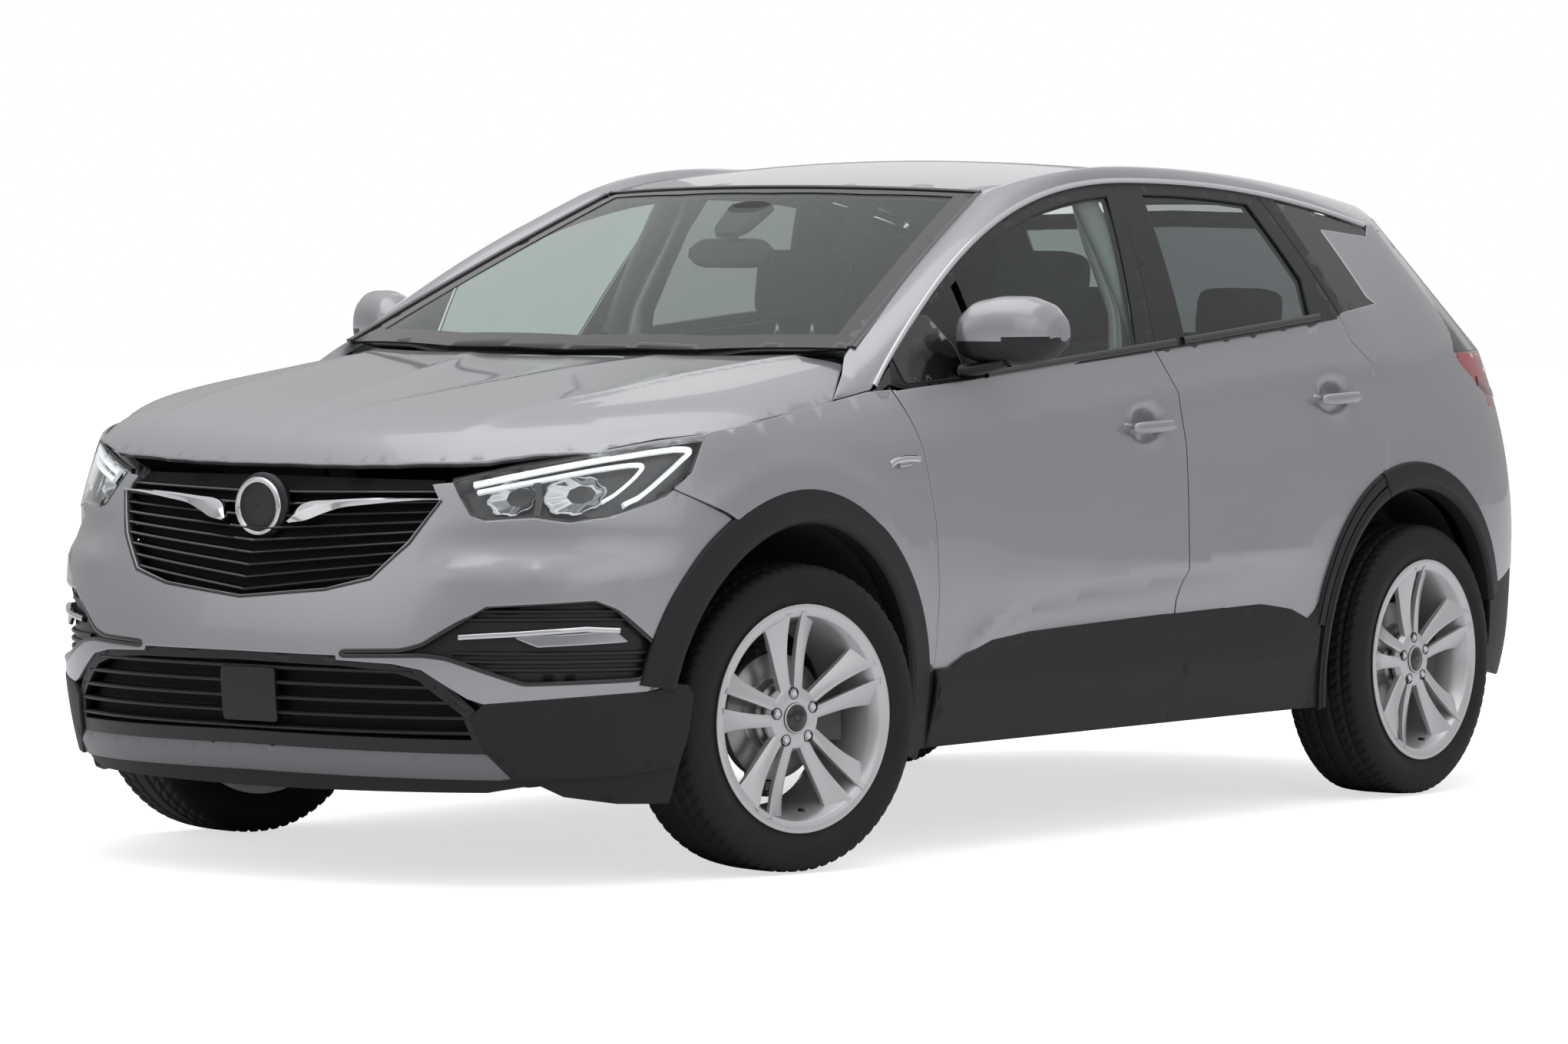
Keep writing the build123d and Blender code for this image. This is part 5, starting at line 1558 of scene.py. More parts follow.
    def quarter_window(self) -> None:
        """Dark quarter glass with its black surround and silver wedge edge."""
        outline = [(1060, 1238), (905, float(rail_z(905)) - 8), (1062, float(rail_z(1060)) - 8),
                   (1363, 1450), (1346, 1428), (1129, 1447), (1222, 1281), (1264, 1258)]
        panel = Panel(on_cabin, outline, step=22, raise_by=-3.0, inset=1.0, clean=10.0)
        both_sides(panel.make("quarter_pane_left", GLOSS_BLACK), "body", "quarter_glass")
        edge = [(1268, 1256), (1224, 1280), (1176, 1366), (1131, 1447)]
        both_sides(ribbon("quarter_bead_left", on_cabin, dense(edge, 12, False), 7.0, 4.0, CHROME, out=-4.0),
                   "body")
        post = [(898, 1538), (960, 1530), (1090, 1236), (1052, 1236)]
        cover = Panel(on_cabin, post, step=22, raise_by=-1.5, inset=1.0)
        both_sides(cover.make("quarter_post_left", SATIN_BLACK), "body")

    def marker(self) -> None:
        """Bright blade with a clear side marker on the wing."""
        line = [(-1008, 905), (-985, 914), (-940, 919), (-892, 917)]
        blade = ribbon("marker_blade_left", on_side, spline(line, 16), 15.0, 7.0, CHROME)
        both_sides(blade, "body")
        lens = ribbon("marker_lens_left", on_side, spline([(-975, 905), (-925, 908)], 6), 14.0, 6.0,
                      REFLECTOR)
        both_sides(lens, "body")

    def inner_side(self) -> None:
        """Pale pillar trims inside the glass."""
        for name, y0, y1, top in (("front", -905, -330, 40.0), ("middle", 150, 225, 22.0),
                                  ("rear", 1020, 1120, 22.0)):
            t = np.linspace(0, 1, 16)
            if name == "front":
                ys = y0 + (y1 - y0) * t
                z = rail_z(ys) - 4.0
                x = cabin_x(ys, z) - 34.0
                path = np.stack([x, ys + 8.0, z], -1)
                profile = oval(54, 30, 14)
            else:
                z = belt_z(y0) + 20 + (rail_z(y0) - belt_z(y0) - top) * t
                ys = np.full_like(z, (y0 + y1) / 2)
                path = np.stack([cabin_x(ys, z) - 50.0, ys, z], -1)
                profile = oval(y1 - y0 + 22, 34, 14, 3.0)
            up = (1.0, 0.0, 0.2)
            both_sides(dress(sweep(f"pillar_trim_{name}_left", path, profile, up), PALE_PLASTIC), "body")

    def seams(self) -> None:
        """Dark rubber behind the gaps between the panels."""
        for name, line, lift in (
            ("front", [p for p in FRONT_CUT if p[1] > 560], on_side), ("middle", PILLAR_CUT, on_side),
            ("rear", REAR_CUT, on_quarter), ("bumper", [(-1742, 870), (-1614, 814), (-1540, 770)], on_side),
            ("tail", [(1790, 990), (1764, 857), (1725, 786), (1692, 750), (1648, 706)], on_quarter),
        ):
            strip = ribbon(f"seam_{name}_left", lift, dense(line, 22, False), 12.0, 1.0, SEAL, out=-6.5)
            both_sides(strip, "body")

    def structure(self) -> None:
        """Painted sill beam, hinge post and centre post that show when the doors are open."""
        ys = np.linspace(-780, 850, 30)
        path = np.stack([side_x(ys, 330.0) - 164.0, ys, 352.0 + 0 * ys], -1)
        both_sides(dress(crisp(sweep("sill_beam_left", path, oval(130, 96, 16, 5.0), (0, 0, 1)), 2.0),
                         PAINT), "body")
        for name, foot, head, wide in (("hinge_post", -905.0, -905.0, 70.0),
                                       ("centre_post", 190.0, 226.0, 76.0)):
            z = np.linspace(330, 1060 if name == "hinge_post" else 1530, 30)
            y = np.interp(z, [330, 1100, 1530], [foot, foot, head])
            x = np.where(z < 1090, side_x(y, np.minimum(z, 1090)) - 165.0, cabin_x(y, z) - 98.0)
            x = np.convolve(np.pad(x, 3, "edge"), np.ones(7) / 7, "valid")
            path = np.stack([x, y, z], -1)
            size = np.interp(z, [330, 480, 1100, 1530], [1.35, 1.0, 0.9, 0.62])
            both_sides(dress(sweep(f"{name}_left", path, oval(wide, 60, 16, 4.0), (1, 0, 0), size), PAINT),
                       "body")

    def build(self) -> None:
        """Makes every piece of both sides."""
        self.wing()
        self.rear_corner()
        self.rear_pillar()
        self.sill()
        self.arch_trim("front_arch_trim_left", FRONT_ARCH, (410, 496), (-17, 171.5), "body")
        self.arch_trim("rear_arch_trim_left", REAR_ARCH, (415, 486), (16, 109.5), "body")
        self.arch_trim("rear_arch_inner_left", REAR_ARCH, (415, 450), (109.5, 196), "body",
                       (-34, -14, 6, 13, 15.5, 12, 11.5, 11.5, 11, -5, -8, -30))
        self.arch_trim("rear_arch_door_strip_left", REAR_ARCH, (454, 486), (110.2, 169), "rear_door_left",
                       (-16, -6, 11, 11.5, 11.5, 11, 10, 8, 4, -5, -8, -12))
        self.roof_rail()
        self.seams()
        self.structure()
        self.bright_line()
        self.quarter_window()
        self.marker()
        self.inner_side()


# ------------------------------------------------------------------ doors
@dataclass
class Door:
    """One side door: skin, window frame, glass surround, cladding, handle and inner card."""

    name: str
    skin: Sequence[tuple[float, float]]
    frame_rim: Sequence[tuple[float, float]]
    window: Sequence[tuple[float, float]]
    cladding: Sequence[tuple[float, float]]
    handle: tuple[float, float]
    step: float = 26.0

    @property
    def body(self) -> str:
        """The left door's body."""
        return f"{self.name}_door_left"

    def shell(self) -> None:
        """Painted skin with its creases and the handle's scoop, and the black cladding on its foot."""
        hy, hz = self.handle

        def scoop(y: Array, z: Array) -> Array:
            """Depth of the hollow behind the handle."""
            return 25.0 * np.exp(-(((y - hy + 8) / 62.0) ** 2 + ((z - hz - 2) / 36.0) ** 2) ** 1.4)

        def dished(y: Array, z: Array) -> Array:
            """The side with the lower crease raised and the scoop behind each handle sunk in.

            Args:
                y: Places along the car.
                z: Heights.

            Returns:
                Points of the surface.
            """
            p = on_side(y, z)
            fade = np.clip((y + 760.0) / 120.0, 0, 1) * np.clip((930.0 - y) / 300.0, 0, 1)
            p[..., 0] += 6.0 * fade * ridge(z - line_z(FLANK, y), 34.0, 90.0) - scoop(y, z)
            return p

        around = arc(hy - 8, hz + 2, 42, 0, 360, 20)[:-1]
        panel = Panel(dished, self.skin, step=self.step, lines=[SHOULDER, FLANK, [*around, around[0]]],
                      inset=3.5)
        both_sides(panel.make(f"{self.name}_door_skin_left", PAINT), self.body, self.body)

        def stepped(y: Array, z: Array) -> Array:
            """The side stood out by 21 mm at the cladding's fold and almost flush at its top.

            Args:
                y: Places along the car.
                z: Heights.

            Returns:
                Points of the surface.
            """
            p = on_side(y, z)
            p[..., 0] += np.interp(z, [250, 378, 388, 520], [5.0, 21.0, 21.0, 1.0])
            return p

        fold = [(-820, 378), (850, 378)], [(-820, 388), (850, 388)]
        lower = Panel(stepped, self.cladding, step=self.step, lines=fold, inset=2.0, radius=4.0, hem=12.0)
        both_sides(lower.make(f"{self.name}_door_cladding_left", CLADDING), self.body)

    def frames(self) -> None:
        """Black frame round the window and the seal along the belt."""
        outer = Panel(on_cabin, self.frame_rim, step=20, holes=[self.window], raise_by=-2.0, inset=1.0,
                      hem=24.0)
        both_sides(outer.make(f"{self.name}_door_frame_left", SATIN_BLACK), self.body)
        ys = [p[0] for p in self.window]
        belt = [(y, float(belt_z(y)) + 4.0) for y in np.linspace(min(ys) - 14, max(ys) + 14, 40)]

        def edge(y: Array, z: Array) -> Array:
            """The outer of side and cabin at the belt, leaning in as it rises."""
            belt_x = np.maximum(side_x(y, belt_z(y) - 8.0), cabin_x(y, belt_z(y)))
            return np.stack([belt_x - 0.3 * (z - belt_z(y)), y, z], -1)

        both_sides(ribbon(f"{self.name}_belt_seal_left", edge, belt, 16.0, 5.0, GLOSS_BLACK, out=0.5),
                   self.body)

    def handle_bar(self) -> None:
        """Body-colour pull over its scoop, on two feet."""
        hy, hz = self.handle
        ys = np.linspace(hy - 106, hy + 88, 34)
        share = (ys - hy + 9) / 97.0
        lift_off = 30.0 - 16.0 * np.abs(share) ** 3
        size = np.clip(1.0 - np.abs(share) ** 9, 0.25, 1)
        z = hz + 3.0 * share
        path = np.stack([side_x(ys, z) + lift_off, ys, z], -1)
        bar = sweep(f"{self.name}_handle_left", path, oval(29, 18, 16, 2.8), (1.0, 0.0, 0.0), size)
        both_sides(dress(bar, PAINT), self.body)
        feet = []
        for i, y in enumerate((hy - 96, hy + 78)):
            along = np.linspace(-4, 22, 5)
            foot = np.stack([side_x(y, hz) + along, np.full(5, y), np.full(5, hz)], -1)
            feet.append(sweep(f"foot{i}", foot, oval(20, 17, 14, 3.0), (0.0, 0.0, 1.0),
                              np.array([1.25, 1.15, 1.0, 1.0, 0.9])))
        both_sides(dress(join(f"{self.name}_handle_feet_left", feet), PAINT), self.body)

    def card(self) -> None:
        """Inner trim panel with an armrest and a pocket."""
        ys = [p[0] for p in self.window]
        y0, y1 = min(min(ys), -640 if self.name == "front" else 400), max(ys) + 10
        outline = [(y0, 420), (y1 - 60, 420), (y1, 700), (y1 + 10, float(belt_z(y1)) - 12),
                   (y0 - 60, float(belt_z(y0)) - 12)]

        def shape(y: Array, z: Array) -> Array:
            """The side carried 118 mm in, with the armrest at z 760 and the pocket at z 560.

            Args:
                y: Places along the car.
                z: Heights.

            Returns:
                Points of the surface.
            """
            armrest = 26.0 * np.exp(-(((z - 760) / 42.0) ** 2))
            pocket = 18 * np.exp(-(((z - 560) / 60.0) ** 2))
            return np.stack([side_x(y, z) - 118.0 - armrest + pocket, y, z], -1)

        panel = Panel(shape, outline, towards=(-1, 0, 0), step=34, hem=14.0, inset=2.0, clean=30.0)
        both_sides(panel.make(f"{self.name}_door_card_left", DASH_PLASTIC), self.body)

    def build(self) -> None:
        """Makes every piece of the door and its twin."""
        self.shell()
        self.frames()
        self.handle_bar()
        self.card()
        for side in ("left", "right"):
            redress(f"{self.name}_door_glass_{side}", CLEAR_GLASS if self.name == "front" else DARK_GLASS)


FRONT_DOOR = Door(
    "front",
    [(-829, 404), (-820, 602), (-833, 777), (-865, 941), (-915, 1076), *belt_line(-900, 160, 2), (228, 1050),
     (243, 927), (220, 620), (212, 496), *[p for p in CLADDING_TOP[::-1] if -829 < p[0] < 205]],
    [(-905, 1088), *rail_line(-872, 278, 14, 6.0), (160, 1166), *belt_line(146, -830, 6)],
    [*belt_line(88, -560, -6), *rail_line(-560, 236, 10, 30.0)],
    [*[p for p in CLADDING_TOP if p[0] < 205], (209, 512), (208, 420), (172, 258), (-835, 258)],
    (88.0, 972.0),
)
REAR_DOOR = Door(
    "rear",
    [(219, 500), (226, 620), (249, 927), (234, 1050), *belt_line(166, 1052, 2), (1081, 1165), (1159, 1107),
     (1187, 1002), (1191, 910), (1167, 795), *arc(*REAR_ARCH, 474, 112, 160, 12),
     *[p for p in CLADDING_TOP[::-1] if 225 < p[0] < 840]],
    [(168, 1168), *rail_line(284, 896, 10, 6.0), (1044, 1236), *belt_line(1034, 176, 6)],
    [*belt_line(906, 296, -6), *rail_line(380, 832, 6, 28.0), (930, 1322)],
    [(215, 512), *[p for p in CLADDING_TOP if 215 < p[0] < 840], *arc(*REAR_ARCH, 476, 163, 169, 3),
     (775, 258), (178, 258), (214, 420)],
    (964.0, 1025.0),
)


# ------------------------------------------------------------------ front end
@dataclass
class FrontEnd:
    """Bumper, grilles, fog pods, headlamps, plate and badge place."""

    step: float = 26.0
    slats: int = 9

    def bumper(self) -> None:
        """Silver bumper skin down to the lower intake, with its openings."""
        half = plan_run([(0, 880), (428, 880), (474, 884), (528, 815), (563, 803), (652, 810), (713, 799),
                         (768, 811)], nose_u)
        half += plan_run([(-1762, 854), (-1742, 868), (-1614, 812), (-1542, 768)], nose_u_at)
        half += plan_run(arc(*FRONT_ARCH, 446, 119, 165, 14), nose_u_at)
        half += plan_run([(840, 437), (827, 429), (596, 408), (566, 420), (520, 452), (476, 482), (410, 494),
                          (280, 499), (278, 509), (0, 510)], nose_u)
        pods = [[(s * float(nose_u(x, z)), z) for x, z in FOG_POD] for s in (1, -1)]
        creases = [[(float(nose_u(x, z)) * s, z) for x, z in run] for s in (1, -1) for run in (
            ((420, 655), (520, 692), (640, 705), (780, 700), (850, 660)),
            ((430, 690), (600, 722), (800, 730)))]
        panel = Panel(self.sculpted, symmetric(half), towards=(0, -1, 0),
                      holes=[self.round_u(GRILLE), *pods], lines=creases,
                      step=self.step, inset=2.5, hem=24.0)
        settle(panel.make("bumper_skin", PAINT), "body", "front_bumper")

    @staticmethod
    def round_u(half: Points) -> list:
        """A symmetric opening in the nose lift's parameters."""
        return symmetric([(float(nose_u(x, z)), z) for x, z in half])

    @staticmethod
    def sculpted(u: Array, z: Array) -> Array:
        """The nose surface 2 mm in, with a ledge over each fog pod and a hollow above it.

        The ledge is a ridge of 12 mm along z 695 that fades towards the middle and the wheel.

        Args:
            u: The nose lift's first parameter.
            z: Heights.

        Returns:
            Points of the surface.
        """
        p = on_nose(u, z)
        side = np.abs(p[..., 0])
        fade = np.exp(-(((side - 660.0) / 190.0) ** 4))
        sunk = np.exp(-(((z - 752.0) / 32.0) ** 2))
        out = 12.0 * fade * ridge(z - 695.0, 60.0, 14.0) - 13.0 * fade * sunk - 2.0
        p[..., 1] -= out * 0.9
        p[..., 0] += np.sign(p[..., 0]) * out * 0.3 * np.clip(side / 400.0, 0, 1)
        return p

    def lower_bumper(self) -> None:
        """Black corners, edge of the lower intake, skid plate and chin."""
        pts = plan_run([(575, 378), (598, 402), (827, 425), (842, 432)], nose_u)
        pts += plan_run([(-1772, 440), (-1722, 436), (-1708, 420), (-1712, 330), (-1726, 268), (-1850, 252)],
                        nose_u_at)
        pts += plan_run([(735, 248), (680, 246), (630, 245), (592, 304)], nose_u)
        panel = Panel(on_nose, pts, towards=(1, -1, 0), step=20, raise_by=1.0, inset=1.5, radius=4.0,
                      hem=26.0)
        both_sides(panel.make("bumper_corner_left", CLADDING), "body")
        pts = plan_run([(636, 252), (690, 262)], nose_u)
        pts += plan_run([(-1850, 268), (-1724, 284), (-1736, 182), (-1850, 186)], nose_u_at)
        pts += plan_run([(700, 204)], nose_u, 10.0)
        skirt = Panel(lambda u, z: on_nose(u, z) + np.array([-14.0, 22.0, 0]), pts, towards=(1, -1, 0),
                      step=20, inset=1.0, radius=3.0, hem=20.0)
        both_sides(skirt.make("bumper_skirt_left", CLADDING), "body")
        skid = symmetric([(0, 308), (530, 303), (586, 298), (628, 248), (600, 243), (0, 247)])
        skid = [(float(nose_u(x, z)), z) for x, z in dense(skid, 40)]

        def bow(u: Array, z: Array) -> Array:
            """The nose folded outwards along z 276."""
            bend = np.interp(z, [240, 276, 310], [10.0, 0.0, 14.0])
            return on_nose(u, z) + np.stack([0 * u, bend, 0 * u], -1)

        fold = [[(float(nose_u(x, 276)), 276.0) for x in np.linspace(-590, 590, 40)]]
        panel = Panel(bow, skid, towards=(0, -1, 0), step=20, inset=1.5, radius=4.0, hem=30.0, lines=fold)
        settle(panel.make("skid_plate", BARE_SILVER), "body")
        chin = symmetric([(0, 250), (600, 248), (690, 262), (660, 232), (560, 212), (0, 206)])
        chin = [(float(nose_u(x, z)), z) for x, z in dense(chin, 40)]
        panel = Panel(lambda u, z: on_nose(u, z) + np.array([0, 30.0, 0]), chin, towards=(0, -1, 0), step=24,
                      inset=1.0, hem=30.0)
        settle(panel.make("bumper_chin", CLADDING), "body")
        frame_half = [(0, 512), (280, 510), (282, 500), (409, 495), (476, 478), (520, 448), (572, 392),
                      (597, 300), (0, 306)]
        inner = grow(np.array(symmetric([(0, 492), (285, 488), (400, 480), (466, 460), (552, 384),
                                         (566, 325), (0, 330)])), 0)
        surround = Panel(lambda u, z: on_nose(u, z) + np.array([0, 8.0, 0]), self.round_u(frame_half),
                         towards=(0, -1, 0),
                         holes=[[(float(nose_u(x, z)), z) for x, z in inner]], step=22, inset=0.5, hem=40.0)
        settle(surround.make("intake_surround", SATIN_BLACK), "body")

    def net(self, name: str, half: Points, depth: float, finish: Finish, node: str | None) -> None:
        """Dark back of an opening in the nose, set in by a depth.

        Args:
            name: The piece's name.
            half: Left half of the opening.
            depth: How far it is set in.
            finish: Its finish.
            node: CAD node that it replaces, if any.
        """
        panel = Panel(lambda u, z: on_nose(u, z) + np.array([0, depth, 0]), self.round_u(half),
                      towards=(0, -1, 0), step=34, inset=-2.0, hem=4.0)
        settle(panel.make(name, finish), "body", *([node] if node else []))

    def slat(self, name: str, half: Points, height: Callable, span: float, depth: float, thick: float,
             finish: Finish) -> bpy.types.Object | None:
        """One horizontal slat across an opening, following its height at each place across.

        Args:
            name: The slat's name.
            half: Left half of the opening.
            height: Height as a function of the distance from the middle.
            span: Half width of the opening's widest place.
            depth: How far the slat's face is set in.
            thick: Height of its section.
            finish: Its finish.

        Returns:
            The slat, or None where the opening is too narrow.
        """
        x = np.linspace(-span, span, 121)
        z = height(np.abs(x))
        rim = np.array(symmetric(half), float)
        keep = inside(np.stack([x, z], -1), rim)
        if keep.sum() < 4:
            return None
        x, z = x[keep], z[keep]
        y = nose_y(x, z) + depth
        shape = np.array([(0, -0.5), (-6, -0.32), (-9, 0.1), (-4, 0.5), (22, 0.62), (24, 0.3)])
        rings = np.stack(
            [np.repeat(x[:, None], 6, 1), y[:, None] + shape[:, 0] + 8, z[:, None] + shape[:, 1] * thick], -1
        )
        return dress(crisp(tube(name, rings), 1.0), finish)

    def grilles(self) -> None:
        """Upper grille of V-shaped slats and lower intake of level ones."""
        self.net("grille_back", GRILLE, 42.0, HOLLOW, "grille")
        parts = []
        for i in range(self.slats):
            base = 860.0 - i * 26.5

            def rising(x: Array, b: float = base, k: int = i) -> Array:
                """Height of a slat, steeper for each one further down."""
                return b + x * (0.02 + 0.012 * k) - 6.0

            piece = self.slat(f"s{i}", GRILLE, rising, 458, 8.0, 9.0, GLOSS_BLACK)
            if piece is not None:
                piece.modifiers.clear()
                parts.append(piece)
        settle(dress(crisp(join("grille_slats", parts), 1.0), GLOSS_BLACK), "body")
        self.net("intake_back", LOWER_GRILLE, 46.0, HOLLOW, "lower_grille")
        parts = []
        for i in range(5):
            piece = self.slat(f"t{i}", LOWER_GRILLE, lambda x, b=475.0 - i * 33: b + 0 * x, 590, 6.0, 10.0,
                              SATIN_BLACK)
            if piece is not None:
                piece.modifiers.clear()
                parts.append(piece)
        settle(dress(crisp(join("intake_slats", parts), 1.0), SATIN_BLACK), "body")
        plate = [(x, z) for x, z in ((-35, 358), (112, 358), (112, 470), (-35, 470))]
        cover = Panel(lambda x, z: np.stack([x, nose_y(x, z) + 2.0, z], -1), plate, towards=(0, -1, 0),
                      step=24, hem=18.0, inset=0.0, clean=6.0)
        settle(cover.make("sensor_cover", SATIN_BLACK), "body")
        rim = [(float(nose_u(x, z)), z) for x, z in dense([(0, 627), (231, 649), (341, 675), (413, 753),
                                                           (462, 846)], 16, False)]
        rim = [(-u, z) for u, z in rim[::-1]] + rim[1:]
        settle(ribbon("grille_lip", on_nose, rim, 7.0, 2.0, GLOSS_BLACK, towards=(0, -1, 0), out=-3.0),
               "body")

    def badge(self) -> None:
        """Two chrome wing bars that kick down towards a plain black boss with a bright ring.

        A bar's upper and lower edges are two drawn lines across the nose; its face is creased between them.
        """
        upper = spline([(461, 851), (380, 851), (280, 848), (190, 842), (140, 838), (112, 826),
                        (92, 796)], 46)
        lower = spline([(461, 846), (380, 843), (290, 834), (225, 826), (180, 812), (140, 797),
                        (96, 790)], 46)
        for sign, side in ((1, "left"), (-1, "right")):
            t = np.array([0.0, 0.0, 0.3, 0.55, 1.0, 1.0])[None]
            out = np.array([8.0, -6.0, -11.0, -9.0, -4.0, 8.0])[None] * np.linspace(0.75, 1, 46)[:, None]
            x = upper[:, :1] + (lower[:, :1] - upper[:, :1]) * t
            z = upper[:, 1:] + (lower[:, 1:] - upper[:, 1:]) * t
            rings = np.stack([x * sign, nose_y(x, z) + 4.0 + out, z], -1)
            settle(dress(crisp(tube(f"wing_bar_{side}", rings), 0.8), CHROME), "body")
        y0 = float(nose_y(0, 823)) + 6
        disc = [(18, 0.0), (18, 74), (4, 76), (-6, 71), (-9, 60), (-11, 0.0)]
        boss = revolve("badge_boss", [(y0 + a, r) for a, r in disc], 1, (0, 0, 823), 72)
        settle(dress(boss, SATIN_BLACK), "body")
        ring = [(y0 - 5, 65), (y0 - 13, 66), (y0 - 17, 62), (y0 - 17, 56), (y0 - 12, 52), (y0 - 5, 52)]
        settle(dress(revolve("badge_ring", ring, 1, (0, 0, 823), 96), CHROME), "body")

    def fog_pods(self) -> None:
        """Black pod with slats, a bright bar and a small lamp."""
        pod = [(float(nose_u(x, z)), z) for x, z in FOG_POD]

        def deep(u: Array, z: Array) -> Array:
            """The nose set in behind the pod's rim."""
            return on_nose(u, z) + np.array([-12.0, 26.0, 0.0])

        both_sides(Panel(deep, pod, towards=(0.5, -1, 0), step=26, inset=-3.0,
                         hem=4.0).make("fog_back_left", SATIN_BLACK),
                   "body")
        edge = soften([*pod], 14)
        edge = np.concatenate([edge, edge[:1]])
        both_sides(ribbon("fog_rim_left", on_nose, dense(edge, 14, False), 9.0, 3.0, GLOSS_BLACK,
                          towards=(0, -1, 0), out=-3.0),
                   "body")
        bars = []
        for i, z0 in enumerate((608, 590, 516, 498, 480)):
            xs = [x for x in np.linspace(535, 842, 60)
                  if inside(np.array([[x, z0]]), np.array(FOG_POD, float))[0]]
            line = [(float(nose_u(x, z0)), z0) for x in xs]
            rail = ribbon(f"b{i}", deep, line, 9.0, 9.0, SATIN_BLACK, towards=(0, -1, 0))
            rail.modifiers.clear()
            bars.append(rail)
        both_sides(dress(join("fog_slats_left", bars), SATIN_BLACK), "body")
        line = [(548, 553), (650, 560), (760, 570), (803, 566)]
        path = [(float(nose_u(x, z)), z) for x, z in dense(line, 16, False)]
        both_sides(ribbon("fog_bar_left", on_nose, path, 12.0, 6.0, CHROME, towards=(0, -1, 0), out=-8.0),
                   "body")
        lamp = [(float(nose_u(x, z)), z) for x, z in ((655, 552), (690, 534), (812, 542), (798, 563))]
        both_sides(Panel(on_nose, lamp, towards=(0, -1, 0), step=14, inset=1.0, raise_by=-9.0,
                         hem=10.0).make(
            "fog_lamp_left", REFLECTOR), "body")

    def headlamp(self) -> None:
        """Clear lens over a dark bezel, two faceted reflectors and a double white light guide."""
        rim = [(float(nose_u(x, z)), z) for x, z in ((473, 888), (528, 815), (563, 803), (652, 810),
                                                     (713, 799), (775, 812))]
        rim += [(float(nose_u_at(y, z)), z) for y, z in ((-1758, 858), (-1694, 905), (-1636, 984))]
        rim += [(float(nose_u(x, z)), z) for x, z in ((800, 974), (731, 951), (600, 921))]
        both_sides(Panel(on_nose, rim, towards=(1, -1, 0), step=20, inset=2.0, radius=2.0, hem=9.0,
                         raise_by=0.0, wall=2.0).make(
            "headlamp_lens_left", LENS), "body", "headlamps")

        def deep(u: Array, z: Array) -> Array:
            """The nose set in by the lamp's depth."""
            return on_nose(u, z) + np.array([-22.0, 46.0, 0.0])

        both_sides(Panel(deep, rim, towards=(1, -1, 0), step=24, inset=-2.0,
                         hem=4.0).make("headlamp_back_left", LAMP_BODY),
                   "body")

        def wall(u: Array, z: Array) -> Array:
            """The nose set in just behind the lens."""
            return on_nose(u, z) + np.array([-6.0, 12.0, 0.0])

        loop = np.array([*rim, rim[0]])
        both_sides(ribbon("headlamp_edge_left", wall, dense(loop, 14, False), 10.0, 5.0, SATIN_BLACK,
                          towards=(1, -1, 0)),
                   "body")
        guides = []
        outer = [(520, 878), (640, 909), (770, 942), (836, 955), (834, 925), (806, 862), (782, 836)]
        inner = [(532, 862), (640, 888), (740, 914), (790, 922), (790, 900), (770, 862), (752, 842)]
        for i, track in enumerate((outer, inner)):
            path = spline(track, 60)
            path = [(float(nose_u(x, z)), z) for x, z in path]
            guide = ribbon(f"g{i}", wall, path, 11.0 - 2 * i, 9.0, LIGHT_GUIDE, towards=(1, -1, 0))
            guide.modifiers.clear()
            guides.append(guide)
        both_sides(dress(join("headlamp_guides_left", guides), LIGHT_GUIDE), "body")
        bowls = []
        for i, (x, z, r) in enumerate(((600, 852, 38), (706, 858, 42))):
            a = np.linspace(0, 2 * np.pi, 48, endpoint=False)[None]
            t = np.linspace(0.12, 1, 9)[:, None]
            facet = 1.0 + 0.05 * np.sign(np.sin(8 * a)) * t
            px, pz = x + r * 1.15 * t * np.cos(a) * facet, z + r * t * np.sin(a) * facet
            deep_by = 62.0 - 40.0 * t**2 + 0 * a
            base = np.stack([px - 14, nose_y(px, pz) + deep_by, pz], -1)
            bowl = mesh_object(f"bowl{i}", base.reshape(-1, 3), grid_faces(9, 48, wrap_v=True))
            bowls.append(bowl)
        whole = dress(thicken(join("headlamp_reflectors_left", bowls), 1.0), REFLECTOR)
        both_sides(whole, "body")
        divider = [(float(nose_u(x, z)), z) for x, z in ((655, 812), (652, 850), (640, 884))]
        both_sides(ribbon("headlamp_divider_left", wall, divider, 16.0, 6.0, LAMP_BODY, towards=(1, -1, 0)),
                   "body")

    def build(self) -> None:
        """Makes every piece."""
        self.bumper()
        self.lower_bumper()
        self.grilles()
        self.badge()
        self.fog_pods()
        self.headlamp()


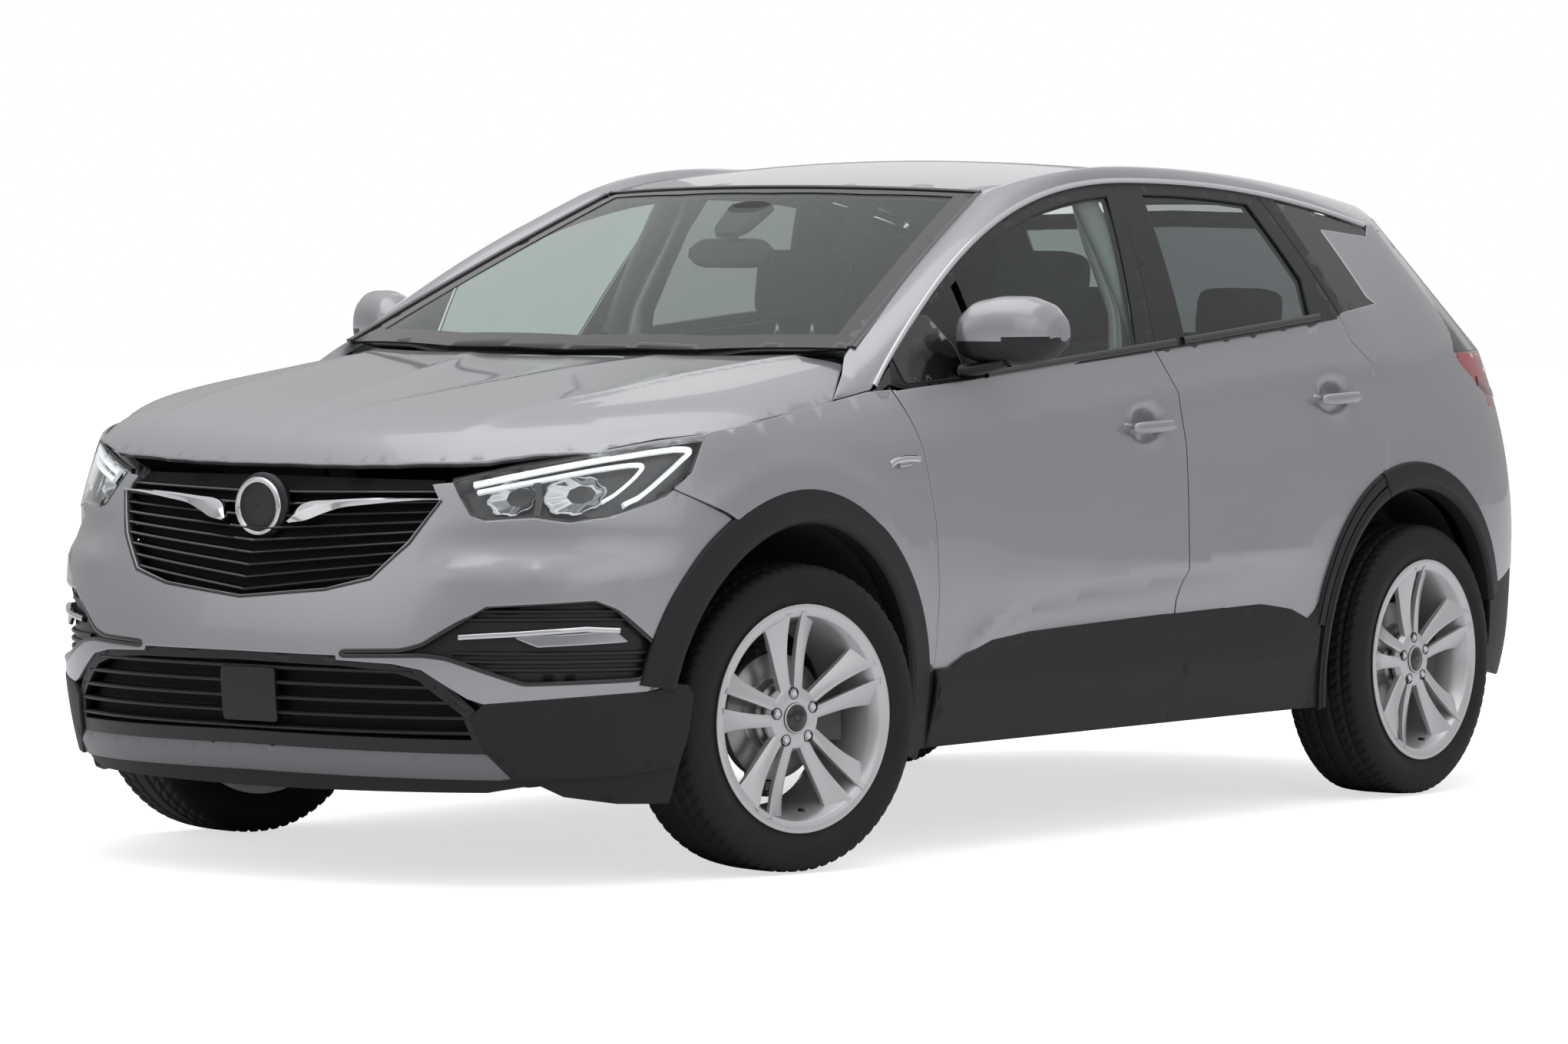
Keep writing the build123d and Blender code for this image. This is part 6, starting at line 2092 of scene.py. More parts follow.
# ------------------------------------------------------------------ bonnet, roof and screen
@dataclass
class Top:
    """Bonnet, cowl, windscreen, roof, aerial and their edges."""

    step: float = 30.0

    def bonnet(self) -> None:
        """Bonnet skin with its creases, rolled at the lip and wings, and a dark liner below."""
        outline = self.bonnet_outline()
        panel = Panel(self.over_lamps, outline, towards=(0, 0, 1), step=17.0, inset=3.0, radius=3.0,
                      hem=16.0, lines=[*self.crease(BONNET_CREASE), *self.crease(DOME_CREASE)])
        settle(panel.make("bonnet_skin", PAINT), "bonnet", "bonnet")
        low = Panel(lambda x, y: on_bonnet(x, y) - np.array([0, 0, 17.0]), grow(np.array(outline), -14),
                    towards=(0, 0, -1), step=50, inset=4.0, hem=2.0)
        settle(low.make("bonnet_liner", UNDERBODY), "bonnet")

    @staticmethod
    def over_lamps(x: Array, y: Array) -> Array:
        """The bonnet's top, kept above the grille and headlamps by a soft maximum of the two heights.

        Args:
            x: Places across.
            y: Places along the car.

        Returns:
            Points of the surface.
        """
        p = on_bonnet(x, y)
        least = lamp_top(x) + 2.0
        p[..., 2] = least + 5.0 * np.logaddexp(0.0, (p[..., 2] - least) / 5.0)
        return p

    @staticmethod
    def bonnet_outline() -> list:
        """Rim of the bonnet in plan: along the top of grille and lamps, the wing seam and the cowl."""
        x = np.array([0, 120, 230, 330, 428, 480, 540, 600, 660, 731, 770, 800, 830, 844], float)
        half = np.stack([x, np.maximum(nose_y(x, 905.0) + 3.0, nose_y(x, lamp_top(x) + 3.0) + 2.0)],
                        -1).tolist()
        return symmetric([*half, (848, -1600), (857, -1500), (856, -1350), (848, -1225), (841, -1148),
                          (738, -970), (372, -1056), (0, -1085)])

    @staticmethod
    def crease(line: Points) -> list:
        """A crease on both sides of the car as (x, y) lines inside the bonnet."""
        pts = [(x, y) for y, x in line if -2080 < y < -960]
        return [pts, [(-x, y) for x, y in pts]]

    def cowl(self) -> None:
        """Black grained tray between bonnet and windscreen."""
        plan = symmetric([(0, -1070), (372, -1040), (640, -978), (712, -944), (716, -925), (372, -1005),
                          (0, -1034)])

        def sunk(x: Array, y: Array) -> Array:
            """The windscreen's foot carried forward and sunk towards the bonnet."""
            return np.stack([x, y, screen_z(x, y) - 5.0 - 30 * np.clip((-1005 - y) / 60, 0, 1)], -1)

        panel = Panel(sunk, plan, towards=(0, 0, 1), step=26, hem=8.0)
        settle(panel.make("cowl_tray", CLADDING), "body", "scuttle")

    def screen(self) -> None:
        """Windscreen glass with a black border, sensor housing and inner mirror."""
        redress("windscreen", CLEAR_GLASS)
        half = [(0, -222), (280, -205), (559, -154), (742, -945), (372, -1029), (0, -1058)]
        inner = [(0, -256), (280, -240), (512, -196), (676, -900), (372, -968), (0, -996)]
        panel = Panel(lambda x, y: np.stack([x, y, screen_z(x, y) - 1.2], -1), symmetric(half),
                      towards=(0, 0, 1),
                      holes=[symmetric(inner)], step=24, inset=0.5, hem=1.4, radius=0.5, wall=0.5)
        settle(panel.make("screen_border", GLOSS_BLACK), "body")
        ys = np.linspace(-945, -165, 50)
        edge = np.stack([744.0 - 0.2308 * (ys + 945.0) + 3.0, ys], -1)
        both_sides(ribbon("screen_side_seal_left", on_screen, edge, 22.0, 4.5, GLOSS_BLACK,
                          towards=(0, 0, 1)), "body")
        x = np.linspace(-560, 560, 60)
        top = np.stack([x, -221 + 0.00022 * x**2], -1)
        settle(ribbon("screen_top_seal", on_screen, top, 12.0, 3.0, GLOSS_BLACK, towards=(0, 0, 1)), "body")
        t = np.linspace(0, 1, 12)
        path = np.stack([0 * t, -300 - 120 * t, screen_z(0 * t, -300 - 120 * t) - 14 - 24 * t], -1)
        housing = sweep("sensor_housing", path, oval(130, 34, 18, 3.5), (0, 0.4, 1),
                        np.interp(t, [0, 0.1, 0.8, 1], [0.7, 1, 0.8, 0.5]))
        settle(dress(housing, DASH_PLASTIC), "body")
        x = np.linspace(-125, 125, 26)
        path = np.stack([x, -400 + 0 * x, 1382 + 0 * x], -1)
        mirror = sweep("inner_mirror", path, oval(26, 72, 20, 3.2), (0, 0.25, 1),
                       np.clip(1 - np.abs(x / 128) ** 7, 0.35, 1))
        settle(dress(mirror, DASH_PLASTIC), "body")
        path = np.stack([0 * t, -392 + 5 * t, 1400 + 52 * t], -1)
        settle(dress(sweep("inner_mirror_stalk", path, oval(26, 20, 12), (0, 1, 0)), DASH_PLASTIC), "body")

    def roof(self) -> None:
        """Roof skin, its lining, the joints beside it and the aerial."""
        ys = np.linspace(-152, 1436, 24)
        xs = np.interp(ys, [-152, 100, 1100, 1440], [561, 600, 600, 575])
        half = [(0, 1436), *np.stack([xs, ys], -1)[::-1].tolist(), (280, -203), (0, -220)]
        panel = Panel(on_roof, symmetric(half), towards=(0, 0, 1), step=46, inset=1.5, radius=2.5, hem=12.0)
        settle(panel.make("roof_skin", PAINT), "body", "roof")
        lining = Panel(lambda x, y: on_roof(x, y) - np.array([0, 0, 34.0]),
                       grow(np.array(symmetric(half)), -18), towards=(0, 0, -1), step=60, hem=3.0)
        settle(lining.make("headlining", PALE_LINING), "body")
        joint = np.stack([xs + 1.5, ys], -1)
        both_sides(ribbon("roof_joint_left", on_roof, joint, 8.0, 1.0, SEAL, towards=(0, 0, 1), out=-1.0),
                   "body")
        t = np.linspace(0, 1, 22)
        y = 1236 + 112 * t
        h = 38 * np.clip(t / 0.82, 0, 1) ** 1.3 * np.where(t > 0.82, np.clip((1 - t) / 0.18, 0, 1) ** 0.5, 1)
        base = roof_z(0, y) - 2
        a = np.linspace(0, 2 * np.pi, 16, endpoint=False)
        width = 16 * np.sin(np.pi * np.clip(t * 0.94 + 0.03, 0, 1)) ** 0.5
        height = np.clip((np.sin(a) + 1) / 2, 0, 1)
        rings = np.stack([
            (width[:, None] * np.cos(a)) * (1 - 0.82 * height**0.8),
            np.repeat(y[:, None], 16, 1) + 10 * height * t[:, None],
            base[:, None] + h[:, None] * height,
        ], -1)
        settle(dress(tube("aerial_fin", rings), GLOSS_BLACK), "body")

    def build(self) -> None:
        """Makes every piece."""
        self.bonnet()
        self.cowl()
        self.screen()
        self.roof()


# ------------------------------------------------------------------ tail
@dataclass
class Tail:
    """Tailgate, rear screen, spoiler, tail lamps and rear bumper."""

    step: float = 26.0

    def gate(self) -> None:
        """Tailgate skins below and above the glass, with a plate recess and grip bar."""

        def flat(x: Array, z: Array) -> Array:
            """The tail's surface over x and z."""
            return np.stack([x, tail_y(x, z), z], -1)

        def pressed(x: Array, z: Array) -> Array:
            """The tail with the plate recess sunk in and a crest above it.

            Args:
                x: Places across.
                z: Heights.

            Returns:
                Points of the surface.
            """
            p = flat(x, z)
            recess = np.exp(-((np.abs(x) / 330.0) ** 6)) * np.exp(-(((z - 800.0) / 75.0) ** 6))
            crest = ridge(z - 1010.0 + 0.03 * np.abs(x), 26.0, 60.0) * np.exp(-((np.abs(x) / 560.0) ** 6))
            p[..., 1] += -26.0 * recess + 9.0 * crest - 8.0
            return p

        lower = symmetric([(0, 692), (545, 700), (590, 780), (614, 985), (617, 1134), (600, 1150),
                           (0, 1150)])
        panel = Panel(pressed, lower, towards=(0, 1, 0), step=self.step, inset=6.0, radius=3.0, hem=24.0,
                      lines=[[(x, 1010 - 0.03 * abs(x)) for x in np.linspace(-590, 590, 30)]])
        settle(panel.make("tailgate_skin", PAINT), "tailgate", "tailgate")
        window = symmetric([(0, 1168), (556, 1174), (594, 1192), (536, 1330), (486, 1460), (0, 1470)])
        rim = symmetric([(0, 1146), (612, 1150), (646, 1160), (598, 1330), (560, 1486), (0, 1500)])
        frame_rim = Panel(flat, rim, towards=(0, 1, 0.5), holes=[window], step=24, inset=3.0, hem=20.0)
        settle(frame_rim.make("rear_screen_frame", GLOSS_BLACK), "tailgate")
        redress("tailgate_glass", DARK_GLASS)
        inner = Panel(lambda x, z: flat(x, z) - np.array([0, 58.0, 0]), grow(np.array(lower), -30),
                      towards=(0, -1, 0), step=50, hem=3.0, inset=4.0)
        settle(inner.make("tailgate_lining", DASH_PLASTIC), "tailgate")
        bar = [(x, tail_y(x, 902.0) + 2.0, 902.0) for x in np.linspace(-300, 300, 50)]
        grip = sweep("tailgate_grip_bar", np.array(bar, float), oval(24, 16, 12, 3.0), (0, 0, 1))
        settle(dress(grip, CHROME), "tailgate")
        t = np.linspace(0, 1, 24)
        path = np.stack([-20 + 330 * t, tail_y(-20 + 330 * t, 1190.0) + 9, 1196 - 12 * t], -1)
        settle(dress(sweep("rear_wiper", path, oval(16, 10, 10), (0, 1, 0.4), 1.1 - 0.7 * t), SATIN_BLACK),
               "tailgate")
        y0 = float(tail_y(0, 1192)) + 2
        hub = revolve("rear_wiper_hub", [(y0 - 14, 0), (y0 - 14, 26), (y0 + 8, 22), (y0 + 14, 12),
                                         (y0 + 15, 0)], 1,
                      (-20, 0, 1192), 40)
        settle(dress(hub, SATIN_BLACK), "tailgate")
        y0 = float(tail_y(0, 1040))
        disc = [(y0 - 6, 0), (y0 - 6, 42), (y0 + 3, 42), (y0 + 6, 38), (y0 + 7, 0)]
        settle(dress(revolve("tail_badge_blank", disc, 1, (0, 0, 1052), 64), CHROME), "tailgate")

    def spoiler(self) -> None:
        """Roof spoiler: body-colour top and underside that overhang the glass, with black side blades."""
        x = np.linspace(-564, 564, 61)[:, None]
        edge_y = 1592 - 40 * (np.abs(x) / 564) ** 2.2
        t = np.linspace(0, 1, 12)[None]
        y = 1445 + (edge_y - 1445) * t
        top = np.stack([x + 0 * t, y, roof_z(x, y) - 1.0 - 2.0 * t], -1)
        back_t = t[:, ::-1]
        yb = 1445 + (edge_y - 4 - 1445) * back_t
        under = np.stack([x + 0 * t, yb, roof_z(x, yb) - 12.0 - 12.0 * (1 - back_t)], -1)
        rings = np.concatenate([top, under], axis=1)
        settle(dress(crisp(tube("spoiler", rings), 3.0, 3), PAINT), "tailgate")
        z = np.linspace(1498, 1180, 26)
        inner_x = np.interp(z, [1134, 1155, 1330, 1500], [620, 650, 602, 562])
        path = np.stack([inner_x - 10, z], -1)
        blade = ribbon("screen_blade_left", lambda x, z: np.stack([x, tail_y(x, z), z], -1), path, 34.0, 9.0,
                       GLOSS_BLACK, towards=(0.3, 1, 0.5))
        both_sides(blade, "tailgate")
        x = np.linspace(-150, 150, 20)
        path = np.stack([x, 1588.0 - 34 * (np.abs(x) / 552) ** 2.2, roof_z(x, 1590) - 13], -1)
        settle(dress(sweep("high_stop_lamp", path, oval(8, 12, 10, 3), (0, 0, 1)), DARK_RED), "tailgate")

    def lamps(self) -> None:
        """Wrap-round red lamps on the body and their inner parts on the tailgate."""
        side = [(1604, 1128), (1621, 1106), (1779, 1017), (1790, 990), (1840, 988)]
        low = [(float(tail_u_at(y, z)), z) for y, z in side]
        rear = [(float(tail_u(x, z)), z) for x, z in ((800, 984), (700, 984), (626, 986), (628, 1128),
                                                      (740, 1130))]
        panel = Panel(on_tail, [*low, *rear], towards=(1, 1, 0), step=20, inset=2.0, radius=4.0, hem=20.0,
                      wall=3.0)
        both_sides(panel.make("tail_lamp_left", RED_LENS), "body", "tail_lamps")
        band = [(float(tail_u(x, z)), z) for x, z in ((800, 1084), (740, 1080), (640, 1078))]
        both_sides(ribbon("tail_lamp_band_left", on_tail, dense(band, 20, False), 9.0, 3.0, LIGHT_GUIDE,
                          towards=(1, 1, 0)), "body")
        band = [(float(tail_u_at(y, z)), z) for y, z in ((1720, 1056), (1800, 1030), (1860, 1024))]
        band += [(float(tail_u(x, z)), z) for x, z in ((740, 1020), (640, 1018))]
        both_sides(ribbon("tail_lamp_line_left", on_tail, dense(band, 20, False), 26.0, 2.0, DARK_RED,
                          towards=(1, 1, 0)), "body")
        wing = [(608, 992), (540, 1004), (470, 1050), (462, 1086), (520, 1110), (608, 1124)]
        gate = Panel(lambda x, z: np.stack([x, tail_y(x, z) - 4.0, z], -1), wing, towards=(0, 1, 0), step=18,
                     inset=1.5, raise_by=4.0, hem=16.0, clean=14.0)
        both_sides(gate.make("tailgate_lamp_left", RED_LENS), "tailgate")

    def bumper(self) -> None:
        """Body-colour upper bumper, black lower bumper, silver skid insert and reflectors."""
        panel = Panel(on_tail, symmetric([(0, 690.0), *self.upper_half()]), towards=(0, 1, 0),
                      step=self.step, inset=2.0, hem=22.0)
        settle(panel.make("rear_bumper_skin", PAINT), "body", "rear_bumper")
        half = [(0, 556.0), (float(tail_u(560, 556)), 556.0), (float(tail_u(760, 576)), 576.0)]
        half += [(float(tail_u_at(y, z)), z) for y, z in ((1900, 556), (1800, 530),
                                                          *arc(*REAR_ARCH, 446, 20, -8, 6))]
        half += [(float(tail_u_at(1900, 280)), 280.0), (float(tail_u(600, 275)), 275.0), (0, 275.0)]
        panel = Panel(on_tail, symmetric(half), towards=(0, 1, 0), step=self.step, raise_by=-2.0, inset=2.0,
                      hem=26.0)
        settle(panel.make("rear_bumper_lower", CLADDING), "body")
        skid = symmetric([(0, 420), (430, 420), (500, 340), (470, 285), (0, 285)])
        skid = [(float(tail_u(x, z)), z) for x, z in dense(skid, 40)]
        panel = Panel(on_tail, skid, towards=(0, 1, 0), step=26, raise_by=0.0, inset=0.0, radius=4.0,
                      hem=8.0)
        settle(panel.make("rear_skid", BARE_SILVER), "body")
        line = [(float(tail_u(x, 520)), 520.0) for x in np.linspace(560, 740, 12)]
        both_sides(ribbon("rear_reflector_left", on_tail, line, 26.0, 4.0, DARK_RED, towards=(0.5, 1, 0),
                          out=-3.5), "body")

    @staticmethod
    def upper_half() -> list:
        """Left half of the upper rear bumper's rim in the tail lift's parameters."""
        x_z = [(545, 692), (590, 776), (616, 982), (700, 982), (780, 984)]
        half = [(float(tail_u(x, z)), z) for x, z in dense(x_z, 30, False)]
        y_z = [(1840, 986), (1788, 986), (1765, 857), (1728, 786), (1694, 748),
               *arc(*REAR_ARCH, 446, 47, 20, 8), (1800, 534), (1900, 560)]
        half += [(float(tail_u_at(y, z)), z) for y, z in dense(y_z, 30, False)]
        return [*half, (float(tail_u(760, 580)), 580.0), (float(tail_u(560, 560)), 560.0), (0, 560.0)]

    def build(self) -> None:
        """Makes every piece."""
        self.gate()
        self.spoiler()
        self.lamps()
        self.bumper()


# ------------------------------------------------------------------ wheels
@dataclass
class Wheel:
    """One road wheel: treaded tyre, spoked rim, bolts, cap, valve and brake disc.

    Everything is made about the wheel's centre with the axle on X and its outer face towards +X, then
    turned and placed.
    """

    where: str
    side: str
    half_width: float = 112.5
    rim_r: float = 256.0
    ribs: tuple[float, ...] = (-62.0, -24.0, 24.0, 62.0)
    blocks: int = 70
    turned: float = -6.0

    @property
    def sign(self) -> int:
        """1 on the left, -1 on the right."""
        return 1 if self.side == "left" else -1

    def place(self, piece: bpy.types.Object) -> bpy.types.Object:
        """Moves a piece from the wheel's own frame to the car's.

        Args:
            piece: A piece made about the origin.

        Returns:
            The same piece.
        """
        mesh = piece.data
        co = np.zeros(len(mesh.vertices) * 3)
        mesh.vertices.foreach_get("co", co)
        co = co.reshape(-1, 3) / MM
        if self.sign < 0:
            co[:, 0] *= -1
            mesh.flip_normals()
        if self.where == "front":
            turn = -PARKED_STEER
            pin = np.array([-KINGPIN_INSET * self.sign, 0, 0])
            c, s = np.cos(turn), np.sin(turn)
            co = (co - pin) @ np.array([[c, s, 0], [-s, c, 0], [0, 0, 1]]) + pin
            co += np.array([self.sign * FRONT_TRACK, FRONT_AXLE_Y, TYRE_R])
        else:
            co += np.array([self.sign * REAR_TRACK, REAR_AXLE_Y, TYRE_R])
        mesh.vertices.foreach_set("co", (co * MM).ravel())
        mesh.update()
        return piece

    def put(self, piece: bpy.types.Object, finish: Finish, *nodes: str) -> None:
        """Dresses, places and settles a piece on the wheel's body."""
        dress(self.place(piece), finish)
        settle(piece, f"{self.where}_wheel_{self.side}", *nodes)

    def tyre(self) -> None:
        """Tyre: one closed section turned round, with grooves and blocks cut into the tread by radius.

        Tread radius = crown - groove depth * (near a rib groove) - slot depth * (a slanted sipe pattern).
        """
        w = self.half_width
        across = np.linspace(-w + 22, w - 22, 57)
        crown = TYRE_R - 0.8 - 4.0 * np.abs(across / (w - 22)) ** 3.2
        right = [(w - 12, TYRE_R - 14), (w - 5, TYRE_R - 28), (w - 1.0, TYRE_R - 44),
                 (w - 0.8, self.rim_r + 36),
                 (w - 3, self.rim_r + 21), (w - 4.2, self.rim_r + 19), (w - 4.4, self.rim_r + 17),
                 (w - 8, self.rim_r + 8),
                 (w - 9, self.rim_r + 2), (w - 12, self.rim_r - 5), (w - 20, self.rim_r - 16)]
        left = [(-x, r) for x, r in right[::-1]]
        section = np.array([*left, *zip(across, crown), *right])
        count = 560
        a = np.linspace(0, 2 * np.pi, count, endpoint=False)
        x = np.repeat(section[None, :, 0], count, 0)
        r = np.repeat(section[None, :, 1], count, 0)
        tread = np.abs(x) < w - 20
        groove = np.zeros_like(x)
        for rib in self.ribs:
            groove = np.maximum(groove, np.clip(1.6 - np.abs(x - rib) / 4.2, 0, 1))
        phase = (a[:, None] * self.blocks / (2 * np.pi) + np.abs(x) / 46.0 + 0.5 * (np.abs(x) < 24)) % 1.0
        sipe = np.clip(1.7 - np.abs(phase - 0.5) * 9.0, 0, 1) * (np.abs(x) > 27)
        r = r - tread * np.maximum(6.0 * groove, 4.5 * sipe)
        shoulder = (np.abs(x) >= w - 20) & (r > TYRE_R - 34)
        nick = np.clip(1.7 - np.abs(((a[:, None] * self.blocks / (2 * np.pi) + w / 46.0) % 1.0) - 0.5) * 9.0,
                       0, 1)
        r = r - shoulder * 2.5 * nick
        verts = np.stack([x, r * np.cos(a)[:, None], r * np.sin(a)[:, None]], -1)
        inner = len(section)
        piece = mesh_object(f"{self.where}_tyre_{self.side}_skin", verts.reshape(-1, 3),
                            grid_faces(count, inner, True, True))
        if self.inward(piece):
            piece.data.flip_normals()
        self.put(piece, RUBBER, f"{self.where}_tyre_{self.side}")

    @staticmethod
    def inward(piece: bpy.types.Object) -> bool:
        """Whether the face that lies furthest from the axle points towards it."""
        far = max(piece.data.polygons, key=lambda f: f.center.y**2 + f.center.z**2)
        return far.normal.y * far.center.y + far.normal.z * far.center.z < 0

    def rim(self) -> None:
        """Barrel and lip turned round, five pairs of twisted blades, and a dished hub."""
        lip = [(103, 230), (108, 240), (110, 250), (109, 256.5), (105, 257), (102, 252), (98, 243),
               (88, 232), (60, 222),
               (-60, 210), (-98, 232), (-104, 252), (-107, 252), (-104, 230), (-62, 204), (60, 212),
               (95, 225)]
        parts = [revolve("rim", lip, 0, (0, 0, 0), 128)]
        hub = [(44, 0.0), (44, 60), (50, 72), (62, 76), (76, 68), (80, 52), (79, 34), (76, 32), (76, 0.0)]
        parts.append(revolve("hub", hub, 0, (0, 0, 0), 96))
        t = np.linspace(0, 1, 18)
        for k in range(5):
            for hand in (-1, 1):
                middle = 2 * np.pi * k / 5 + np.radians(self.turned)
                angle = middle + hand * np.radians(17.5 - 8.5 * t**0.6 + 3.0 * t**3)
                r = 50 + (238 - 50) * t
                face = 77 + 21 * t - 9 * np.sin(np.pi * t)
                width = 17 + 7 * t + 17 * t**3
                lean = hand * (4 + 12 * t)
                shape = np.array([(-1, -18), (-1, -1.5), (-0.72, 0.5), (0.72, 0.5), (1, -1.5), (1, -18),
                                  (0.6, -24), (-0.6, -24)])
                side = shape[None, :, 0] * width[:, None] / 1.25
                slope = side / 20.0 * lean[:, None] * 0.55
                depth = face[:, None] + shape[None, :, 1] * (1.0 - 0.35 * t[:, None]) - slope
                cy = r[:, None] * np.sin(angle)[:, None] + side * np.cos(angle)[:, None]
                cz = r[:, None] * np.cos(angle)[:, None] - side * np.sin(angle)[:, None]
                parts.append(tube("blade", np.stack([depth, cy, cz], -1)))
        whole = join(f"{self.where}_rim_{self.side}_face", parts)
        self.put(crisp(whole, 1.6, 2), WHEEL_SILVER, f"{self.where}_rim_{self.side}")

    def fixings(self) -> None:
        """Five bolts in dark wells, a plain cap and the valve."""
        bolts, wells = [], []
        for k in range(5):
            a = 2 * np.pi * k / 5 + np.radians(self.turned)
            cy, cz = 56 * np.sin(a), 56 * np.cos(a)
            wells.append(revolve(f"w{k}", [(74, 0), (74, 13.5), (80.5, 13.5), (80.8, 11.8), (76, 11.2),
                                           (76, 0)], 0, (0, cy, cz), 24))
            bolts.append(revolve(f"b{k}", [(76, 0), (76, 8.5), (82, 8.5), (84, 6), (84, 0)], 0,
                                 (0, cy, cz), 6))
        self.put(join(f"{self.where}_bolt_wells_{self.side}", wells), HOLLOW)
        self.put(crisp(join(f"{self.where}_bolts_{self.side}", bolts), 0.6), CHROME)
        cap = [(74, 0), (74, 32), (82, 31), (85, 27), (86.5, 12), (86.5, 0)]
        self.put(revolve(f"{self.where}_cap_{self.side}", cap, 0, (0, 0, 0), 64), GLOSS_BLACK)
        ring = [(80, 31.5), (80, 34), (83.5, 33.5), (84, 31), (82, 30)]
        self.put(revolve(f"{self.where}_cap_ring_{self.side}", ring, 0, (0, 0, 0), 64), WHEEL_SILVER)
        valve_place = (0, 0, -205)
        stem = [(92, 0), (92, 4), (104, 3.4), (105, 4.4), (108, 4.2), (109, 0)]
        self.put(revolve(f"{self.where}_valve_{self.side}", stem, 0, valve_place, 16), SATIN_BLACK)

    def brake(self) -> None:
        """Turned brake disc with its hat."""
        section = [(-16, 80), (-16, 142), (-13, 143), (5, 143), (8, 142), (8, 92), (10, 86), (33, 84),
                   (41, 80), (41, 30), (36, 30), (36, 74), (30, 78), (-10, 78)]
        self.put(revolve(f"{self.where}_disc_{self.side}", section, 0, (0, 0, 0), 160), DISC_IRON,
                 f"{self.where}_brake_disc_{self.side}")

    def build(self) -> None:
        """Makes every piece."""
        self.tyre()
        self.rim()
        self.fixings()
        self.brake()


# ------------------------------------------------------------------ mirrors
@dataclass
class DoorMirror:
    """Door mirror: painted cap, black base and arm, and glass."""

    sections: tuple = ((846, 34, 34, 1192, -622), (853, 62, 58, 1197, -616), (880, 82, 76, 1202, -602),
                       (930, 89, 85, 1204, -580), (980, 86, 84, 1204, -557), (1018, 70, 68, 1203, -539),
                       (1040, 44, 42, 1200, -524), (1047, 16, 15, 1199, -516))

    def build(self) -> None:
        """Makes the pieces of both mirrors."""
        s = np.array(self.sections, float)
        t = np.linspace(0, 1, 30)
        k = np.linspace(0, 1, len(s))
        x, ry, rz, cz, cy = (np.interp(t, k, s[:, i]) for i in range(5))
        a = np.linspace(0, 2 * np.pi, 48, endpoint=False)
        power = 2.5
        reach = (np.abs(np.sin(a)) ** power + np.abs(np.cos(a)) ** power) ** (-1 / power)
        y = cy[:, None] - ry[:, None] * reach * np.cos(a)
        z = cz[:, None] + rz[:, None] * reach * np.sin(a) * np.where(np.sin(a) < 0, 0.9, 1.0)
        y = np.minimum(y, -478.0)
        rings = np.stack([np.repeat(x[:, None], 48, 1), y, z], -1)
        shell = tube("mirror_shell_left", rings)
        mesh = shell.data
        dress(shell, PAINT)
        mesh.materials.append(material(SATIN_BLACK))
        centre = np.zeros(len(mesh.polygons) * 3)
        mesh.polygons.foreach_get("center", centre)
        centre = centre.reshape(-1, 3) / MM
        low = centre[:, 2] < 1186 + 0.05 * (centre[:, 0] - 900)
        mesh.polygons.foreach_set("material_index", low.astype(np.int32))
        both_sides(crisp(shell, 2.0), "front_door_left", "mirror_left")
        x = np.linspace(0, 1, 14)
        path = spline([(842, -622, 1114), (868, -616, 1118), (905, -604, 1126), (940, -590, 1136)], 14)
        arm = sweep("mirror_arm_left", path, oval(92, 30, 18, 3.0), (0, 0, 1), 1.1 - 0.25 * x)
        both_sides(dress(arm, SATIN_BLACK), "front_door_left")
        rim = [(-852, 1090), (-700, 1098), (-628, 1104), (-640, 1170), (-692, 1240),
               *rail_line(-725, -866, 6, 7.0)]
        sail = Panel(on_cabin, rim, step=16, raise_by=1.5, inset=0.5, clean=8.0)
        both_sides(sail.make("mirror_sail_left", GLOSS_BLACK), "front_door_left")
        a = np.linspace(0, 2 * np.pi, 40, endpoint=False)
        gx = 952 + 72 * np.cos(a)
        gy = np.minimum(np.interp(gx, s[:, 0], s[:, 4] + s[:, 1]), -478) + 1.0
        face = np.stack([gx, gy, 1203 + 62 * np.sin(a)], -1)
        rings = np.stack([face * 1.0, face + np.array([0, 3.0, 0])])
        both_sides(dress(tube("mirror_glass_left", rings), MIRROR_GLASS), "front_door_left")


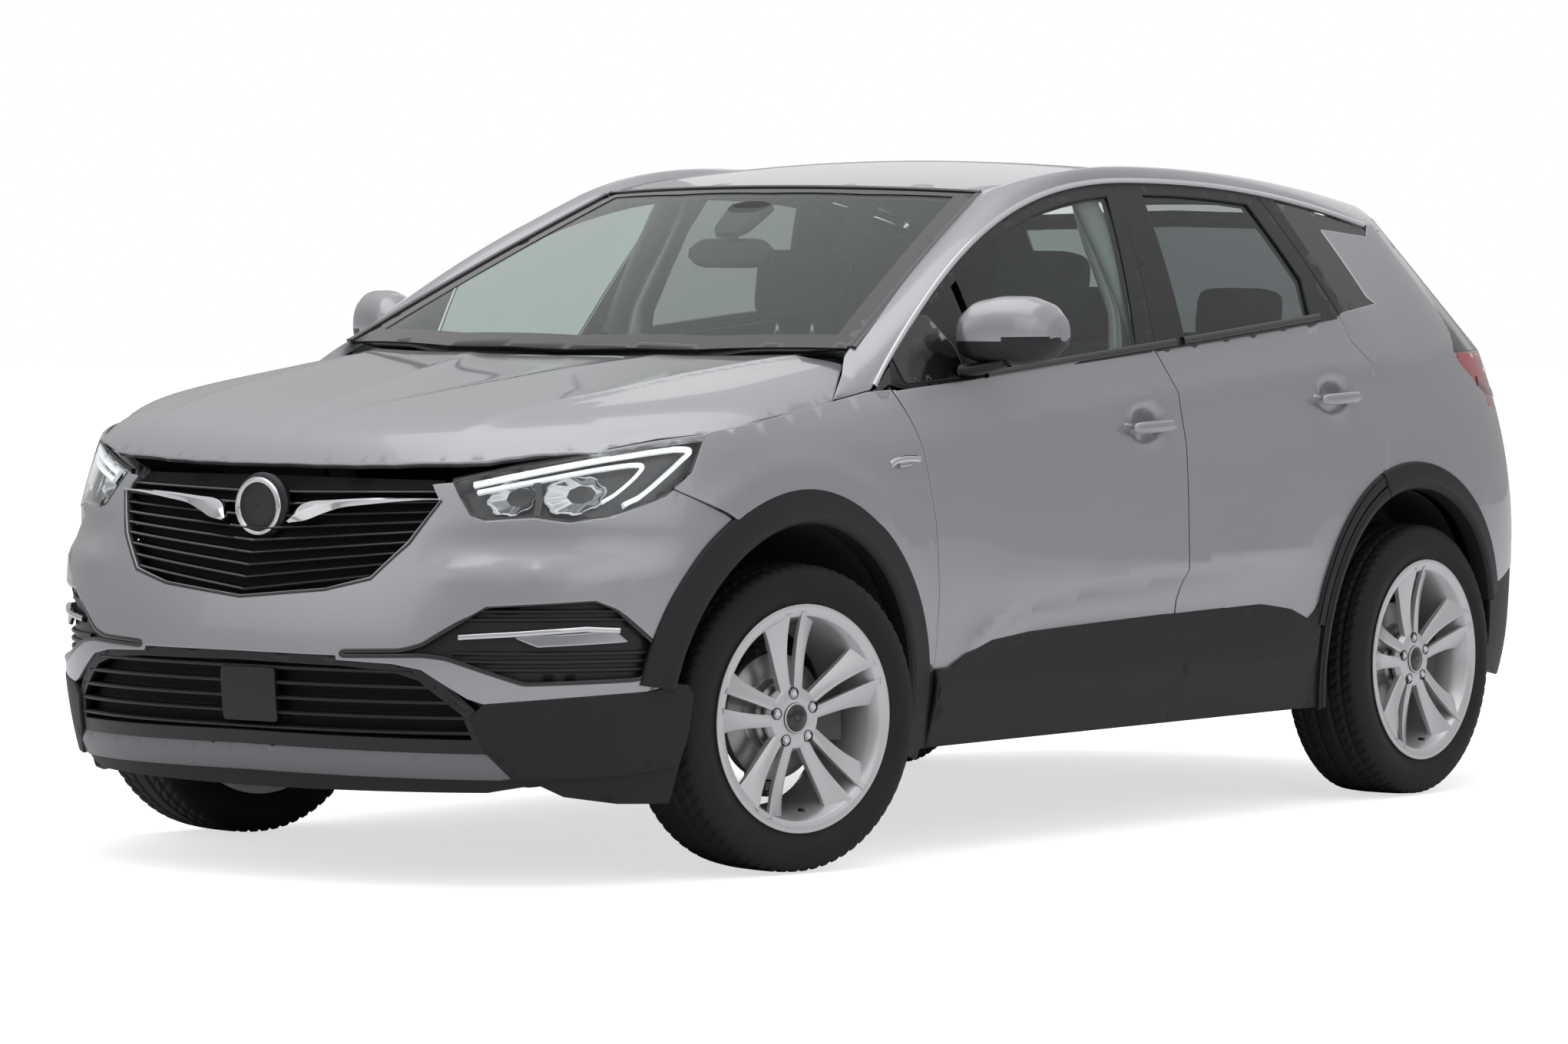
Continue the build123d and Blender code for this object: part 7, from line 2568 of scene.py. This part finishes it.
# ------------------------------------------------------------------ cabin
@dataclass
class Cabin:
    """Dashboard, wheel, seats, bench, linings and floor covering."""

    seat_x: float = 370.0

    def cushion(self, name: str, middle: Sequence[float], size: Sequence[float], lean: float, puff: float,
                finish: Finish = CLOTH, fullness: float = 0.6, channels: Sequence[float] = (),
                bolster: float = 0.0) -> None:
        """A crowned pad: a superellipsoid whose faces swell, with sewn channels across and raised sides.

        Args:
            name: The piece's name.
            middle: Its centre.
            size: Width, thickness and height along its own axes.
            lean: Degrees it leans back about X.
            puff: Swell of its faces.
            finish: Its finish.
            fullness: How full it is, 0 slack to 1 tight.
            channels: Heights of sewn channels, from -1 to 1.
            bolster: How far its sides stand forward.
        """
        u = np.linspace(-np.pi, np.pi, 72, endpoint=False)[None]
        v = np.linspace(-np.pi / 2, np.pi / 2, 41)[:, None]

        def power(value: Array, e: float) -> Array:
            """A power that keeps the sign."""
            return np.sign(value) * np.abs(value) ** e

        x = power(np.cos(v), 0.35) * power(np.cos(u), 0.35)
        y = power(np.cos(v), 0.35) * power(np.sin(u), 0.55)
        z = power(np.sin(v), 0.42) + 0 * u
        w, d, h = (s / 2 for s in size)
        front = (y < 0) * np.clip(-y, 0, 1)
        crown = puff * (1 - x**2) * (1 - z**2)
        sewn = sum((5.0 * np.exp(-(((z - c) / 0.025) ** 2)) for c in channels), 0.0 * x)
        sides = bolster * np.exp(-(((np.abs(x) - 0.84) / 0.16) ** 2)) * (1 - 0.5 * z**4)
        seam = 4.0 * np.exp(-(((np.abs(x) - 0.62) / 0.03) ** 2))
        px, py, pz = x * w, y * d - front * (crown + sides - sewn - seam), z * h
        tilt = np.radians(lean)
        qy = py * np.cos(tilt) + pz * np.sin(tilt)
        qz = -py * np.sin(tilt) + pz * np.cos(tilt)
        pts = np.stack([px + middle[0], qy + middle[1], qz + middle[2]], -1)
        verts = np.concatenate([pts[:1].mean(axis=1), pts[1:-1].reshape(-1, 3), pts[-1:].mean(axis=1)])
        n = 72
        ring = np.arange(n)
        faces = [[0, int(1 + (i + 1) % n), int(1 + i)] for i in ring]
        faces += [[1 + f for f in quad] for quad in grid_faces(39, n, wrap_v=True, flip=True)]
        last = 1 + 38 * n
        faces += [[int(last + i), int(last + (i + 1) % n), last + n] for i in ring]
        piece = mesh_object(name, verts, faces)
        top = max(piece.data.polygons, key=lambda f: f.center.z)
        if top.normal.z < 0:
            piece.data.flip_normals()
        soft = piece.modifiers.new("soft", "SUBSURF")
        soft.levels = soft.render_levels = 1
        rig.padded(dress(piece, finish), fullness)

    def seats(self) -> None:
        """Front seats with side bolsters and headrests, and the rear bench."""
        for side, x in (("left", self.seat_x), ("right", -self.seat_x)):
            pads = (
                (f"seat_base_{side}", (x, 5, 505), (500, 150, 470), -82.0, 12.0, (-0.35, 0.3), 26.0),
                (f"seat_back_{side}", (x, 292, 862), (480, 130, 600), 15.5, 14.0, (-0.3, 0.2, 0.62), 30.0),
                (f"headrest_{side}", (x, 398, 1300), (250, 92, 178), 9.0, 12.0, (), 0.0),
            )
            for name, middle, size, lean, puff, channels, bolster in pads:
                self.cushion(name, middle, size, lean, puff, channels=channels, bolster=bolster)
                piece = bpy.data.objects[name]
                settle(piece, "body", *(["front_seats"] if name.startswith("seat_base") else []))
            posts = []
            for px in (x - 55, x + 55):
                path = np.array([(px, 352, 1130), (px, 372, 1180), (px, 385, 1225)], float)
                posts.append(sweep("post", path, oval(13, 13, 12), (1, 0, 0)))
            settle(dress(join(f"headrest_posts_{side}", posts), CHROME), "body")
            rails = []
            for px in (x - 215, x + 215):
                path = np.array([(px, -230, 300), (px, 0, 300), (px, 215, 300)], float)
                rails.append(sweep("rail", path, oval(40, 34, 12, 5.0), (0, 0, 1)))
                path = np.array([(px, -60, 310), (px, -60, 360), (px, -60, 420)], float)
                rails.append(sweep("riser", path, oval(36, 260, 12, 5.0), (1, 0, 0)))
            settle(dress(crisp(join(f"seat_rails_{side}", rails), 3.0), SATIN_BLACK), "body")
            t = np.linspace(0, 1, 12)
            path = np.stack([x + 0 * t, 345 + t * 75, 560 + 560 * t], -1)
            shell = sweep(f"seat_shell_{side}", path, oval(440, 26, 24, 5.0), (0, -1, 0.2))
            settle(dress(crisp(shell, 4.0), DASH_PLASTIC), "body")
        self.cushion("bench_base", (0, 845, 520), (1240, 130, 440), -86.0, 10.0, channels=(-0.4, 0.3),
                     bolster=10.0)
        settle(bpy.data.objects["bench_base"], "body", "rear_seat")
        self.cushion("bench_back", (0, 1180, 860), (1240, 110, 560), 13.0, 12.0, channels=(-0.4, 0.1, 0.55),
                     bolster=14.0)
        settle(bpy.data.objects["bench_back"], "body")
        for name, x in (("left", 400), ("middle", 0), ("right", -400)):
            self.cushion(f"rear_headrest_{name}", (x, 1268, 1224), (240, 74, 140), 9.0, 9.0)
            settle(bpy.data.objects[f"rear_headrest_{name}"], "body")

    def dashboard(self) -> None:
        """Padded dash with a binnacle, vents, screen, console and gear lever."""
        x = np.linspace(-690, 690, 90)
        profile = np.array([(-950, 1030), (-900, 1056), (-800, 1072), (-690, 1062), (-610, 1032),
                            (-572, 985), (-568, 930),
                            (-600, 840), (-640, 740), (-700, 700), (-940, 700)], float)
        fine = soften(profile, 40, 4)
        bump = 34 * np.exp(-(((x - 370) / 150) ** 4))
        lift_top = np.clip((fine[:, 1] - 980) / 80, 0, 1)
        fore, share = fine[None, :, 0], np.abs(x)[:, None] / 690
        y = np.repeat(fore, len(x), 0) + 40 * share**3 * (fore > -700)
        raised = bump[:, None] * lift_top * np.clip((fore + 860) / 100, 0, 1)
        z = np.repeat(fine[None, :, 1], len(x), 0) + raised
        rings = np.stack([np.repeat(x[:, None], len(fine), 1), y, z], -1)
        settle(dress(tube("dash_top", rings), DASH_PLASTIC), "body", "dashboard")
        panel = np.stack([np.linspace(-150, 150, 9), np.full(9, -562.0), np.full(9, 968.0)], -1)
        settle(dress(sweep("centre_screen", panel, oval(18, 150, 16, 6.0), (0, 0.3, 1)), GLOSS_BLACK),
               "body")
        for name, vx in (("left", 610), ("mid_left", 215), ("mid_right", -215), ("right", -610)):
            ring = [(-584 + a, r) for a, r in ((0, 34), (12, 38), (16, 34), (10, 28), (0, 0))]
            settle(dress(revolve(f"vent_{name}", ring, 1, (vx, 0, 930), 32), CHROME), "body")
        t = np.linspace(0, 1, 20)
        path = np.stack([0 * t, -600 + 650 * t, 560 - 60 * t], -1)
        settle(dress(crisp(sweep("console", path, oval(210, 240, 20, 5.0), (0, 0, 1)), 6.0), DASH_PLASTIC),
               "body")
        path = np.array([(0, -330, 660), (4, -322, 720), (8, -312, 770)], float)
        settle(dress(sweep("gear_lever", path, oval(30, 30, 16), (0, 1, 0), np.array([0.5, 0.6, 1.3])),
                     GLOSS_BLACK), "body")

    def wheel(self) -> None:
        """Leather rim, three spokes and a plain hub pad, turned as the road wheels are."""
        rake, turn = np.radians(24.0), -PARKED_STEER * 15.0
        hub = np.array([370.0, -455.0, 985.0])
        ex = np.array([1.0, 0, 0])
        ez = np.array([0.0, np.cos(rake), np.sin(rake)])
        ey = np.cross(ez, ex)
        frame_axes = np.stack([ex * np.cos(turn) + ey * np.sin(turn), -ex * np.sin(turn) + ey * np.cos(turn),
                               ez])
        a = np.linspace(0, 2 * np.pi, 96, endpoint=False)[:, None]
        b = np.linspace(0, 2 * np.pi, 20, endpoint=False)[None]
        grip = 14.5 + 2.0 * np.exp(-((np.sin(a) - 0.5) ** 2) / 0.02)
        r = 182 + grip * np.cos(b)
        local = np.stack([r * np.cos(a), r * np.sin(a), grip * np.sin(b) * 0.95], -1)
        rim = mesh_object("steering_rim", local.reshape(-1, 3) @ frame_axes + hub,
                          grid_faces(96, 20, True, True))
        settle(dress(rim, DASH_PLASTIC), "steering_wheel", "steering_wheel")
        spokes = []
        for angle, wide in ((0, 44), (180, 44), (270, 36)):
            t = np.linspace(0, 1, 9)
            c, s = np.cos(np.radians(angle)), np.sin(np.radians(angle))
            rad = 40 + 134 * t
            path = np.stack([rad * c, rad * s, -4 + 0 * t], -1) @ frame_axes + hub
            spokes.append(sweep("spoke", path, oval(wide, 18, 14, 3.0), ez, 1.1 - 0.35 * t))
        settle(dress(join("steering_spokes", spokes), SATIN_BLACK), "steering_wheel")
        b = np.linspace(0, 2 * np.pi, 40, endpoint=False)
        rows = [(0.2, -22), (0.9, -21), (1.0, -10), (0.98, 6), (0.86, 14), (0.5, 19), (0.05, 20)]
        pad = np.stack([np.stack([62 * k * np.cos(b), 54 * k * np.sin(b), np.full(40, h * -1.0)], -1) for k,
                        h in rows])
        piece = tube("steering_pad", pad @ frame_axes + hub)
        settle(dress(piece, DASH_PLASTIC), "steering_wheel")

    def linings(self) -> None:
        """Carpet on the floor pan and boot, and side linings behind the doors."""
        for name, y0, y1, z in (("cabin", -940, 995, 284.0), ("boot", 1030, 2030, 432.0)):
            half = 690 if name == "cabin" else 630
            rim = [(-half, y0), (half, y0), (half, y1), (-half, y1)]

            def bumps(x: Array, y: Array, z: float = z) -> Array:
                """The floor covering's slow waves."""
                return np.stack([x, y, z + 4 + 2 * np.sin(x / 90) * np.sin(y / 110)], -1)

            panel = Panel(bumps, rim, towards=(0, 0, 1), step=70, hem=3.0, inset=2.0)
            settle(panel.make(f"{name}_carpet", CARPET), "body")
        cover = [(-560, 1330), (560, 1330), (540, 1900), (-540, 1900)]
        shelf = Panel(lambda x, y: np.stack([x, y, 1075 + 6 * np.cos(x / 300)], -1), cover,
                      towards=(0, 0, 1), step=60, hem=8.0, clean=20.0)
        settle(shelf.make("parcel_shelf", CARPET), "body")
        wall = Panel(lambda y, z: np.stack([np.interp(z, [430, 900, 1120], [655, 690, 700]) + 0 * y, y, z],
                                           -1),
                     [(1030, 440), (1980, 440), (1900, 1100), (1250, 1100), (1150, 1020)],
                     towards=(-1, 0, 0), step=50, hem=4.0)
        both_sides(wall.make("boot_lining_left", CARPET), "body")

    def build(self) -> None:
        """Makes every piece."""
        self.seats()
        self.dashboard()
        self.wheel()
        self.linings()


# ------------------------------------------------------------------ what stays from the CAD
def dress_chassis() -> None:
    """Gives the structural nodes that stay visible their own finishes."""
    for node, finish in (
        ("floor_pan", UNDERBODY), ("wheel_liners", UNDERBODY), ("engine", CAST), ("exhaust", STEEL),
        ("front_subframe", UNDERBODY), ("rear_axle", CAST), ("knuckle_left", CAST), ("knuckle_right", CAST),
    ):
        redress(node, finish)


# ------------------------------------------------------------------ studio
@dataclass
class Studio:
    """Pale floor, even light and the camera."""

    camera_at: tuple[float, float, float] = (9.4258, -13.1188, 1.4042)
    azimuth: float = 36.6327
    elevation: float = 2.0605
    roll: float = 0.1758
    lens: float = 149.91
    shift: tuple[float, float] = (0.0407, -0.0269)

    def camera(self) -> None:
        """Places the camera by its azimuth, elevation and roll."""
        data = bpy.data.cameras.new("camera")
        data.lens, data.sensor_width, data.sensor_fit = self.lens, 36.0, "HORIZONTAL"
        data.shift_x, data.shift_y = self.shift
        data.clip_end = 200.0
        cam = bpy.data.objects.new("camera", data)
        bpy.context.scene.collection.objects.link(cam)
        az, el = np.radians(self.azimuth), np.radians(self.elevation)
        ahead = Vector((-np.sin(az) * np.cos(el), np.cos(az) * np.cos(el), -np.sin(el)))
        turn = ahead.to_track_quat("-Z", "Y").to_matrix().to_4x4()
        tilt = Matrix.Rotation(np.radians(self.roll), 4, "Z")
        cam.matrix_world = Matrix.Translation(self.camera_at) @ turn @ tilt
        bpy.context.scene.camera = cam

    def floor(self) -> None:
        """White floor that keeps soft shadows: its own light for the camera adds to the light it receives."""
        r = np.array([0.0, 4.0, 12.0, 60.0])[:, None]
        a = np.linspace(0, 2 * np.pi, 64, endpoint=False)[None]
        verts = np.stack([r * np.cos(a), r * np.sin(a), 0 * r * a - 0.0004], -1).reshape(-1, 3) / MM
        piece = mesh_object("floor", verts, grid_faces(4, 64, wrap_v=True))
        if piece.data.polygons[70].normal.z < 0:
            piece.data.flip_normals()
        mat = bpy.data.materials.new("studio floor")
        mat.use_nodes = True
        tree = mat.node_tree
        shader = tree.nodes["Principled BSDF"]
        shader.inputs["Base Color"].default_value = (0.8, 0.8, 0.8, 1)
        shader.inputs["Roughness"].default_value = 0.9
        shader.inputs["Specular IOR Level"].default_value = 0.1
        path = tree.nodes.new("ShaderNodeLightPath")
        seen = math_node(tree, "MAXIMUM", path.outputs["Is Camera Ray"], path.outputs["Is Transmission Ray"])
        light = math_node(tree, "MULTIPLY", seen, 0.66)
        tree.links.new(light, shader.inputs["Emission Strength"])
        shader.inputs["Emission Color"].default_value = (1, 1, 1, 1)
        piece.data.materials.append(mat)
        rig.stage(piece)

    def light(self) -> None:
        """Soft overhead panel, weaker side panels and a pale surround."""
        for name, where, size, power, aim in (
            ("top", (0.5, -1.0, 7.5), (9.0, 10.0), 185.0, (0, 0, 0.5)),
            ("left", (8.5, -3.0, 3.6), (7.0, 4.0), 38.0, (0, 0, 0.7)),
            ("front", (-3.0, -9.0, 4.0), (7.0, 4.0), 34.0, (0, 0, 0.7)),
            ("rear", (-3.0, 9.0, 4.5), (8.0, 4.0), 40.0, (0, 0, 0.7)),
        ):
            data = bpy.data.lights.new(name, "AREA")
            data.shape, data.size, data.size_y, data.energy = "RECTANGLE", size[0], size[1], power
            lamp = bpy.data.objects.new(name, data)
            lamp.location = where
            lamp.rotation_euler = (Vector(aim) - Vector(where)).to_track_quat("-Z", "Y").to_euler()
            bpy.context.scene.collection.objects.link(lamp)
        world = bpy.data.worlds.new("surround")
        bpy.context.scene.world = world
        world.use_nodes = True
        tree = world.node_tree
        back = tree.nodes["Background"]
        where = tree.nodes.new("ShaderNodeTexCoord").outputs["Generated"]
        split = tree.nodes.new("ShaderNodeSeparateXYZ")
        tree.links.new(where, split.inputs[0])
        ramp = tree.nodes.new("ShaderNodeValToRGB")
        ground, zenith = ramp.color_ramp.elements[0], ramp.color_ramp.elements[1]
        ground.position, zenith.position = 0.46, 1.0
        ground.color, zenith.color = (0.08, 0.08, 0.085, 1), (0.85, 0.86, 0.9, 1)
        for at, level in ((0.50, 0.34), (0.6, 0.46), (0.78, 0.66)):
            ramp.color_ramp.elements.new(at).color = (level, level, level * 1.02, 1)
        tree.links.new(math_node(tree, "MULTIPLY_ADD", split.outputs["Z"], 0.5, 0.5), ramp.inputs[0])
        path = tree.nodes.new("ShaderNodeLightPath")
        white = math_node(tree, "MAXIMUM", path.outputs["Is Camera Ray"],
                          path.outputs["Is Transmission Ray"])
        mix = tree.nodes.new("ShaderNodeMix")
        mix.data_type = "RGBA"
        mix.inputs["B"].default_value = (1, 1, 1, 1)
        tree.links.new(white, mix.inputs["Factor"])
        tree.links.new(ramp.outputs[0], mix.inputs["A"])
        tree.links.new(mix.outputs["Result"], back.inputs["Color"])

    def build(self) -> None:
        """Makes the stage."""
        bpy.context.scene.view_settings.view_transform = "Standard"
        self.camera()
        self.floor()
        self.light()


def main() -> None:
    """Builds every sub-assembly in order and writes the two boxes."""
    logging.basicConfig(level=logging.INFO, format="%(message)s")
    Studio().build()
    BodySides().build()
    FRONT_DOOR.build()
    REAR_DOOR.build()
    DoorMirror().build()
    FrontEnd().build()
    Top().build()
    Tail().build()
    for where in ("front", "rear"):
        for side in ("left", "right"):
            Wheel(where, side).build()
    Cabin().build()
    dress_chassis()
    with open("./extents.json", "w") as out:
        json.dump({"cad": CAD_BOX, "visual": [list(corner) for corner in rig.bounds()]}, out)


if __name__ == "__main__":
    main()
